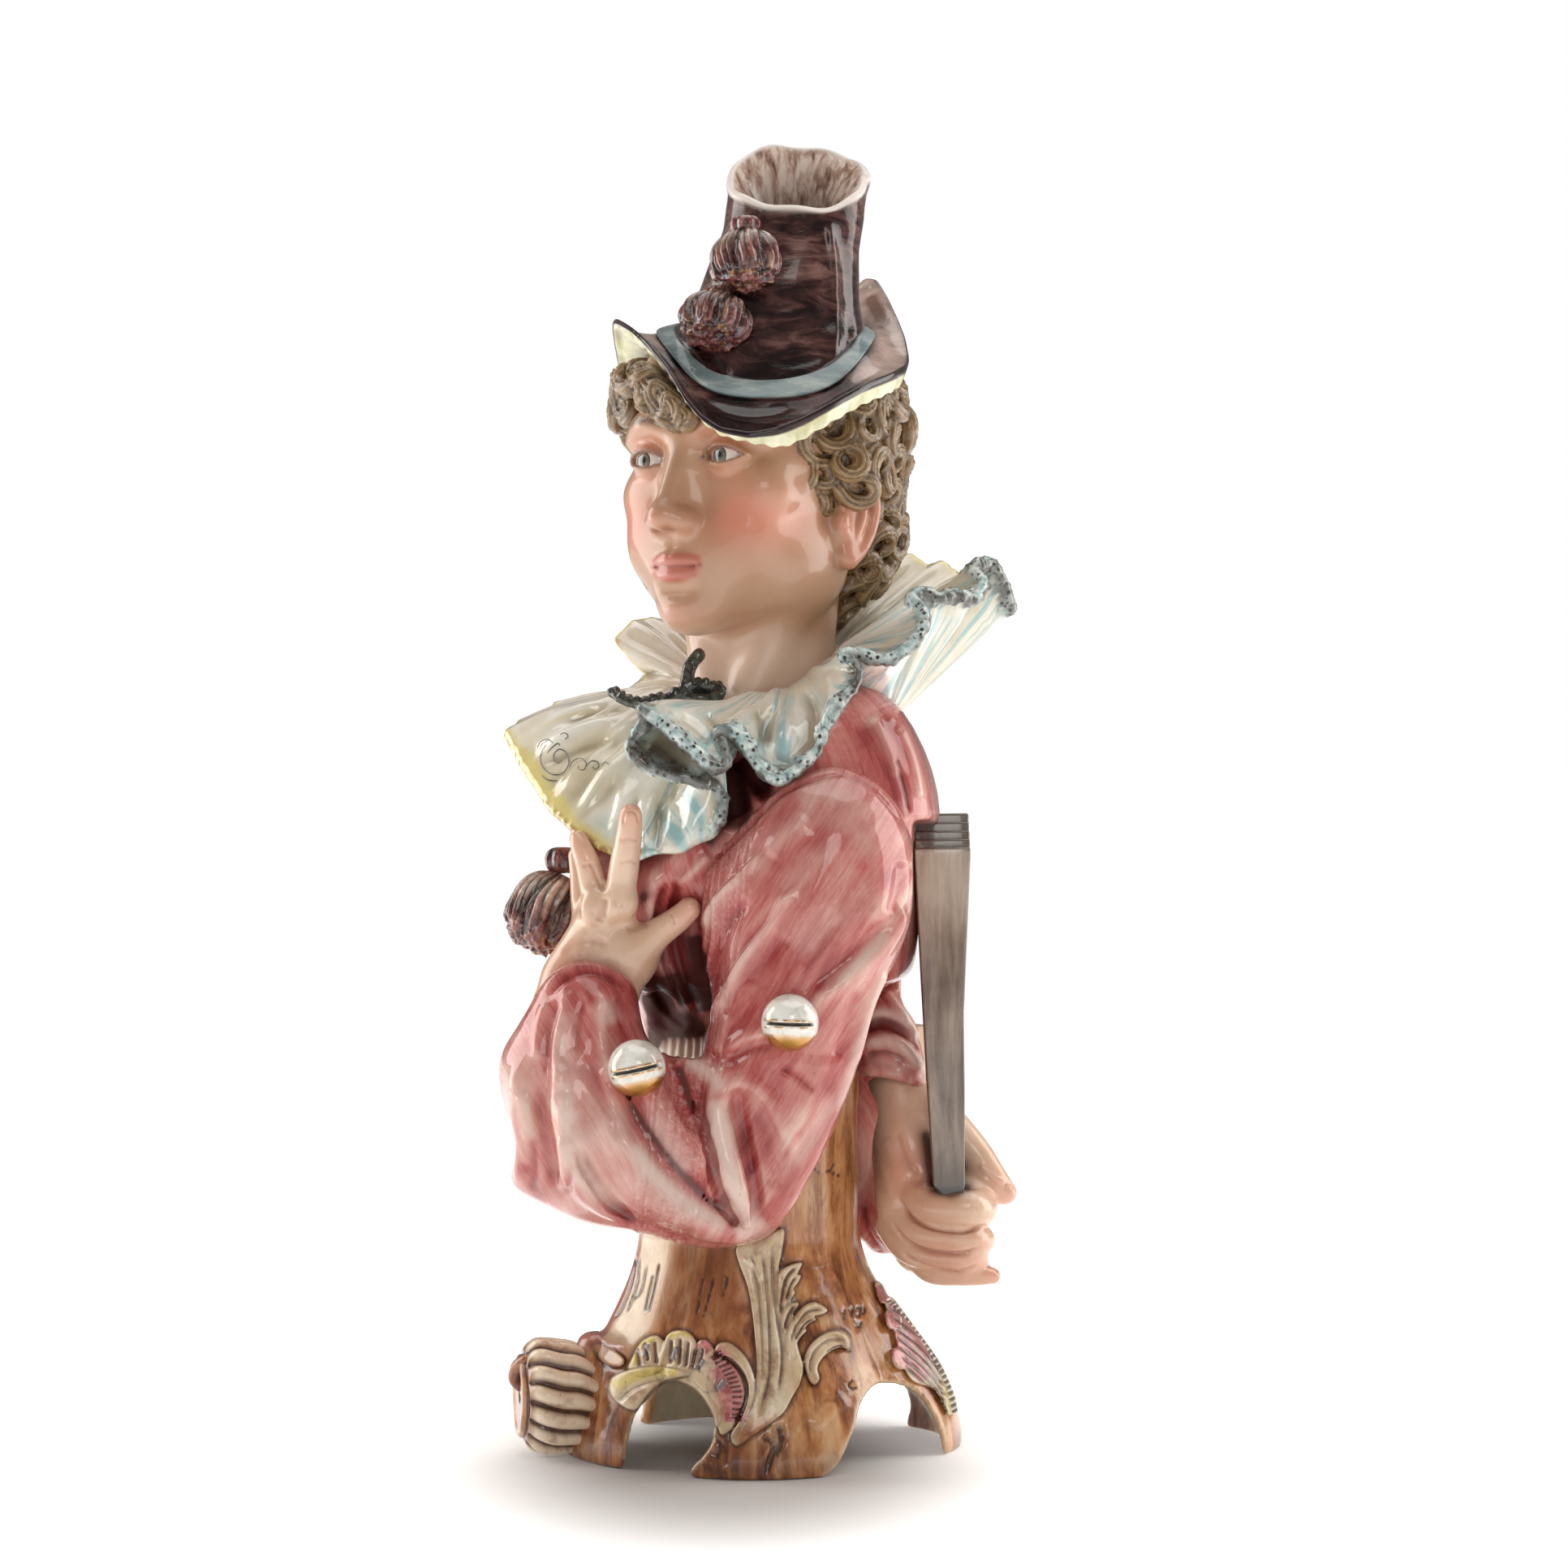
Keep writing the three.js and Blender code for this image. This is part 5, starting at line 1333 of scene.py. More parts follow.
def buildHat(material):
    n = hat["around"]
    a = np.degrees(np.arange(n) * 2 * math.pi / n)
    edge = ringAt(picked(hat["edge"]) + hat["edgeFar"], n, 2.6)
    bandTop, bandFoot = ringAt(hat["bandTop"], n, 8), ringAt(hat["bandFoot"], n, 7)
    middle = np.array([-4.0, -12.0, 0.0])
    inward = middle - bandFoot
    inward[:, 2] = 0
    inward /= np.linalg.norm(inward, axis=1)[:, None]
    down = np.array([0, 0, -1.0])
    roll = (smoothStep(262, 285, a) + smoothStep(12, 0, a))[:, None]
    rimWobble = (1.2 * np.sin(np.radians(a * 3) + 1) + 0.8 * np.sin(np.radians(a * 7)))[:, None] * np.array([0, 0, 1.0])
    rings = [
        circleRing([2, -8, 634], [9, 9], 0, n),
        circleRing([2, -8, 646], [12, 12], 1, n),
        circleRing([4, -8, 664], [20, 18], 8, n),
        circleRing([6, -8, 680], [29, 24.5], 19, n),
        circleRing([7, -8, 686], [33.5, 27.5], 21.5, n, 0.03, 0) + rimWobble,
        circleRing([7, -8, 687.2], [36, 29.5], 22, n, 0.04, 0) + rimWobble,
        circleRing([7, -8, 684], [38, 31.5], 21, n, 0.05, 0) + rimWobble,
        circleRing([6.5, -8.5, 676], [37, 32.5], 18, n, 0.03, 0),
        circleRing([4.5, -9, 657], [37.5, 35], 13, n),
        circleRing([0, -9, 640], [40.5, 37.5], 11, n),
        circleRing([-3, -10, 620], [44, 42], 12, n),
        mixRing(circleRing([-3, -10, 606], [47, 46], 14, n), bandTop, 0.45),
        bandTop - inward * -2.2,
        bandTop - inward * 1.3 + down * 0.5,
        mixRing(bandTop, bandFoot, 0.5) - inward * 1.6,
        bandFoot - inward * 1.0 - down * 0.5,
        bandFoot + inward * 0.2 + down * 0.9,
        mixRing(bandFoot, edge, 0.22) + down * 1.5,
        mixRing(bandFoot, edge, 0.55) + down * 2.2,
        mixRing(bandFoot, edge, 0.90) + down * 0.4,
        edge - inward * 0.6 - down * 0.7,
        edge - inward * 1.6 + down * 1.2,
        edge - inward * 0.2 + down * (2.6 + 2.6 * roll),
        edge + inward * 3.0 + down * (4.0 + 6.4 * roll),
        mixRing(bandFoot, edge, 0.75) + down * (6.4 + 4.4 * roll),
        mixRing(bandFoot, edge, 0.4) + down * 9.0,
        bandFoot + inward * 5 + down * 7.5,
        bandFoot + inward * 16 + down * 4.0,
        circleRing([-4, -10, 584], [12, 12], 0, n)]
    rings = np.stack(rings)
    rows = 210
    at = np.linspace(0, len(rings) - 1, rows)
    points = smoothLine(rings.reshape(len(rings), -1), rows).reshape(-1, 3)
    form = Form(points, gridQuads(rows, n, True))
    place = np.repeat(at, n)
    turn = np.tile(a, rows)

    def between(low, high, soft=0.25):
        return smoothStep(low - soft, low + soft, place) * smoothStep(high + soft, high - soft, place)

    form.masks["band"] = between(12.6, 15.6, 0.22)
    # The lip is painted near-white as a highlight along the rim, and the bottom of the funnel dark as painted shade
    form.masks["lip"] = between(4.1, 6.2, 0.4)
    form.masks["mouth"] = smoothStep(4.6, 4.0, place)
    form.masks["deep"] = smoothStep(3.4, 1.2, place)
    form.masks["lining"] = smoothStep(21.55, 21.8, place)
    form.masks["pale"] = between(16.6, 19.8, 0.6) * (smoothStep(318, 336, turn) + smoothStep(210, 194, turn))
    form.masks["edge"] = between(19.9, 21.5, 0.25)
    crown = between(7.0, 12.0, 0.6)
    # A crease down the crown, brush furrows round it, and dents near the foot
    for line, width, height in (
            ([(1020, 262), (1028, 330), (1030, 400), (1026, 452)], 5, 1.3),
            ([(1036, 262), (1042, 330), (1046, 400), (1042, 440)], 8, -1.3),
            ([(1012, 270), (1016, 340), (1018, 420)], 9, -0.7),
            ([(905, 262), (896, 300), (880, 350)], 6, 1.1),
            ([(900, 470), (888, 440), (872, 410)], 5, 0.9),
            ([(940, 452), (980, 458), (1020, 446)], 6, 0.8),
            ([(850, 420), (862, 440), (872, 452)], 3, 1.2),
            ([(862, 500), (900, 520), (950, 522), (1010, 500)], 7, 0.8),
            ([(836, 440), (852, 472), (878, 500), (920, 512), (980, 508)], 5, -0.7)):
        stroke(form, line, width, height, "round", "")
    stroke(form, [(1071, 364), (1080, 382), (1092, 404)], 8, 0, "round", "patch", 1.6, taper=0.1)
    form.masks["tinge"] = between(16.6, 19.8, 0.6) * (smoothStep(300, 330, turn) - 0.6 * smoothStep(235, 250, turn)
                                                      * smoothStep(315, 300, turn))
    wave = softNoise(form.points * np.array([0.35, 0.35, 1.6]), 9, 3) + 0.6 * softNoise(form.points, 16, 5)
    form.push(0.55 * wave * crown + 0.35 * softNoise(form.points, 12, 6) * between(16.5, 20, 0.5))
    # The lining of the upturned corner is ribbed like a shell
    ribs = np.sin(np.radians(turn) * 46)
    form.push(0.5 * ribs * form.masks["lining"] * between(22, 25, 0.5))
    form.masks["hollow"] = np.clip(form.hollow(10) * 1.2, -1, 2)
    addPiece("hat", closeEnds(form, rows, n), material)


def mixRing(a, b, t):
    return a + (b - a) * t


# Ruff: turn round the neck, px, py and depth of the edge
ruff = dict(
    edge=[(192, 621, 908, -14), (203, 646, 952, -40), (214, 674, 997, -64), (223, 706, 1027, -80),
          (231, 750, 1054, -92), (238, 790, 1069, -99), (243, 830, 1058, -104), (246, 850, 1043, -106),
          (249, 880, 1030, -106), (251, 891, 1008, -106), (253, 884, 984, -108), (255, 862, 968, -110),
          (257, 828, 961, -112), (259, 796, 949, -113), (261, 775, 932, -112), (262.5, 771, 914, -110),
          (264, 786, 902, -108), (265, 792, 886, -108), (266, 784, 872, -112), (268, 802, 884, -117),
          (270, 829, 908, -121), (272, 856, 935, -123), (274, 882, 953, -123), (275.5, 894, 944, -120),
          (277, 886, 920, -114), (278, 880, 904, -110), (279.5, 896, 902, -112), (281, 919, 925, -115),
          (283, 937, 952, -117), (285, 957, 966, -117), (287, 983, 953, -114), (289, 1008, 927, -110),
          (291, 1018, 898, -106), (293, 1031, 877, -102), (295, 1049, 850, -98), (297, 1061, 827, -94),
          (299, 1046, 810, -88), (300.5, 1036, 806, -84), (302, 1060, 804, -82), (304, 1084, 815, -84),
          (307, 1107, 810, -84), (310, 1130, 791, -80), (313, 1143, 769, -74), (315, 1142, 748, -68),
          (317, 1126, 734, -62), (319, 1138, 725, -58), (322, 1160, 736, -56), (325, 1178, 728, -50),
          (330, 1205, 738, -42), (334, 1218, 716, -30), (338, 1205, 693, -20), (343, 1224, 689, -10),
          (349, 1242, 718, -4), (356, 1250, 750, 4),
          (10, 1236, 742, 36), (18, 1206, 716, 58), (26, 1180, 706, 70), (33, 1164, 694, 76), (40, 1146, 700, 82),
          (46, 1124, 684, 88), (54, 1096, 690, 94),
          (124, 842, 790, 76), (129, 828, 770, 76), (135, 800, 764, 70), (140, 778, 768, 62), (145, 757, 789, 54),
          (150, 772, 808, 50), (155, 800, 832, 44), (160, 770, 858, 36), (165, 742, 866, 30), (170, 714, 876, 24),
          (174, 684, 870, 18), (178, 672, 884, 12), (182, 655, 897, 6), (187, 640, 892, 0)],
    edgeFar=[(66, 24, 104, 474), (78, 4, 100, 456), (90, -10, 108, 450), (102, -30, 98, 438), (114, -44, 100, 446)],
    root=[(180, -50, 2, 405), (205, -46, -18, 403), (232, -35, -32, 402), (258, -18, -39, 403), (280, 0, -38, 408),
          (300, 14, -32, 416), (325, 26, -18, 424), (0, 30, 2, 428), (40, 24, 26, 424), (80, 2, 38, 416),
          (120, -26, 34, 410), (150, -42, 20, 407)],
    scrolls=[[(673, 917), (666, 930), (668, 944), (680, 954), (694, 952), (701, 940), (698, 928), (689, 923),
              (682, 931), (686, 940), (693, 937)],
             [(701, 946), (706, 938), (715, 934), (722, 940), (720, 948), (713, 948), (712, 942)],
             [(722, 945), (728, 938), (735, 938), (738, 944), (733, 948), (730, 944)],
             [(662, 922), (666, 914), (675, 911), (682, 916)], [(674, 928), (679, 922), (687, 916), (690, 919)],
             [(667, 955), (675, 961), (687, 962)], [(741, 943), (746, 939), (750, 942)],
             [(690, 905), (696, 903), (700, 907), (696, 911)]],
    # px line, width in px, height in mm
    folds=[([(950, 846), (962, 876), (970, 905), (968, 940)], 9, 2.8), ([(930, 862), (940, 890), (946, 920)], 8, -2.6),
           ([(985, 845), (1000, 872), (998, 905), (986, 935)], 9, -2.6), ([(1020, 822), (1028, 856), (1018, 892)], 8, 2.4),
           ([(900, 880), (915, 900), (935, 930)], 7, 2.2), ([(870, 876), (884, 894), (890, 912)], 7, -1.8),
           ([(810, 884), (836, 904), (864, 930)], 7, 2.2), ([(830, 878), (858, 896), (880, 920)], 6, -1.6),
           ([(1042, 818), (1050, 836), (1044, 856)], 6, -2.4),
           ([(650, 926), (690, 906), (740, 890), (770, 882)], 7, 2.4), ([(664, 944), (712, 924), (764, 906)], 6, -2.0),
           ([(690, 985), (730, 950), (770, 930)], 12, 1.6), ([(706, 1014), (740, 985), (764, 955)], 8, -1.6),
           ([(672, 884), (700, 874), (750, 866)], 5, 1.6), ([(690, 894), (730, 880), (776, 872)], 4, -1.8),
           ([(800, 985), (797, 1020), (792, 1056)], 6, 1.8), ([(812, 980), (811, 1020), (806, 1060)], 4, -1.6),
           ([(826, 978), (826, 1020), (818, 1056)], 5, 1.8), ([(838, 978), (838, 1016), (832, 1048)], 4, -1.5),
           ([(852, 980), (854, 1010), (846, 1036)], 6, 1.6), ([(772, 960), (764, 1000), (752, 1040)], 8, 1.6),
           ([(785, 970), (780, 1010), (772, 1050)], 5, -1.6)],
    gilding=[([(640, 908), (660, 940), (690, 984), (716, 1010)], 9, 0.45), ([(650, 900), (700, 882), (760, 870)], 5, 0.5),
             ([(706, 900), (770, 880)], 4, 0.3), ([(664, 930), (720, 968), (760, 990)], 9, 0.16)],
    # painted shade inside the folds: px line, width, strength
    shades=[([(800, 918), (822, 934), (842, 952)], 11, 1.1), ([(786, 930), (800, 946)], 8, 0.7),
            ([(1048, 820), (1056, 836), (1050, 850)], 6, 1.1), ([(872, 930), (884, 942)], 5, 0.7),
            ([(898, 908), (906, 922)], 5, 0.8), ([(1022, 884), (1034, 868)], 4, 0.5)],
    # where the turquoise wash lies: px line, width, strength
    tints=[([(733, 1004), (748, 1040)], 13, 1.0), ([(798, 1034), (812, 1064)], 9, 0.9),
           ([(850, 985), (854, 1014), (840, 1040)], 8, 0.9), ([(822, 976), (824, 1044)], 3, 0.9),
           ([(838, 976), (836, 1040)], 3, 0.7), ([(796, 900), (788, 940)], 6, 0.8), ([(816, 884), (850, 912), (884, 944)], 6, 0.6),
           ([(902, 904), (926, 934), (952, 954)], 7, 0.8), ([(986, 942), (1010, 914), (1030, 888)], 8, 0.7),
           ([(960, 880), (985, 905)], 9, 0.4), ([(1000, 860), (1018, 884)], 7, 0.5), ([(856, 880), (882, 906)], 7, 0.4),
           ([(716, 992), (742, 960)], 8, 0.35), ([(1108, 860), (1150, 800), (1190, 750)], 9, 0.5)],
    around=960, thick=5.0)


# How far the points of a sheet have to move to lie outside an object
def layOn(sheet, name, gap, reach=45):
    tree = BVHTree.FromObject(bpy.data.objects[name], bpy.context.evaluated_depsgraph_get())
    flat = (sheet.reshape(-1, 3) + rowShift) * 0.001
    move = np.zeros(flat.shape)
    for k, point in enumerate(flat):
        spot, normal, _, _ = tree.find_nearest(Vector(point))
        out = (Vector(point) - spot).dot(normal) * 1000
        if -reach < out < gap:
            move[k] = np.array(normal) * (gap - out)
    move = move.reshape(sheet.shape)
    for _ in range(6):
        move = (np.roll(move, 1, 1) + np.roll(move, -1, 1) + 2 * move) / 4
        move[1:-1] = (move[:-2] + move[2:] + 2 * move[1:-1]) / 4
    return move


# Thin brush lines that lie raised on the near side of a form
def penLines(form, lines, radius, name, material):
    flat = pictureOf(form.points)
    points, quads, around = [], [], 8
    turn = np.linspace(0, 2 * math.pi, around, endpoint=False)
    for line in lines:
        row = smoothLine(line, len(line) * 7)
        depth = []
        for spot in row:
            near = np.nonzero((np.abs(flat - spot) < 6).all(1))[0]
            near = near[form.points[near, 1] < form.points[near, 1].min() + 4]
            weight = np.exp(-((flat[near] - spot) ** 2).sum(1) / 8)
            depth.append((form.points[near, 1] * weight).sum() / weight.sum() - 0.2)
        depth = np.convolve(np.pad(depth, 3, mode="edge"), np.ones(7) / 7, "valid")
        spine = np.array([placeOf(px, py, y) for (px, py), y in zip(row, depth)])
        size = radius * np.sin(np.linspace(0.25, math.pi - 0.25, len(spine))) ** 0.5
        way = np.gradient(spine, axis=0)
        way /= np.linalg.norm(way, axis=1)[:, None]
        side = np.cross(way, [0, 1, 0])
        side /= np.linalg.norm(side, axis=1)[:, None] + 1e-9
        up = np.cross(way, side)
        tube = spine[:, None] + size[:, None, None] * (side[:, None] * np.cos(turn)[None, :, None]
                                                       + up[:, None] * np.sin(turn)[None, :, None])
        tube[0], tube[-1] = spine[0], spine[-1]
        quads.append(gridQuads(len(spine), around, True) + sum(len(p) for p in points))
        points.append(tube.reshape(-1, 3))
    addPiece(name, Form(np.concatenate(points), np.concatenate(quads)), material)


def buildRuff(material, pen):
    n, rows = ruff["around"], 44
    edge = ringAt(picked(ruff["edge"]) + ruff["edgeFar"], n, 0.55)
    root = ringAt(ruff["root"], n, 9)
    a = np.arange(n) * 360.0 / n
    # The middle of the sheet follows a calmer line than the edge
    calm = ringAt(picked(ruff["edge"]) + ruff["edgeFar"], n, 5)
    calmer = ringAt(picked(ruff["edge"]) + ruff["edgeFar"], n, 11)
    front = np.exp(-(((a - 215 + 180) % 360 - 180) / 32) ** 2)[:, None]
    back = np.exp(-(((a - 345 + 180) % 360 - 180) / 40) ** 2)[:, None]
    up = np.array([0, 0, 1.0])
    half = mix(mix(root, calmer, 0.42), mix(root, mix(calm, edge, 0.45), 0.42), 0.65) + up * (13 * front + 4)
    most = mix(root, mix(calm, edge, 0.85), 0.76) + up * (9 * front + 3 - 3 * back)
    stations = np.stack([root - up * 3, mix(root, half, 0.35) + up * (5 * front + 2), half, most, edge])
    sheet = smoothLine(stations.reshape(5, -1), rows).reshape(rows, n, 3)
    t = np.linspace(0, 1, rows)[:, None]
    flute = (np.sin(np.radians(a) * 34 + 1.5 * np.sin(np.radians(a) * 5)) + 0.6 * np.sin(np.radians(a) * 57))[None, :]
    alongTurn = np.roll(sheet, -2, 1) - np.roll(sheet, 2, 1)
    alongOut = np.gradient(sheet, axis=0)
    normal = np.cross(alongTurn, alongOut)
    for _ in range(6):
        normal = normal + np.roll(normal, 1, 1) + np.roll(normal, -1, 1)
    normal /= np.linalg.norm(normal, axis=2)[..., None] + 1e-9
    if normal[rows // 2, :, 2].mean() < 0:
        normal = -normal
    calmFlute = smoothStep(0.1, 0.5, t) * smoothStep(1.0, 0.8, t)
    sheet = sheet + normal * (flute * 0.9 * calmFlute)[..., None]
    for _ in range(3):
        sheet = sheet + layOn(sheet, "jacket_trunk", 6.5, 90) * smoothStep(0.12, 0.38, t)[..., None]
    # How far each point stands over the sheet's calm run, for the shading of the folds
    wave = np.fft.rfft(sheet, axis=1)
    wave *= np.exp(-(np.arange(wave.shape[1]) * 2 * math.pi * 15 / n) ** 2 / 2)[None, :, None]
    stand = ((sheet - np.fft.irfft(wave, n, axis=1)) * normal).sum(2)
    thick = ruff["thick"] * (0.75 + 0.25 * smoothStep(0.6, 1.0, t)) * np.ones((1, n))
    ends = np.sqrt(1 - np.clip((t - 0.965) / 0.035, 0, 1) ** 2 * 0.86)
    upper = sheet + normal * (thick * ends / 2)[..., None]
    lower = sheet - normal * (thick * ends / 2)[..., None]
    # At the back the underside runs down to the shoulders as a cone
    deep = smoothStep(292, 318, a + 360 * (a < 180)) * smoothStep(410, 385, a + 360 * (a < 180))
    cone = mix(root + np.array([30, 10, -34]), edge, t[..., None])
    lower = mix(lower, np.minimum(cone, lower + np.array([60, 60, 0])), (deep * smoothStep(0.97, 0.80, t))[..., None])
    points = np.concatenate([upper, lower[::-1]]).reshape(-1, 3)
    quads = gridQuads(rows * 2, n, True)
    last = (rows * 2 - 1) * n
    c = np.arange(n)
    joint = np.stack([last + c, last + (c + 1) % n, (c + 1) % n, c], 1)
    form = Form(points, np.concatenate([quads, joint]))
    out = np.concatenate([np.tile(t, (1, n)), np.tile(t[::-1], (1, n))]).reshape(-1)
    turn = np.tile(a, rows * 2)
    near = smoothStep(228, 240, turn) + smoothStep(18, 6, turn)
    grain = softNoise(form.points, 3.4, 1) + 0.8 * softNoise(form.points, 1.8, 2)
    foam = smoothStep(0.87, 0.93, out + 0.035 * grain) * np.clip(smoothStep(246, 251, turn) + smoothStep(18, 6, turn), 0, 1)
    form.push(foam * (1.0 + 1.0 * grain))
    form.masks["dip"] = np.clip(np.concatenate([-stand, stand[::-1]]).reshape(-1) / 4.0, -1.5, 1.5)
    form.masks["pit"] = np.clip(-grain - 0.35, 0, 1) * foam
    form.push(0.8 * smoothStep(0.93, 0.99, out) * (1 - np.clip(near, 0, 1)) * softNoise(form.points, 4, 4))
    form.masks["foam"] = foam
    form.masks["yellow"] = (smoothStep(0.88, 0.985, out) + 0.14) * (1 - np.clip(near, 0, 1))
    form.masks["gilt"] = smoothStep(0.955, 0.985, out) * (1 - np.clip(near, 0, 1)) * smoothStep(200, 225, turn)
    form.masks["out"] = out
    form.masks["under"] = np.concatenate([np.zeros((rows, n)), np.ones((rows, n))]).reshape(-1)
    form.masks["streak"] = np.tile(np.cos(np.radians(a)) * 40, rows * 2)
    form.masks["streakAcross"] = np.tile(np.sin(np.radians(a)) * 40, rows * 2)
    for line, width, height in ruff["folds"]:
        stroke(form, line, width, height, "round", "dip", -height / 2.2, taper=0.25)
    for line, width, tone in ruff["tints"]:
        stroke(form, line, width, 0, "round", "tint", tone, taper=0.2)
    form.masks["tint"] = form.spread(form.mask("tint"), 5)
    for line, width, tone in ruff["gilding"]:
        stroke(form, line, width, 0, "round", "yellow", tone, taper=0.2)
    for line, width, tone in ruff["shades"]:
        stroke(form, line, width, 0, "round", "shade", tone, facing=-1, taper=0.05)
    # The petal and the far side are painted darker, and the collar lighter as painted light
    form.masks["petal"] = smoothStep(204, 214, turn) * smoothStep(230, 222, turn) * smoothStep(0.4, 0.8, out)
    form.masks["collar"] = (smoothStep(250, 262, turn) * smoothStep(322, 312, turn)
                            + 0.4 * smoothStep(228, 234, turn) * smoothStep(246, 240, turn))
    form.masks["far"] = smoothStep(330, 345, turn) + smoothStep(120, 100, turn)
    form.masks["hollow"] = np.clip(form.hollow(16), -1.5, 3)
    addPiece("ruff", form, material)
    penLines(form, ruff["scrolls"], 0.27, "ruff_scrolls", pen)
    pressBack("jacket_trunk", [(896, 940), (902, 970), (908, 1000)], 17, 26)
    pressBack("jacket_trunk", [(912, 936), (928, 956), (940, 972)], 12, 16)


# The near side of a finished piece is pressed back along a px line
def pressBack(name, line, width, depth):
    mesh = bpy.data.objects[name].data
    spots = np.zeros(len(mesh.vertices) * 3)
    mesh.vertices.foreach_get("co", spots)
    spots = spots.reshape(-1, 3) * 1000 - rowShift
    facing = np.zeros(len(mesh.vertices) * 3)
    mesh.vertex_normals.foreach_get("vector", facing)
    gap, _, _ = nearLine(pictureOf(spots), smoothLine(line, 24))
    amount = np.exp(-(gap / width) ** 4) * smoothStep(0.1, -0.3, facing.reshape(-1, 3)[:, 1]) * (spots[:, 1] < -40)
    spots[:, 1] += depth * amount
    mesh.vertices.foreach_set("co", ((spots + rowShift) * 0.001).ravel())
    mesh.update()


# A dark twisted cord lies on the ruff in front of the neck
def buildCord(material):
    clay = Clay([-104, -64, 392], [-4, 8, 450], 0.95)
    for line in ([(756, 852, -44), (772, 862, -50), (792, 866, -52), (812, 860, -50), (834, 862, -50), (856, 852, -46),
                  (888, 846, -42)],
                 [(820, 866, -52), (842, 848, -50), (866, 842, -46), (886, 852, -46), (876, 862, -50), (852, 862, -52)],
                 [(842, 862, -50), (846, 842, -48), (850, 822, -44), (862, 806, -40)]):
        spine = smoothLine([placeOf(*row) for row in line], 60)
        t = np.linspace(0, 1, 60)
        for phase in (0, math.pi):
            swing = np.stack([np.cos(t * 40 + phase), 0.4 * np.sin(t * 40), np.sin(t * 40 + phase)], 1) * 1.6
            clay.rods(np.concatenate([spine + swing, np.full((60, 1), 2.15)], 1), 0.5)
    form = clay.shape(1, False)
    form.masks["hollow"] = np.clip(form.hollow(6), 0, 2)
    addPiece("neck_cord", form, material)


# Pompons: a small button, a fluted tuft and a rough spongy end
pompons = dict(
    spots=[dict(name="chest", middle=(671, 1128, -52), size=(20.5, 19, 23.5), axis=(-0.42, -0.20, -0.88),
                knob=(693, 1060, -50), knobSize=(9, 8, 7)),
           dict(name="hat_upper", middle=(919, 324, -46), size=(18.6, 16.5, 18), axis=(0.08, -0.30, -0.95),
                knob=(919, 277, -44), knobSize=(8, 7, 5)),
           dict(name="hat_lower", middle=(881, 398, -50), size=(19, 16.5, 16.5), axis=(-0.30, -0.42, -0.86),
                knob=(884, 361, -48), knobSize=(7, 6, 4))],
    around=160, along=90)


def buildPompons(material):
    rows, n = pompons["along"], pompons["around"]
    b = np.linspace(0, math.pi, rows)[:, None]
    a = np.linspace(0, 2 * math.pi, n, endpoint=False)[None, :]
    for k, spot in enumerate(pompons["spots"]):
        axis = Vector(spot["axis"]).normalized()
        side = axis.cross(Vector((0.3, 1, 0.1))).normalized()
        other = axis.cross(side)
        side, other, axis = np.array(side), np.array(other), np.array(axis)
        tuft = np.abs(np.sin(a * 3.5 + 0.5 * np.sin(b * 3) + k)) ** 0.5
        strand = np.sin(a * 26 + 2.5 * np.sin(a * 3 + k) + 1.2 * np.sin(b * 4))
        body = smoothStep(0.1, 0.6, b) * smoothStep(2.5, 2.0, b)
        end = smoothStep(2.0, 2.35, b)
        size = 1 + 0.0 * a + body * (0.22 * (tuft - 0.8) + 0.045 * strand)
        out = np.sin(b) ** 0.75 * size
        alongAxis = -np.cos(b) * np.where(b > 1.6, 0.86, 1.0)
        u = spot["size"][0] * out * np.cos(a)
        v = spot["size"][1] * out * np.sin(a)
        w = spot["size"][2] * alongAxis + 0 * a
        points = u[..., None] * side + v[..., None] * other + w[..., None] * axis
        points = points.reshape(-1, 3) + placeOf(*spot["middle"])
        form = Form(points, gridQuads(rows, n, True))
        rough = np.broadcast_to(end, (rows, n)).reshape(-1)
        grain = softNoise(points, 3.4, k) + 0.8 * softNoise(points, 1.8, k + 5)
        form.push(rough * (2.0 * grain - 0.6))
        form.masks["rough"] = rough.copy()
        form.masks["strand"] = (np.clip(-strand, 0, 1) * body).reshape(-1)
        form.masks["pit"] = np.clip(-grain, 0, 1) * rough
        form.masks["top"] = np.broadcast_to(smoothStep(2.1 if k == 0 else 1.5, 0.6, b), (rows, n)).reshape(-1)
        form.masks["gap"] = ((1 - tuft) ** 1.1 * body * 1.25).reshape(-1)
        addPiece("pompon_" + spot["name"], closeEnds(form, rows, n), material)
        knobForm = Form(np.stack([
            spot["knobSize"][0] * np.sin(b) ** 0.6 * (1 + 0.07 * np.sin(a * 9)) * np.cos(a),
            spot["knobSize"][1] * np.sin(b) ** 0.6 * (1 + 0.07 * np.sin(a * 9)) * np.sin(a),
            spot["knobSize"][2] * np.cos(b) + 0 * a], -1).reshape(-1, 3) + placeOf(*spot["knob"]),
            gridQuads(rows, n, True))
        knobForm.masks["strand"] = (np.clip(-np.sin(a * 9), 0, 1) * np.sin(b)).reshape(-1)
        addPiece("button_" + spot["name"], closeEnds(knobForm, rows, n), material)


# Clapper: five leaves with stepped ends, narrowing to the grip
clapper = dict(topLeft=(1127, 1003), topRight=(1196, 1000), footLeft=(1148, 1466), footRight=(1191, 1468),
               near=-43.0, thick=5.6, leaves=5, bevel=0.9)


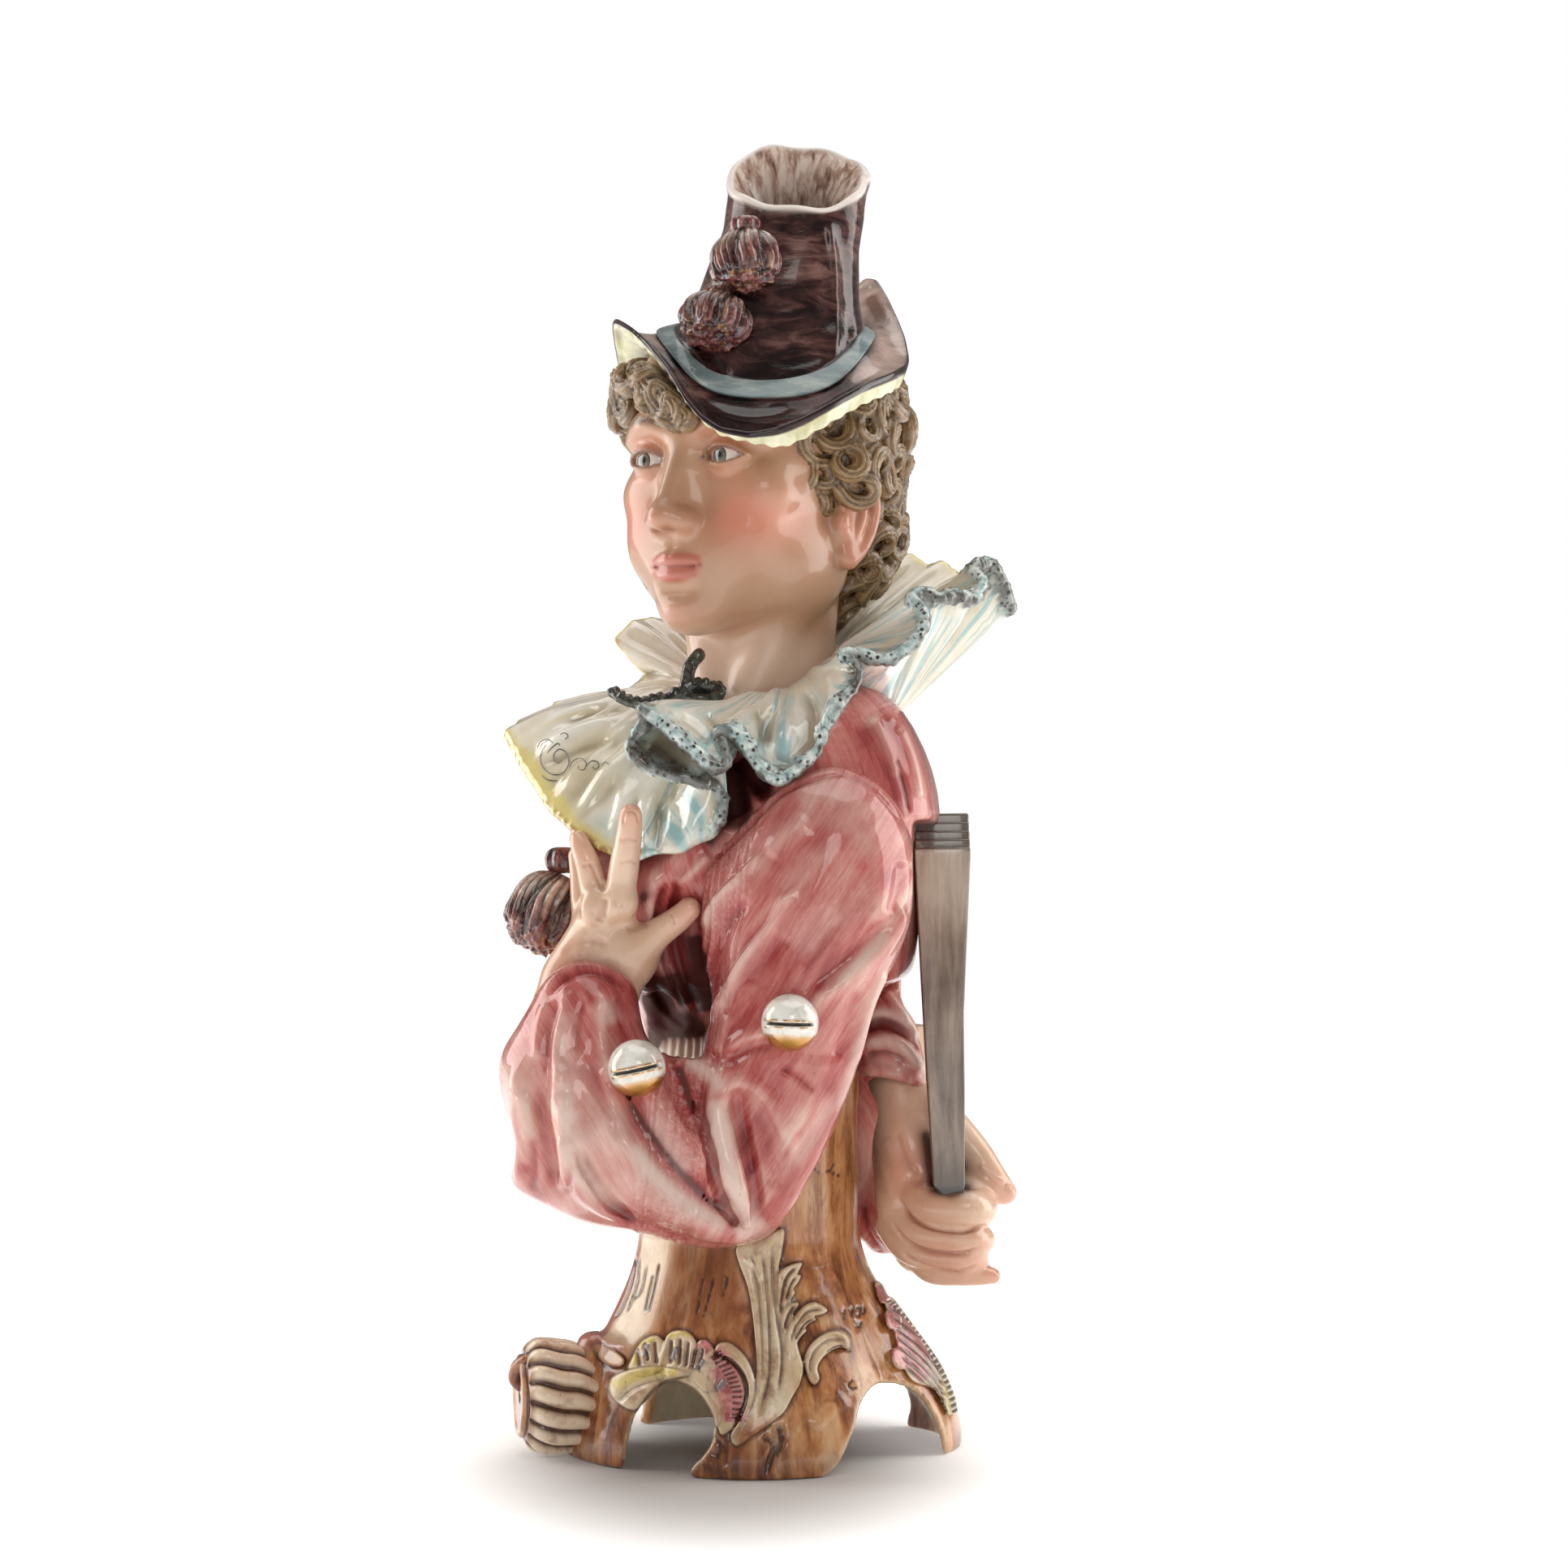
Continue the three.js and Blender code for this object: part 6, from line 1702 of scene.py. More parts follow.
def buildClapper(material):
    for k in range(clapper["leaves"]):
        y = clapper["near"] + k * clapper["thick"]
        top = 1044 - 10.5 * k
        corners = [(1126, top + 1), (1196 - 0.6 * k, top), (1196 - 0.6 * k, 1060), (1188, 1250), (1189, 1340),
                   (1189, 1462), (1186, 1474), (1161, 1474), (1150, 1462), (1142, 1340), (1134, 1200), (1128, 1080)]
        flat = [placeOf(px, py, y) for px, py in corners]
        mesh = bpy.data.meshes.new("clapper_leaf")
        points = [tuple((p + rowShift) * 0.001) for p in flat]
        points += [(x, v + (clapper["thick"] - 0.25) * 0.001, z) for x, v, z in points]
        count = len(corners)
        faces = [tuple(range(count)), tuple(range(2 * count - 1, count - 1, -1))]
        faces += [(i, i + count, (i + 1) % count + count, (i + 1) % count) for i in range(count)]
        mesh.from_pydata(points, [], faces)
        leaf = bpy.data.objects.new("clapper_leaf_%d" % (k + 1), mesh)
        bpy.context.scene.collection.objects.link(leaf)
        bpy.ops.object.select_all(action="DESELECT")
        leaf.select_set(True)
        bpy.context.view_layer.objects.active = leaf
        bpy.ops.object.mode_set(mode="EDIT")
        bpy.ops.mesh.select_all(action="SELECT")
        bpy.ops.mesh.normals_make_consistent(inside=False)
        bpy.ops.mesh.bevel(offset=0.0014, segments=3)
        bpy.ops.object.mode_set(mode="OBJECT")
        rim = [1.0 if face.area < 2.0e-4 and abs(face.normal.y) > 0.1 and abs(face.normal.y) < 0.95 else 0.0
               for face in mesh.polygons]
        mesh.attributes.new("rim", "FLOAT", "FACE").data.foreach_set("value", rim)
        bpy.ops.object.shade_smooth_by_angle(angle=math.radians(40))
        finishPiece(leaf, material)


# Head in its own frame: x to the figure's left, -y to the front, middle of the neck at the origin
headPlace = dict(middle=(-14.0, -10.0), turn=math.radians(37))


def fromHead(points):
    c, s = math.cos(headPlace["turn"]), math.sin(headPlace["turn"])
    x, y = points[..., 0], points[..., 1]
    return np.stack([headPlace["middle"][0] + x * c + y * s, headPlace["middle"][1] + y * c - x * s,
                     points[..., 2]], -1)


face = dict(chin=438.0, nose=491.0, brow=544.0, eye=530.0, mouth=473.0, eyeSpread=25.5, eyeRadius=12.2,
            eyeForward=-53.5)


def buildHead(material, eyeMaterial):
    clay = Clay([-74, -100, 392], [74, 46, 602], 1.1)
    eye, nose, mouth, chin = face["eye"], face["nose"], face["mouth"], face["chin"]
    clay.egg([0, 10, 558], [62, 73, 62], 4)
    clay.egg([0, -20, 522], [54, 48, 60], 14)
    clay.egg([0, -28, 570], [50, 37, 34], 14)
    clay.egg([0, -24, 476], [45, 42, 36], 14)
    clay.egg([0, -56, chin + 14], [19, 17, 15], 14)
    for side in (1, -1):
        clay.egg([side * 33, -44, eye - 18], [20, 17, 16], 12)
        clay.egg([side * 25, -48, nose - 4], [21, 18, 22], 14)
        clay.egg([side * 40, -10, 474], [14, 30, 22], 16)
        clay.limb([[side * 8, -63, 545, 5.5], [side * 26, -64, 549, 6], [side * 42, -52, 543, 5.5]], 11)
        clay.egg([side * face["eyeSpread"], -71, eye + 1], [14, 11, 9], 9, cut=True)
    clay.egg([0, -55, mouth + 4], [27, 18, 25], 12)
    # Nose: a broad wedge under a slim ridge
    clay.limb([[0, -56, eye + 14, 9], [0, -58, eye + 2, 10], [0, -61, eye - 12, 12.5], [0, -64, nose + 8, 13.5]], 7)
    clay.limb([[0, -62, eye + 14, 6], [0, -65, eye + 3, 5.4], [0, -73, eye - 13, 5.8], [0, -80, nose + 10, 6.6]], 6)
    clay.egg([0, -81, nose + 7], [8.8, 9.0, 7.4], 5)
    for side in (1, -1):
        clay.egg([side * 9.4, -74, nose + 5], [6.0, 9.0, 6.4], 5)
        clay.egg([side * 5.0, -82, nose - 1.4], [2.8, 4.6, 2.2], 2, cut=True)
    clay.limb([[0, -77, nose - 4, 2.0], [0, -77, mouth + 9, 2.0]], 4, cut=True)
    # Lips, closed and calm
    clay.limb([[-18, -63, mouth + 0.6, 1.6], [-10, -70, mouth + 2.8, 2.9], [-3.6, -73.4, mouth + 3.8, 3.3],
               [0, -73.8, mouth + 3.2, 3.2], [3.6, -73.4, mouth + 3.8, 3.3], [10, -70, mouth + 2.8, 2.9],
               [18, -63, mouth + 0.6, 1.6]], 4, 24)
    clay.limb([[-15, -64, mouth - 1.8, 1.8], [-8, -69.6, mouth - 4.0, 3.4], [0, -71.8, mouth - 4.6, 3.9],
               [8, -69.6, mouth - 4.0, 3.4], [15, -64, mouth - 1.8, 1.8]], 4, 24)
    clay.limb([[-18, -66, mouth + 0.3, 0.6], [-9, -74.4, mouth - 0.4, 0.8], [0, -77.0, mouth - 0.8, 0.8],
               [9, -74.4, mouth - 0.4, 0.8], [18, -66, mouth + 0.3, 0.6]], 1.2, 24, cut=True)
    clay.egg([0, -74, mouth - 13], [13, 4, 3.6], 6, cut=True)
    # Eyeball sockets, lids and lid creases
    ex, ey, er = face["eyeSpread"], face["eyeForward"], face["eyeRadius"]
    for side in (1, -1):
        clay.egg([side * ex, ey, eye], [er + 1.6, er + 1.6, er + 1.6], 3)
        for z0, lift, radius in ((0, 5.6, 1.9), (0, -4.6, 1.5)):
            arc = []
            for u in np.linspace(-1, 1, 13):
                x = u * 12.6
                z = lift * (1 - abs(u) ** 2.2) - 0.8 * (u < 0) * abs(u) + (0.6 * u if u > 0 else 0)
                depth = math.sqrt(max((er + 1.3) ** 2 - x * x * 0.92 - z * z, 4))
                arc.append([side * (ex + x), ey - depth, eye + z, radius])
            clay.rods(arc, 1.2)
        clay.limb([[side * (ex - 11), -66, eye + 5, 1.2], [side * (ex - 3), -69.5, eye + 9.6, 1.6],
                   [side * (ex + 7), -66, eye + 8.6, 1.5], [side * (ex + 14), -58, eye + 3, 1.2]], 3, cut=True)
        # The ball itself is another piece, so its bed is cut between the lids
        part, x, y, z = clay.window([side * ex - 16, ey - 22, eye - 9], [side * ex + 16, ey + 8, eye + 9])
        u = (x - side * ex) * side / 12.0
        top = 4.7 * (1 - np.abs(u) ** 2.2) - 0.5
        low = -3.7 * (1 - np.abs(u) ** 2.2) + 0.4
        opening = np.maximum((z - eye) - top, low - (z - eye)) * 0.8 + 0 * y
        ball = np.sqrt((x - side * ex) ** 2 + (y - ey) ** 2 + (z - eye) ** 2) - (er - 0.5)
        clay.cut(part, np.maximum(opening, np.maximum(-ball, y - ey + 2)), 0.5)
    # Neck with its two long muscles, and the ears
    clay.limb([[-7, 14, 392, 46], [-6, 12, 412, 41], [-3, 10, 436, 38], [2, 8, 466, 38], [2, 8, 490, 38]], 10)
    for side in (1, -1):
        clay.limb([[side * 38, 8, 480, 7], [side * 29, -12, 448, 7], [side * 12, -24, 410, 7]], 14)
        clay.egg([side * 56, 9, 498], [7, 13, 21], 9, tilt=0)
        clay.egg([side * 63.5, 8, 500], [5, 7.5, 12], 5, cut=True)
        clay.limb([[side * 59, -2, 507, 2.4], [side * 61.5, -1, 516, 2.8], [side * 63, 7, 522, 3.0],
                   [side * 63.5, 16, 519, 3.0], [side * 63, 21, 507, 2.9], [side * 62, 18, 493, 2.8],
                   [side * 60, 11, 482, 3.2], [side * 58, 4, 477, 4.2]], 2.4, 24)
        clay.limb([[side * 59, 14, 513, 2.0], [side * 60, 13, 501, 2.4], [side * 59, 8, 490, 2.4]], 2.8)
        clay.egg([side * 58, -2.5, 498], [3.4, 3.4, 5.0], 3)
        clay.egg([side * 57, 3, 480], [4.4, 6.0, 6.6], 3)
    form = clay.shape(2)
    paintHead(form)
    form.points = fromHead(form.points)
    underHat(form)
    addPiece("head", form, material)
    for side, name in ((1, "near"), (-1, "far")):
        bpy.ops.object.select_all(action="DESELECT")
        middle = fromHead(np.array([side * ex, ey, eye]))
        bpy.ops.mesh.primitive_uv_sphere_add(segments=64, ring_count=40, radius=er * 0.001)
        ball = bpy.context.object
        ball.name = "eye_" + name
        bpy.ops.object.shade_smooth()
        look = fromHead(np.array([side * ex - 3.5, ey - 30, eye - 0.4])) - middle
        look /= np.linalg.norm(look)
        spots = np.array([v.co[:] for v in ball.data.vertices])
        seen = (spots / (er * 0.001)) @ look
        ball.data.attributes.new("gaze", "FLOAT", "POINT").data.foreach_set("value", seen.astype(np.float32))
        for v in ball.data.vertices:
            v.co = v.co + Vector((middle + rowShift) * 0.001)
        finishPiece(ball, eyeMaterial)


# The top of the head is pressed down to stay inside the hat
def underHat(form, drop=8.0):
    level, out = skirtLevel(form.points[:, 0], form.points[:, 1], ringAt(hat["bandFoot"], 360, 7),
                            ringAt(picked(hat["edge"]) + hat["edgeFar"], 360, 6))
    top = level - drop
    over = form.points[:, 2] - top
    form.points[:, 2] = np.where(over > -6, top - 6 * np.exp(-np.maximum(over + 6, 0) / 6), form.points[:, 2])


def paintHead(form):
    x, y, z = form.points.T
    eye, nose, mouth = face["eye"], face["nose"], face["mouth"]
    ahead = smoothStep(0, -30, y)
    side = np.abs(x)

    def spot(u, v, w, h, power=2):
        return np.exp(-(((side - u) / w) ** 2 + ((z - v) / h) ** 2) ** (power / 2)) * ahead

    form.masks["blush"] = np.clip(
        1.1 * spot(38, nose + 6, 18, 16) + 0.35 * spot(0, nose + 6, 9, 8) + 0.5 * spot(26, eye + 9, 15, 6)
        + 0.35 * spot(0, 448, 16, 8) + 0.35 * spot(26, eye - 9, 14, 4), 0, 1)
    ear = smoothStep(55, 60, side) * smoothStep(528, 500, z) * smoothStep(468, 476, z) * smoothStep(-16, -4, y)
    form.masks["blush"] = np.clip(form.masks["blush"] + 0.55 * ear, 0, 1)
    bow = mouth + 3.4 - 1.2 * np.exp(-(x / 3) ** 2) - 3.0 * (side / 20) ** 2
    upper = smoothStep(4.8, 2.6, np.abs(z - bow)) * smoothStep(19, 15.5, side)
    lower = smoothStep(5.4, 3.4, np.abs(z - (mouth - 4.0 + 3.2 * (side / 17) ** 2))) * smoothStep(17, 13, side)
    front = smoothStep(-60, -63, y)
    form.masks["lip"] = np.clip(upper + lower, 0, 1) * front
    form.masks["seam"] = 0.8 * np.exp(-((z - (mouth - 0.5 + 0.7 * side / 20)) / 0.75) ** 2) * smoothStep(19.5, 16, side) * front
    lineTop = eye + 5.2 * (1 - np.abs((side - face["eyeSpread"]) / 12.8).clip(0, 1) ** 2.2) - 0.4
    onEye = smoothStep(14.2, 12.4, np.abs(side - face["eyeSpread"]))
    form.masks["lash"] = np.exp(-((z - lineTop) / 0.9) ** 2) * onEye * front
    lineLow = eye - 4.4 * (1 - np.abs((side - face["eyeSpread"]) / 12.8).clip(0, 1) ** 2.2)
    form.masks["lash"] += 0.35 * np.exp(-((z - lineLow) / 0.8) ** 2) * onEye * front
    arch = 551 - ((side - 26) / 17) ** 2 * 3.2
    # The whole head is painted darker and warmer than the hands, as painted shade
    form.masks["tan"] = np.ones(len(x))
    brow = 1.25 * np.exp(-((z - arch) / 2.2) ** 2) * smoothStep(8, 12, side) * smoothStep(46, 36, side)
    hairs = 0.72 + 0.28 * np.sin(side * 2.6 + z * 1.7)
    form.masks["brow"] = brow * hairs * smoothStep(-40, -50, y)
    form.masks["hollow"] = np.clip(form.hollow(10), -1, 2)
    form.masks["neck"] = smoothStep(446, 424, z)
    form.masks["nostril"] = np.exp(-(((side - 5.2) / 3.2) ** 2 + ((z - (nose - 0.6)) / 2.0) ** 2)) * smoothStep(-76, -80, y)


# Hair: short curls, from the temples round the back and over the brow
hairCurls = dict(
    near=[(985, 520), (1018, 508), (1052, 498), (1086, 494), (1108, 514), (1118, 546), (1092, 540), (1062, 532),
          (1030, 538), (1000, 548), (972, 552), (978, 582), (1008, 580), (1042, 568), (1076, 574), (1104, 580),
          (1116, 606), (1086, 608), (1056, 604), (1024, 612), (994, 618), (1000, 650), (1028, 644), (1106, 632),
          (1086, 642), (1096, 664), (1076, 668), (1084, 690), (1060, 696), (1070, 716), (1048, 722)],
    brow=[(782, 466), (800, 458), (776, 484), (794, 480), (812, 472), (826, 482), (806, 494), (822, 500), (838, 496),
          (848, 510), (832, 514), (812, 512), (790, 500), (862, 520), (776, 504),
          (770, 476), (818, 488), (846, 526), (860, 530), (874, 526), (834, 502)])


# A lock: a thick strand that winds in and thins out, returned as x, y, z, radius
def lockLine(middle, normal, size, hand, start, wave):
    normal = Vector(normal).normalized()
    side = normal.cross(Vector((0.2, 0.1, 1))).normalized()
    other = normal.cross(side)
    t = np.linspace(0, 1, 22)
    heading = start + hand * wave * t ** 1.35
    path = np.cumsum(np.stack([np.cos(heading), np.sin(heading)], 1), 0) * size * 0.19
    path -= path.mean(0)
    spine = (np.array(middle) + np.outer(path[:, 0], side) + np.outer(path[:, 1], other)
             + np.outer(-1.4 + 5.6 * np.sin(t * 2.5), normal))
    return np.concatenate([spine, (5.0 * np.sin(0.5 + 2.4 * t) ** 0.7)[:, None]], 1)


def buildHair(material):
    clay = Clay([-108, -112, 444], [86, 92, 600], 1.15)

    def egg(spot, size, blend=8, cut=False):
        clay.egg(fromHead(np.array(spot, float)), size, blend, -headPlace["turn"], cut=cut)

    egg([0, 17, 546], [66, 68, 64])
    egg([0, 42, 500], [51, 42, 48])
    egg([0, 50, 472], [34, 22, 26])
    # The face, the cheeks and the ears stay free
    egg([0, -64, 512], [53, 57, 60], 5, True)
    for side in (1, -1):
        egg([side * 56, -34, 478], [30, 32, 36], 5, True)
        egg([side * 66, 13, 488], [13, 12, 17], 3, True)
        egg([side * 50, 6, 460], [26, 28, 26], 5, True)
    for side in (1, -1):
        egg([side * 60, 6, 526], [10, 20, 16], 6)
    egg([-56, -14, 552], [13, 20, 20], 5)
    egg([-52, -32, 564], [12, 15, 16], 5)
    egg([-47, -42, 560], [10, 10, 12], 4)
    for spot in ([-28, -60, 574], [-16, -65, 568], [-4, -67, 562], [7, -67, 559], [16, -65, 564], [28, -60, 570],
                 [40, -50, 566], [-42, -48, 570]):
        egg(spot, [12, 7, 11], 4)
    base = clay.far.copy()

    def inside(point):
        cell = np.clip(((point - clay.low) / clay.grain).astype(int), 0, np.array(base.shape) - 2)
        return base[tuple(cell)]

    def slope(point):
        return np.array([inside(point + step) - inside(point - step) for step in np.eye(3) * 3])

    rng = np.random.default_rng(7)
    taken = []
    for px, py in hairCurls["near"] + hairCurls["brow"]:
        for y in np.arange(-112, 70, 1.0):
            point = placeOf(px, py, y)
            if inside(point) < 0:
                taken.append(point)
                break
    near = len(taken)
    # The rest of the head is filled with locks of the same size
    for _ in range(5200):
        way = rng.normal(size=3)
        way /= np.linalg.norm(way)
        start = fromHead(np.array([0, 16, 530.0]))
        point = start + way * 120
        while inside(point) > 0 and np.linalg.norm(point - start) > 20:
            point = point - way * 1.5
        if point[2] < 452 or point[2] > 588 or len(taken) > 230:
            continue
        if inside(point) > 0.5 or min(np.linalg.norm(point - t) for t in taken) < 10.5:
            continue
        taken.append(point)
    locks = []
    for k, point in enumerate(taken):
        normal = slope(point)
        if np.linalg.norm(normal) < 1e-3:
            continue
        size = rng.uniform(9, 12) if k < len(hairCurls["near"]) else rng.uniform(5.5, 8) if k < near else rng.uniform(8, 11)
        locks.append(lockLine(point, normal, size, rng.choice([-1, 1]), rng.random() * 6.28, rng.uniform(3.2, 6.4)))
    for line in locks:
        clay.rods(line, 1.6)
    form = clay.shape(1)
    # Each point learns its lock, so that the strands and the brush marks follow it
    best = np.full(len(form.points), 1e9)
    across, along, tone = (np.zeros(len(form.points)) for _ in range(3))
    for k, line in enumerate(locks):
        spine = line[:, :3]
        way = np.gradient(spine, axis=0)
        beside = np.cross(way, spine.mean(0) - fromHead(np.array([0, 14, 520.0])))
        beside /= np.linalg.norm(beside, axis=1)[:, None] + 1e-9
        pick = np.nonzero(((form.points > spine.min(0) - 9) & (form.points < spine.max(0) + 9)).all(1))[0]
        if not len(pick):
            continue
        gap = form.points[pick][:, None, :] - spine[None]
        far = (gap ** 2).sum(2)
        nearest = far.argmin(1)
        value = far[np.arange(len(pick)), nearest]
        closer = value < best[pick]
        pick, nearest, value = pick[closer], nearest[closer], value[closer]
        best[pick] = value
        across[pick] = ((form.points[pick] - spine[nearest]) * beside[nearest]).sum(1)
        along[pick] = nearest / 22
        tone[pick] = k * 7.3
    form.masks["across"] = across
    form.masks["along"] = along
    form.masks["lock"] = tone
    form.push(0.55 * np.sin(across * 2.1 + tone) * smoothStep(8, 5, np.sqrt(best)))
    form.masks["hollow"] = np.clip(form.hollow(9), -1.5, 2.5)
    underHat(form, 9.5)
    addPiece("hair", form, material)


# Hands
frontHand = dict(
    back=[(745, 1098), (762, 1092), (784, 1098), (787, 1126), (786, 1142), (800, 1150), (803, 1168), (792, 1190),
          (784, 1208), (786, 1236), (760, 1256), (700, 1262), (656, 1246), (662, 1216), (670, 1190), (685, 1166),
          (703, 1138), (716, 1116), (728, 1104)],
    thumb=[[778, 1172, -92, 24], [796, 1160, -95, 22], [816, 1146, -98, 18.5], [836, 1132, -101, 16.5],
           [849, 1120, -102, 15]],
    index=[[768, 1118, -92, 20], [767, 1090, -97, 19.5], [770, 1062, -102, 18.5], [774, 1036, -107, 16.5],
           [777, 1010, -111, 14.5], [777.5, 1003, -112, 13.4]],
    middle=[[738, 1122, -88, 20], [731, 1092, -90, 17.5], [724, 1064, -91, 15.5], [716, 1044, -90, 13],
            [712, 1034, -88, 11]],
    ring=[[724, 1140, -78, 17], [718, 1110, -76, 15], [716, 1080, -76, 14], [712, 1054, -76, 12]])


# Rows of px, py, depth and half width in px become rods in mm
def pxLimb(rows, count=20):
    k = [(picture["distance"] + row[2]) / picture["focal"] for row in rows]
    return smoothLine([[*placeOf(*row[:3]), row[3] * s] for row, s in zip(rows, k)], count)


def buildFrontHand(material):
    clay = Clay([-136, -132, 228], [-34, -56, 362], 0.95)
    outline = smoothLine(frontHand["back"], 90, closed=True)
    clay.puffed(outline, -84, 15, 14, 4)
    clay.rods(pxLimb(frontHand["thumb"]), 7)
    clay.rods(pxLimb(frontHand["ring"]), 5)
    clay.rods(pxLimb(frontHand["middle"]), 5)
    clay.rods(pxLimb(frontHand["index"]), 4)
    # Knuckles and the ball of the thumb
    for px, py, y in ((766, 1112, -102), (736, 1118, -98)):
        clay.egg(placeOf(px, py, y), [8, 5, 8], 7)
    clay.egg(placeOf(776, 1180, -88), [14, 13, 16], 10)
    form = clay.shape(2)
    # Creases are carved in and painted darker as painted shade
    for line, width, height in (
            ([(740, 1160), (752, 1134), (764, 1112)], 8, 1.2), ([(708, 1180), (722, 1150), (736, 1124)], 8, 0.9),
            ([(746, 1104), (742, 1122), (736, 1138)], 6, -1.6), ([(727, 1060), (736, 1082), (745, 1100)], 3, -1.0),
            ([(762, 1064), (776, 1062), (788, 1066)], 2.4, -0.5), ([(762, 1036), (776, 1034), (788, 1038)], 2.4, -0.5),
            ([(826, 1124), (832, 1140)], 2.0, -0.7), ([(770, 1146), (786, 1142), (800, 1136)], 5, -0.8),
            ([(768, 1018), (769, 1004), (777, 999), (785, 1004), (786, 1016)], 1.6, -0.8),
            ([(690, 1178), (720, 1160), (752, 1166)], 6, -0.6), ([(716, 1066), (730, 1066)], 2.2, -0.5),
            ([(842, 1108), (852, 1104), (862, 1110), (863, 1122)], 1.6, -0.8)):
        stroke(form, line, width, height, "round", "crease" if height < 0 else "", 0.6)
    tips = [placeOf(777, 1000, -116), placeOf(852, 1116, -108), placeOf(712, 1034, -98), placeOf(690, 1200, -98)]
    form.masks["blush"] = sum(np.exp(-(np.linalg.norm(form.points - tip, axis=1) / 15) ** 2) for tip in tips)
    form.masks["hollow"] = np.clip(form.hollow(9), -1, 2)
    addPiece("hand_front", form, material)


backHand = dict(
    arm=[[58, 34, 216, 22], [60, 22, 204, 21], [62, 14, 192, 19]],
    back=[[62, 12, 186, 19], [66, 4, 168, 21], [70, -2, 150, 21]],
    thumb=[[78, 6, 186, 11], [92, -4, 172, 10], [103, -10, 160, 9], [112, -13, 148, 7.6], [119, -14, 139, 6.4]])


def buildBackHand(material):
    clay = Clay([26, -56, 66], [134, 62, 226], 1.0)
    clay.limb(backHand["arm"], 10)
    clay.limb(backHand["back"], 10)
    clay.egg([72, -8, 132], [22, 18, 26], 10)
    clay.egg([73, -6, 112], [15, 16, 18], 10)
    clay.limb(backHand["thumb"], 6)
    # Fingers curl round the grip one under the other, and the tips come back to the right
    rows = [(1150, 1488, 1216, 1490, 10.0), (1138, 1522, 1215, 1528, 8.8), (1134, 1546, 1210, 1552, 7.6)]
    for k, (px0, py0, px1, py1, radius) in enumerate(rows):
        start = placeOf(px0 - 34, py0 - 42 + 3 * k, -4)
        knuckle = placeOf(px0 - 10, py0 - 6, -26 + 2 * k)
        middle = placeOf((px0 + px1) / 2 + 6, (py0 + py1) / 2, -40 + 2 * k)
        end = placeOf(px1 - 8, py1, -30 + 2 * k)
        back = placeOf(px1 - 12, py1 + 1, -14 + 2 * k)
        clay.limb([[*start, radius + 2], [*knuckle, radius + 0.8], [*middle, radius], [*end, radius - 0.6],
                   [*back, radius - 1.4]], 2.4, 24)
    clay.limb([[*placeOf(1122, 1530, -6), 9], [*placeOf(1146, 1562, -20), 8], [*placeOf(1180, 1569, -28), 6.6],
               [*placeOf(1206, 1571, -28), 5.6], [*placeOf(1223, 1572, -26), 4.4]], 3, 24)
    clay.egg(placeOf(1196, 1468, -12), [14, 14, 10], 8)
    form = clay.shape(2)
    # Creases are carved in and painted darker as painted shade
    for line, width, height in (
            ([(1106, 1474), (1120, 1498), (1140, 1511), (1165, 1517), (1194, 1517), (1216, 1507)], 2.2, -2.2),
            ([(1097, 1503), (1112, 1525), (1136, 1539), (1165, 1544), (1190, 1544), (1211, 1534)], 2.2, -2.2),
            ([(1108, 1540), (1130, 1556), (1160, 1565), (1190, 1565), (1207, 1556)], 2.2, -2.0),
            ([(1090, 1400), (1102, 1430), (1120, 1456)], 7, 0.9), ([(1080, 1420), (1092, 1456), (1106, 1490)], 6, 0.8),
            ([(1104, 1392), (1116, 1424), (1134, 1450)], 4, -0.6),
            ([(1128, 1470), (1140, 1460), (1150, 1450)], 6, 0.9),
            ([(1206, 1434), (1222, 1448), (1240, 1458)], 3, 0.8),
            ([(1236, 1462), (1246, 1458), (1250, 1468)], 1.6, -0.8),
            ([(1212, 1562), (1226, 1560), (1230, 1570)], 1.6, -0.7)):
        stroke(form, line, width, height, "round", "crease" if height < 0 else "", 0.8)
    spots = [placeOf(1170, 1545, -34), placeOf(1120, 1440, -20), placeOf(1222, 1570, -24), placeOf(1240, 1465, -14)]
    form.masks["blush"] = sum(np.exp(-(np.linalg.norm(form.points - spot, axis=1) / 17) ** 2) for spot in spots)
    form.masks["hollow"] = np.clip(form.hollow(9), -1, 2)
    flat = pictureOf(form.points)
    form.masks["shade"] = smoothStep(1112, 1064, flat[:, 0]) * smoothStep(1510, 1430, flat[:, 1]) * 1.1
    grip = np.exp(-(nearLine(flat, [(1142, 1400), (1147, 1440), (1152, 1464), (1172, 1470), (1190, 1464)])[0] / 8) ** 2)
    form.masks["shade"] = np.clip(form.masks["shade"] + 1.3 * grip, 0, 1.3)
    addPiece("hand_back", form, material)


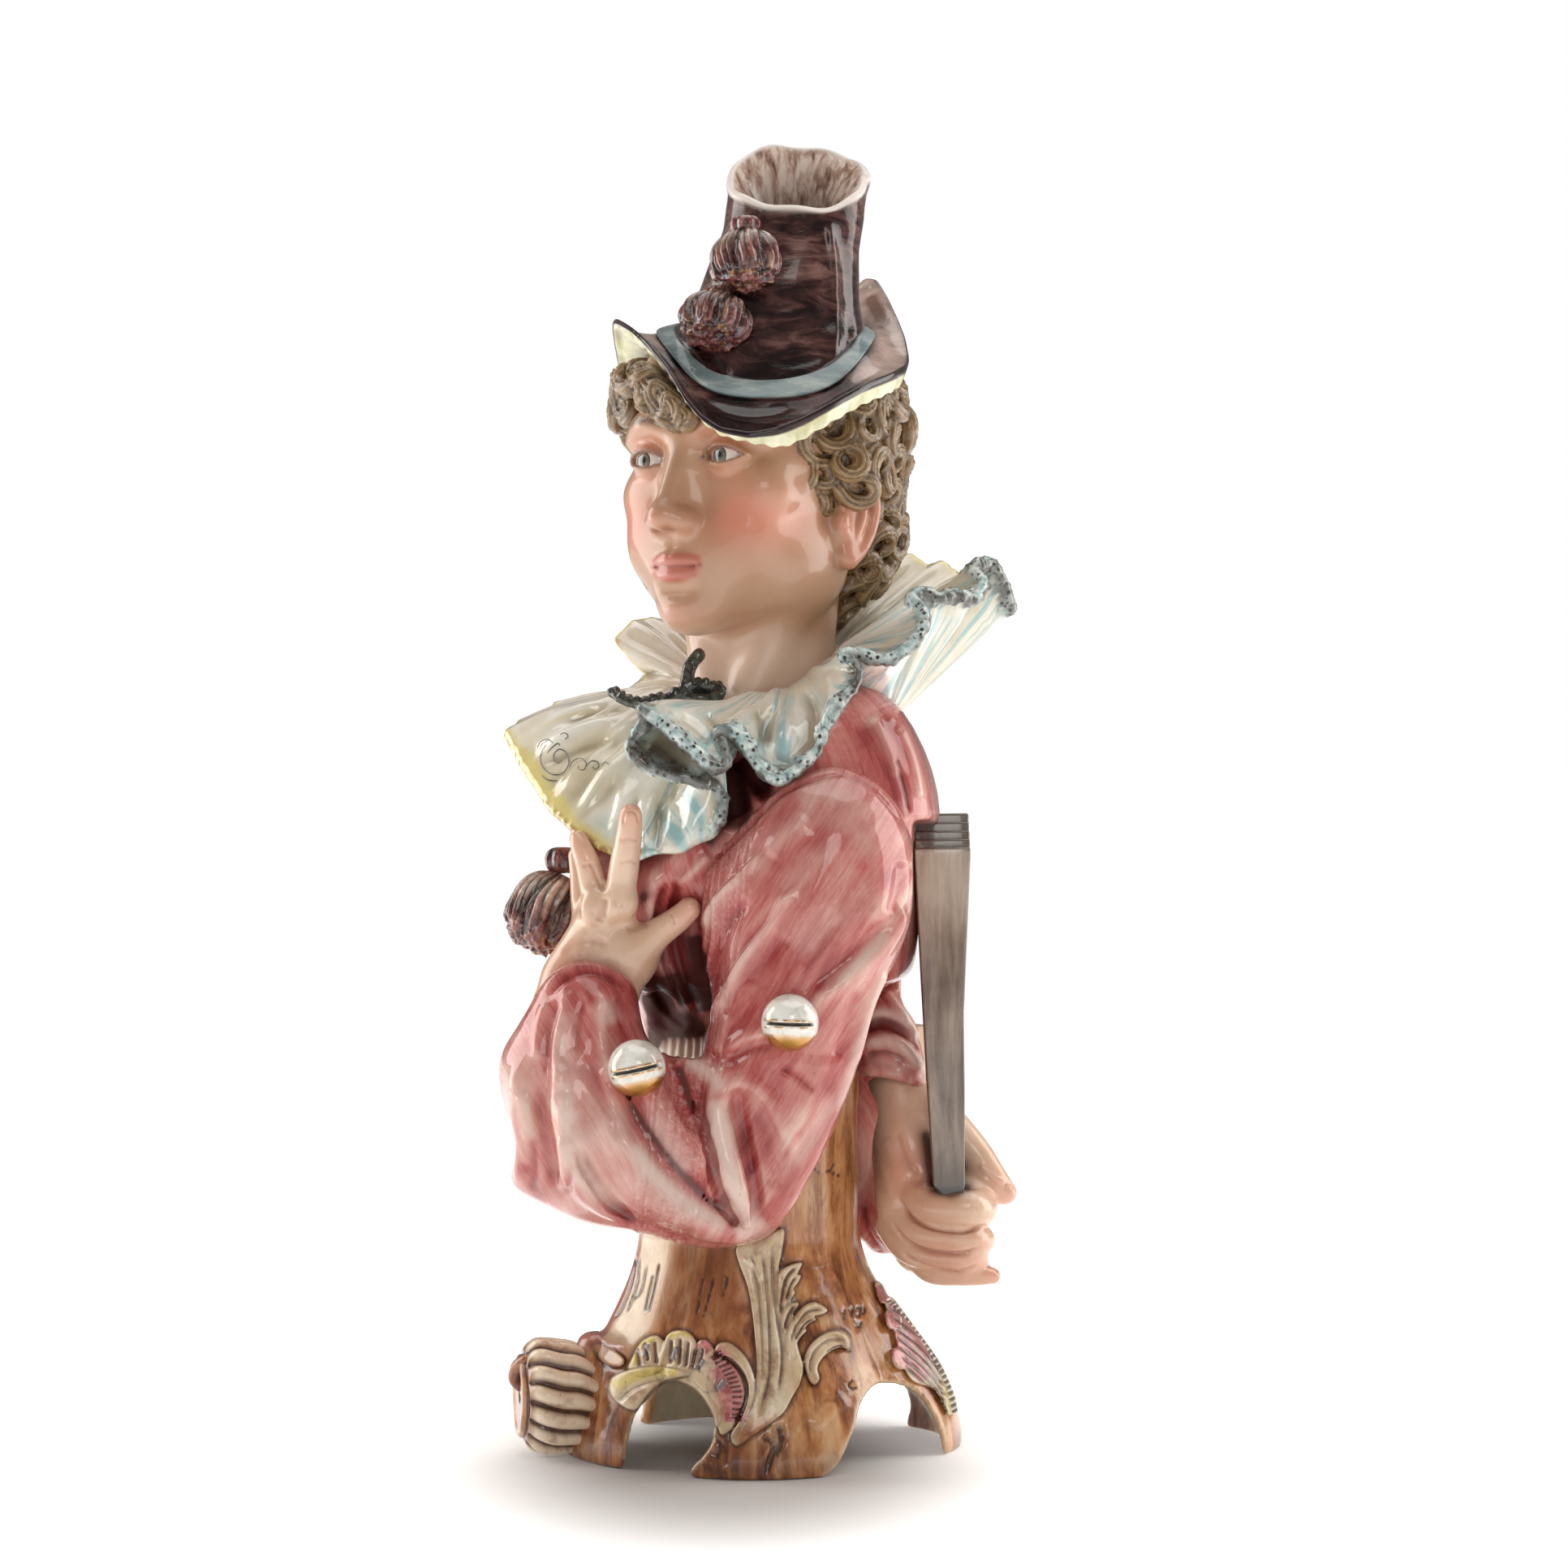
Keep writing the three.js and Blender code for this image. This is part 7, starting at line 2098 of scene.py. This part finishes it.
# Glazes
def glazeBase():
    p = Paint("base_glaze")
    streak = p.noise(1.0, 5, 0.62, p.place((85, 85, 15)), 0.5)
    broad = p.noise(30, 4, 0.6)
    wash = p.ramp(streak.between(0.28, 0.72) * 0.42 + broad * 0.56 - p.mask("foot") * 0.03, [
        (0.26, (0.110, 0.028, 0.008)), (0.36, (0.260, 0.082, 0.024)), (0.47, (0.425, 0.168, 0.056)),
        (0.58, (0.540, 0.262, 0.104)), (0.70, (0.640, 0.390, 0.210))])
    creamTone = p.ramp(p.noise(40, 4, 0.6), [
        (0.3, (0.500, 0.355, 0.190)), (0.5, (0.660, 0.515, 0.330)), (0.7, (0.790, 0.690, 0.515))])
    creamTone = p.mix(creamTone, (0.90, 0.74, 0.56, 1), p.mask("warm") * (0.3 + broad * 1.1).clamped())
    tone = p.mix(wash, creamTone, p.mask("cream").clamped())
    tone = p.mix(tone, (0.36, 0.12, 0.10, 1), p.mask("edge").clamped() * 0.75)
    tone = p.mix(tone, p.ramp(p.noise(160, 3, 0.6), [(0.35, (0.35, 0.06, 0.075)), (0.6, (0.68, 0.27, 0.27))]),
                 p.mask("pink").clamped() * 0.9)
    tone = p.mix(tone, (0.62, 0.50, 0.10, 1), p.mask("yellow").clamped() * 0.8)
    tone = p.mix(tone, (0.17, 0.20, 0.15, 1), p.mask("green").clamped() * 0.8)
    tone = p.mix(tone, (0.20, 0.21, 0.22, 1), p.mask("slate").clamped() * 0.9)
    tone = p.mix(tone, (0.215, 0.070, 0.022, 1), p.mask("ember") * (1 - p.mask("cream")).clamped() * 0.6)
    smudge = p.noise(70, 4, 0.65)
    stain = p.noise(1.0, 4, 0.7, p.place((48, 48, 11)), 1.4).between(0.53, 0.66)
    tone = p.mix(tone, (0.120, 0.030, 0.010, 1), stain * (1 - p.mask("cream") * 0.75).clamped() * 0.5)
    tone = p.mix(tone, (0.230, 0.085, 0.035, 1), (p.mask("relief") * smudge.between(0.50, 0.68)) * 0.55)
    # Grooves and hollows painted dark: glaze pooled in the grooves, and painted shade in the grooves and hollows
    dark = (p.mask("poolAndShade") * 1.15 + p.mask("hollow") * 1.2).clamped()
    tone = p.mix(tone, (0.060, 0.018, 0.010, 1), dark * (0.62 + 0.5 * smudge).clamped())
    fleck = p.noise(420, 2, 0.5).between(0.70, 0.76)
    tone = p.mix(tone, (0.10, 0.035, 0.015, 1), fleck * 0.55)
    inside = p.ramp(p.noise(30, 4, 0.6), [(0.3, (0.34, 0.26, 0.15)), (0.7, (0.54, 0.45, 0.30))])
    tone = p.mix(tone, inside, (p.mask("bare") - p.mask("poolAndShade") * 0.3).clamped())
    lines = p.noise(1.0, 3, 0.6, p.place((900, 900, 60)), 0.3)
    height = lines * 0.5 + p.noise(120, 3, 0.5) * 0.8
    return p.finish(tone, p.noise(60, 2, 0.5) * 0.15 + 0.18, height, 0.0006, 0.6, 0.5)


def glazeJacket():
    p = Paint("jacket_glaze")
    fine = p.noise(1.0, 5, 0.65, p.place((160, 160, 70), (0.3, 0.5, 0.2)), 0.6)
    cloud = p.noise(17, 4, 0.6)
    cloth = p.node("ShaderNodeCombineXYZ", {}, {0: p.mask("weft") * 0.30, 1: p.mask("warp") * 0.022, 2: 0.0})
    hair = p.noise(1.0, 5, 0.72, cloth, 0.5)
    # Darker where glaze pools and painted shade lies in grooves and hollows; paler on ridges as painted highlight
    poolAndShade = (p.mask("poolAndShade") + p.mask("hollow") * 0.6 - p.mask("ridge") * 0.5)
    value = p.mask("brush") * 0.20 + fine * 0.14 + hair * 0.42 + cloud * 0.42 + poolAndShade * -0.19
    tone = p.ramp(value, [
        (0.22, (0.200, 0.020, 0.022)), (0.34, (0.345, 0.052, 0.050)), (0.44, (0.450, 0.112, 0.100)),
        (0.54, (0.530, 0.195, 0.170)), (0.65, (0.610, 0.310, 0.260)), (0.79, (0.720, 0.500, 0.420))])
    # Ridges and pale strokes painted paler: thin glaze, the cream body through the wash, and painted light
    tone = p.mix(tone, (0.730, 0.560, 0.490, 1), (p.mask("ridge") * 0.28 + p.mask("pale") * (0.5 + fine * 0.6)).clamped() * 0.9)
    tone = p.mix(tone, (0.66, 0.58, 0.44, 1), p.mask("cream").clamped())
    shade = p.mask("shade").clamped()
    tone = p.mix(tone, p.mix((0.150, 0.020, 0.018, 1), (0.045, 0.008, 0.006, 1), shade.between(0.5, 1.0)),
                 (shade * 1.15).clamped() * 0.95)
    # The deepest grooves painted near-black as painted shade
    deep = p.mask("poolAndShade").between(1.1, 2.2)
    tone = p.mix(tone, (0.100, 0.030, 0.024, 1), deep * 0.75)
    fleck = p.noise(380, 2, 0.5).between(0.71, 0.77)
    tone = p.mix(tone, (0.22, 0.05, 0.05, 1), fleck * 0.4)
    lines = p.noise(1.0, 3, 0.6, p.place((420, 420, 90), (0.3, 0.5, 0.2)))
    height = lines * 0.2 + hair * 0.6 + p.noise(70, 4, 0.55) * 1.0
    p.finish(tone, p.noise(60, 2, 0.5) * 0.12 + 0.20 + shade * 0.4, height, 0.0009, 0.6, 0.45)
    p.shader.inputs["Specular IOR Level"].default_value = 0.16
    p.feed(p.shader.inputs["Coat Weight"], 0.80 - shade * 0.80)
    return p.material


def glazeBell():
    p = Paint("bell_glaze")
    tone = p.ramp(p.noise(120, 4, 0.6, None, 0.4), [(0.35, (0.62, 0.59, 0.52)), (0.55, (0.84, 0.82, 0.76))])
    gilt = (p.mask("low") * 0.9 + p.noise(130, 3, 0.6) * 0.9 - 0.45).between(0.25, 0.5)
    gilt = (gilt * p.mask("low") + p.mask("rim") * (p.noise(300, 2, 0.5).between(0.35, 0.55)) * 0.9).clamped()
    tone = p.mix(tone, (0.55, 0.27, 0.045, 1), gilt)
    tone = p.mix(tone, (0.03, 0.018, 0.010, 1), p.mask("slot").clamped())
    p.feed(p.shader.inputs["Metallic"], gilt * 0.85)
    return p.finish(tone, gilt * 0.16 + 0.08, p.noise(200, 2, 0.5), 0.0003, 0.6, 0.3)


def glazeSkin():
    p = Paint("skin_glaze")
    cloud = p.noise(22, 3, 0.5)
    tone = p.ramp(cloud, [(0.3, (0.590, 0.372, 0.248)), (0.55, (0.710, 0.502, 0.366)), (0.75, (0.775, 0.600, 0.465))])
    # The head is painted darker as painted shade, less so on the neck
    tone = p.mix(tone, (0.365, 0.175, 0.090, 1),
                 p.mask("tan") * (1 - p.mask("neck") * 0.7).clamped() * 0.76)
    tone = p.mix(tone, (0.70, 0.215, 0.145, 1), p.mask("blush").clamped() * (0.55 + 0.45 * cloud)
                 * (0.50 + p.mask("tan") * 0.35))
    # Painted shade in the hollows and in the creases of the hands
    tone = p.mix(tone, (0.42, 0.18, 0.12, 1), (p.mask("hollow") * 0.6 + p.mask("crease") * 0.5).clamped() * 0.8)
    tone = p.mix(tone, (0.74, 0.54, 0.43, 1), p.mask("neck").clamped() * 0.6)
    tone = p.mix(tone, (0.46, 0.115, 0.080, 1), p.mask("lip").clamped() * 0.8)
    tone = p.mix(tone, (0.20, 0.030, 0.025, 1), p.mask("seam").clamped() * 0.9)
    tone = p.mix(tone, (0.065, 0.030, 0.015, 1), p.mask("brow").clamped() * 0.85)
    tone = p.mix(tone, (0.100, 0.040, 0.025, 1), p.mask("lash").clamped() * 0.9)
    tone = p.mix(tone, (0.12, 0.03, 0.02, 1), p.mask("nostril").clamped() * 0.8)
    tone = p.mix(tone, (0.055, 0.032, 0.022, 1), p.mask("shade").clamped() * 0.85)
    fleck = p.noise(300, 2, 0.5).between(0.74, 0.80)
    tone = p.mix(tone, (0.30, 0.16, 0.10, 1), fleck * 0.3)
    return p.finish(tone, p.mask("tan") * 0.10 + p.noise(70, 2, 0.5) * 0.12 + 0.22, p.noise(120, 3, 0.5), 0.0003, 0.45, 0.35)


def glazeEye():
    p = Paint("eye_glaze")
    seen = p.mask("gaze")
    white = (0.70, 0.62, 0.56, 1)
    iris = p.ramp(p.noise(700, 2, 0.6), [(0.4, (0.085, 0.065, 0.050)), (0.6, (0.190, 0.160, 0.130))])
    tone = p.mix(white, iris, seen.between(0.912, 0.924))
    ring = seen.between(0.905, 0.918) * (1 - seen.between(0.930, 0.942))
    tone = p.mix(tone, (0.035, 0.022, 0.016, 1), ring * 0.9)
    tone = p.mix(tone, (0.008, 0.006, 0.006, 1), seen.between(0.976, 0.982))
    return p.finish(tone, 0.15, None, 0, 0.9)


def glazeHair():
    p = Paint("hair_glaze")
    strand = p.node("ShaderNodeCombineXYZ", {}, {
        0: p.mask("across") * 1.5, 1: p.mask("along") * 2.0, 2: p.mask("lock")})
    # Painted shade in the hollows between the locks
    value = p.noise(1.0, 4, 0.7, strand, 0.3) * 0.8 + p.noise(60, 3, 0.5) * 0.25 - p.mask("hollow") * 0.24
    tone = p.ramp(value, [
        (0.18, (0.014, 0.005, 0.002)), (0.36, (0.056, 0.026, 0.009)), (0.51, (0.155, 0.084, 0.031)),
        (0.67, (0.285, 0.172, 0.075)), (0.82, (0.480, 0.330, 0.180))])
    return p.finish(tone, 0.26, p.noise(1.0, 4, 0.7, strand, 0.3), 0.0011, 0.5, 0.6)


def glazeHat():
    p = Paint("hat_glaze")
    brush = p.noise(1.0, 4, 0.65, p.place((34, 34, 110), (0.2, 0.35, 0.3)), 0.9)
    cloud = p.noise(24, 3, 0.55)
    wash = p.ramp(brush.between(0.32, 0.68) * 0.26 + cloud * 0.74 + p.mask("tinge") * 0.12, [
        (0.30, (0.004, 0.0015, 0.0015)), (0.41, (0.012, 0.004, 0.004)), (0.50, (0.034, 0.012, 0.011)),
        (0.60, (0.085, 0.035, 0.031)), (0.72, (0.185, 0.095, 0.082))])
    mouth = p.ramp(p.noise(1.0, 4, 0.62, p.place((200, 200, 26)), 0.5), [
        (0.3, (0.10, 0.045, 0.032)), (0.46, (0.44, 0.280, 0.215)), (0.62, (0.80, 0.66, 0.57))])
    tone = p.mix(wash, mouth, p.mask("mouth").clamped())
    # Painted shade at the bottom of the funnel
    tone = p.mix(tone, (0.05, 0.02, 0.018, 1), p.mask("deep").clamped() * 0.8)
    # The lip painted near-white as a highlight along the rim
    tone = p.mix(tone, (0.86, 0.77, 0.71, 1), p.mask("lip").clamped() * (0.62 + 0.7 * cloud).clamped())
    tone = p.mix(tone, (0.62, 0.45, 0.39, 1), p.mask("pale").clamped() * (0.10 + brush * 1.25).clamped())
    tone = p.mix(tone, (0.17, 0.080, 0.055, 1), p.mask("patch").clamped() * 0.85)
    blue = p.ramp(p.noise(1.0, 4, 0.6, p.place((40, 40, 120))), [
        (0.3, (0.120, 0.170, 0.190)), (0.5, (0.235, 0.300, 0.310)), (0.7, (0.420, 0.470, 0.440))])
    tone = p.mix(tone, blue, p.mask("band").clamped())
    tone = p.mix(tone, (0.018, 0.008, 0.010, 1), p.mask("edge").clamped() * 0.85)
    lining = p.ramp(p.noise(50, 3, 0.6), [(0.3, (0.52, 0.50, 0.26)), (0.6, (0.78, 0.76, 0.56))])
    tone = p.mix(tone, lining, p.mask("lining").clamped())
    # Painted shade in the hollows
    tone = p.mix(tone, (0.02, 0.010, 0.010, 1), p.mask("hollow").clamped() * 0.5)
    height = brush * 0.8 + p.noise(60, 3, 0.5) * 0.8
    p.shader.inputs["Specular IOR Level"].default_value = 0.25
    return p.finish(tone, cloud * 0.14 + 0.11, height, 0.0012, 0.38, 0.6)


def glazeRuff():
    p = Paint("ruff_glaze")
    a = p.node("ShaderNodeAttribute", {"attribute_name": "streak"}, output=2)
    b = p.node("ShaderNodeAttribute", {"attribute_name": "streakAcross"}, output=2)
    vector = p.node("ShaderNodeCombineXYZ", {}, {0: a, 1: b, 2: p.mask("out") * 1.2})
    streak = p.noise(0.9, 4, 0.6, vector, 0.3)
    cloud = p.noise(26, 3, 0.5)
    # The cream is painted darker down the valleys of the folds as painted shade, darker on the far side and the petal,
    # and lighter on the collar as painted light
    cream = p.ramp(cloud + 0.03 - p.mask("dip") * 0.12 - p.mask("far") * 0.12 - p.mask("petal") * 0.16
                   + p.mask("collar") * 0.15, [
        (0.10, (0.34, 0.26, 0.15)), (0.32, (0.60, 0.52, 0.36)), (0.48, (0.77, 0.70, 0.56)),
        (0.66, (0.87, 0.84, 0.75))])
    near = 1 - p.mask("yellow").between(0.02, 0.10)
    teal = (streak.between(0.46, 0.60) * cloud.between(0.32, 0.52) * 0.9 + p.mask("foam") * 0.35
            + p.mask("out").between(0.55, 1.1) * streak * 0.35) * near
    wash = p.noise(48, 4, 0.65, None, 0.8)
    teal = teal + p.mask("tint") * wash.between(0.32, 0.66) * 0.85
    tone = p.mix(cream, (0.240, 0.500, 0.530, 1), teal.clamped() * 0.8)
    tone = p.mix(tone, (0.72, 0.60, 0.20, 1),
                 (p.mask("yellow") * (0.40 + 1.0 * streak)).between(0.30, 0.95) * 0.9)
    pits = p.node("ShaderNodeTexVoronoi", {}, {"Vector": p.place(), "Scale": 300.0, "Randomness": 1.0})
    hole = (1 - pits.between(0.24, 0.40)) * p.noise(140, 2, 0.5).between(0.38, 0.50)
    foamTone = p.ramp(p.noise(150, 4, 0.65), [
        (0.28, (0.060, 0.042, 0.028)), (0.37, (0.190, 0.250, 0.250)), (0.46, (0.380, 0.530, 0.530)),
        (0.60, (0.700, 0.760, 0.720))])
    tone = p.mix(tone, foamTone, p.mask("foam").clamped() * 0.92)
    rust = p.noise(55, 4, 0.6).between(0.50, 0.62)
    # Painted shade on the underside of the foam, with its pits and brown dirt
    tone = p.mix(tone, (0.060, 0.042, 0.026, 1),
                 (p.mask("under") * p.mask("foam") * 0.8 + p.mask("pit") + p.mask("foam") * rust * 0.6).clamped() * 0.85)
    tone = p.mix(tone, (0.030, 0.018, 0.012, 1), (hole * p.mask("foam")).clamped())
    # Painted shade in the hollows and down the valleys of the folds
    tone = p.mix(tone, (0.17, 0.13, 0.08, 1), (p.mask("hollow") * 0.5 + p.mask("dip") * 0.5 - 0.25).clamped() * 0.6)
    tone = p.mix(tone, (0.050, 0.026, 0.014, 1), p.mask("shade").clamped() * (0.65 + cloud * 0.5))
    tone = p.mix(tone, (0.34, 0.20, 0.06, 1), p.mask("gilt").clamped() * p.noise(260, 3, 0.6).between(0.35, 0.6))
    height = p.noise(90, 3, 0.5) * 0.7 - hole * p.mask("foam") * 1.4 + streak * 0.25
    return p.finish(tone, p.mask("foam") * 0.25 + 0.14, height, 0.0009, 0.85, 0.6)


def glazePompon():
    p = Paint("pompon_glaze")
    streak = p.noise(90, 4, 0.65, None, 0.6)
    low = p.ramp(streak, [(0.34, (0.022, 0.005, 0.006)), (0.46, (0.115, 0.018, 0.023)),
                          (0.58, (0.260, 0.070, 0.064)), (0.75, (0.460, 0.260, 0.200))])
    high = p.ramp(streak, [(0.3, (0.180, 0.080, 0.060)), (0.44, (0.440, 0.280, 0.210)),
                           (0.56, (0.700, 0.540, 0.440)), (0.72, (0.840, 0.740, 0.640))])
    tone = p.mix(low, high, (p.mask("top") + streak * 0.7 - 0.35).clamped())
    dark = (p.mask("strand") * 0.9 + p.mask("gap") * 1.3 + p.mask("pit") * 1.5).clamped()
    tone = p.mix(tone, (0.022, 0.008, 0.008, 1), dark * 0.9)
    gilt = p.noise(260, 3, 0.6).between(0.54, 0.64) * (p.mask("rough") * 0.9 + 0.25)
    tone = p.mix(tone, (0.42, 0.215, 0.075, 1), gilt.clamped() * 0.8)
    p.feed(p.shader.inputs["Metallic"], gilt.clamped() * 0.6)
    return p.finish(tone, p.mask("rough") * 0.2 + 0.20, p.noise(260, 4, 0.7), 0.0010, 0.8, 0.7)


# Grey-brown, paler towards the top, dark between the stepped ends, and painted dark at the grip as the shade inside the
# fist
def glazeClapper():
    p = Paint("clapper_glaze")
    high = p.node("ShaderNodeSeparateXYZ", {}, {0: p.place()}, output=2)
    streak = p.noise(1.0, 5, 0.65, p.place((120, 120, 14)), 0.4)
    cloud = p.noise(34, 4, 0.6)
    value = streak * 0.66 + cloud * 0.22 + high.between(0.25, 0.31) * 0.20 + 0.03
    tone = p.ramp(value, [
        (0.28, (0.040, 0.028, 0.021)), (0.42, (0.130, 0.096, 0.072)), (0.56, (0.270, 0.215, 0.165)),
        (0.70, (0.440, 0.375, 0.300)), (0.84, (0.560, 0.500, 0.410))])
    tone = p.mix(tone, (0.035, 0.026, 0.021, 1), high.between(0.322, 0.327) * (0.45 + streak * 0.6))
    # Painted shade at the grip, near-black where it goes into the fist
    tone = p.mix(tone, (0.050, 0.036, 0.026, 1), (1 - high.between(0.146, 0.170)) * 0.75)
    tone = p.mix(tone, (0.008, 0.006, 0.005, 1), (1 - high.between(0.143, 0.147)) * 0.95)
    tone = p.mix(tone, (0.070, 0.052, 0.040, 1), p.mask("rim") * (0.3 + streak * 0.9))
    return p.finish(tone, cloud * 0.15 + 0.16, streak, 0.0006, 0.8, 0.4)


def glazeCord():
    p = Paint("cord_glaze")
    tone = p.ramp(p.noise(200, 4, 0.6), [(0.35, (0.010, 0.010, 0.008)), (0.5, (0.035, 0.036, 0.028)),
                                         (0.7, (0.110, 0.115, 0.085))])
    return p.finish(tone, 0.22, p.noise(300, 3, 0.6), 0.0006, 0.6, 0.5)


def buildRoom():
    scene = bpy.context.scene
    floor = bpy.ops.mesh.primitive_plane_add(size=60, location=(0, 0, 0))
    floor = bpy.context.object
    floor.name = "floor"
    p = Paint("floor_paper")
    # The floor is painted darker round the bust as a painted shadow, and glows, as painted light, more and more away
    # from it so it turns white
    spot = p.node("ShaderNodeMapping", {}, {"Vector": p.node("ShaderNodeTexCoord", output=3),
                                            "Location": (0.03, 0.06, 0.0), "Scale": (1.6, 1.0, 1.0)})
    away = p.node("ShaderNodeVectorMath", {"operation": "LENGTH"}, {0: spot}, output=1).between(0.07, 0.30)
    p.finish(p.mix((0.50, 0.49, 0.48, 1), (0.93, 0.93, 0.93, 1), away), 0.9, coat=0.0)
    p.feed(p.shader.inputs["Emission Color"], p.mix((0.02, 0.02, 0.02, 1), (1, 1, 1, 1), away))
    p.shader.inputs["Emission Strength"].default_value = 0.50
    floor.data.materials.append(p.material)
    world = bpy.data.worlds.new("room")
    scene.world = world
    world.use_nodes = True
    tree = world.node_tree
    tree.nodes.clear()
    out = tree.nodes.new("ShaderNodeOutputWorld")
    seen = tree.nodes.new("ShaderNodeBackground")
    seen.inputs["Color"].default_value = (1, 1, 1, 1)
    seen.inputs["Strength"].default_value = 1.0
    soft = tree.nodes.new("ShaderNodeBackground")
    soft.inputs["Color"].default_value = (1.0, 0.955, 0.89, 1)
    soft.inputs["Strength"].default_value = 0.22
    path = tree.nodes.new("ShaderNodeLightPath")
    blend = tree.nodes.new("ShaderNodeMixShader")
    tree.links.new(path.outputs["Is Camera Ray"], blend.inputs[0])
    tree.links.new(soft.outputs[0], blend.inputs[1])
    tree.links.new(seen.outputs[0], blend.inputs[2])
    tree.links.new(blend.outputs[0], out.inputs[0])
    # Big soft boxes: left and right of the bust and a little behind, one above, a weak one in front
    for name, spot, size, power in (
            ("box_left", (-1.4, 0.35, 0.75), (0.9, 1.5), 17),
            ("box_right", (1.4, 0.25, 0.75), (0.9, 1.5), 15),
            ("box_front", (0.35, -2.4, 1.25), (0.8, 0.8), 8)):
        data = bpy.data.lights.new(name, "AREA")
        data.shape = "RECTANGLE"
        data.size, data.size_y = size
        data.energy = power
        data.color = (1.0, 0.97, 0.93)
        lamp = bpy.data.objects.new(name, data)
        scene.collection.objects.link(lamp)
        lamp.location = spot
        aim = Vector((0, 0, 0.36)) - Vector(spot)
        lamp.rotation_euler = aim.to_track_quat("-Z", "Y").to_euler()
    data = bpy.data.lights.new("ceiling", "SUN")
    data.energy = 1.5
    data.color = (1.0, 0.98, 0.95)
    data.angle = math.radians(60)
    lamp = bpy.data.objects.new("ceiling", data)
    scene.collection.objects.link(lamp)
    lamp.rotation_euler = (math.radians(-8), math.radians(6), 0)
    camera = bpy.data.cameras.new("camera")
    camera.lens = picture["focal"] / 1932 * 36
    camera.sensor_width = 36
    camera.clip_end = 50
    eye = bpy.data.objects.new("camera", camera)
    scene.collection.objects.link(eye)
    eye.location = Vector((rowShift[0], rowShift[1] - picture["distance"], picture["height"])) * 0.001
    eye.rotation_euler = (math.radians(90), 0, 0)
    scene.camera = eye
    scene.view_settings.view_transform = "Standard"
    scene.view_settings.look = "None"


bpy.ops.object.select_all(action="DESELECT")
buildRoom()
baseGlaze = glazeBase()
buildBase(baseGlaze, baseGlaze)
print("base built")
jacketGlaze = glazeJacket()
buildJacket(jacketGlaze)
buildBells(glazeBell())
print("jacket built")
skinGlaze = glazeSkin()
buildHead(skinGlaze, glazeEye())
buildHair(glazeHair())
print("head built")
buildHat(glazeHat())
buildRuff(glazeRuff(), glazeCord())
buildPompons(glazePompon())
print("hat and ruff built")
clapperGlaze = glazeClapper()
buildClapper(clapperGlaze)
buildCord(bpy.data.materials["cord_glaze"])
buildFrontHand(skinGlaze)
buildBackHand(skinGlaze)
print("hands built")
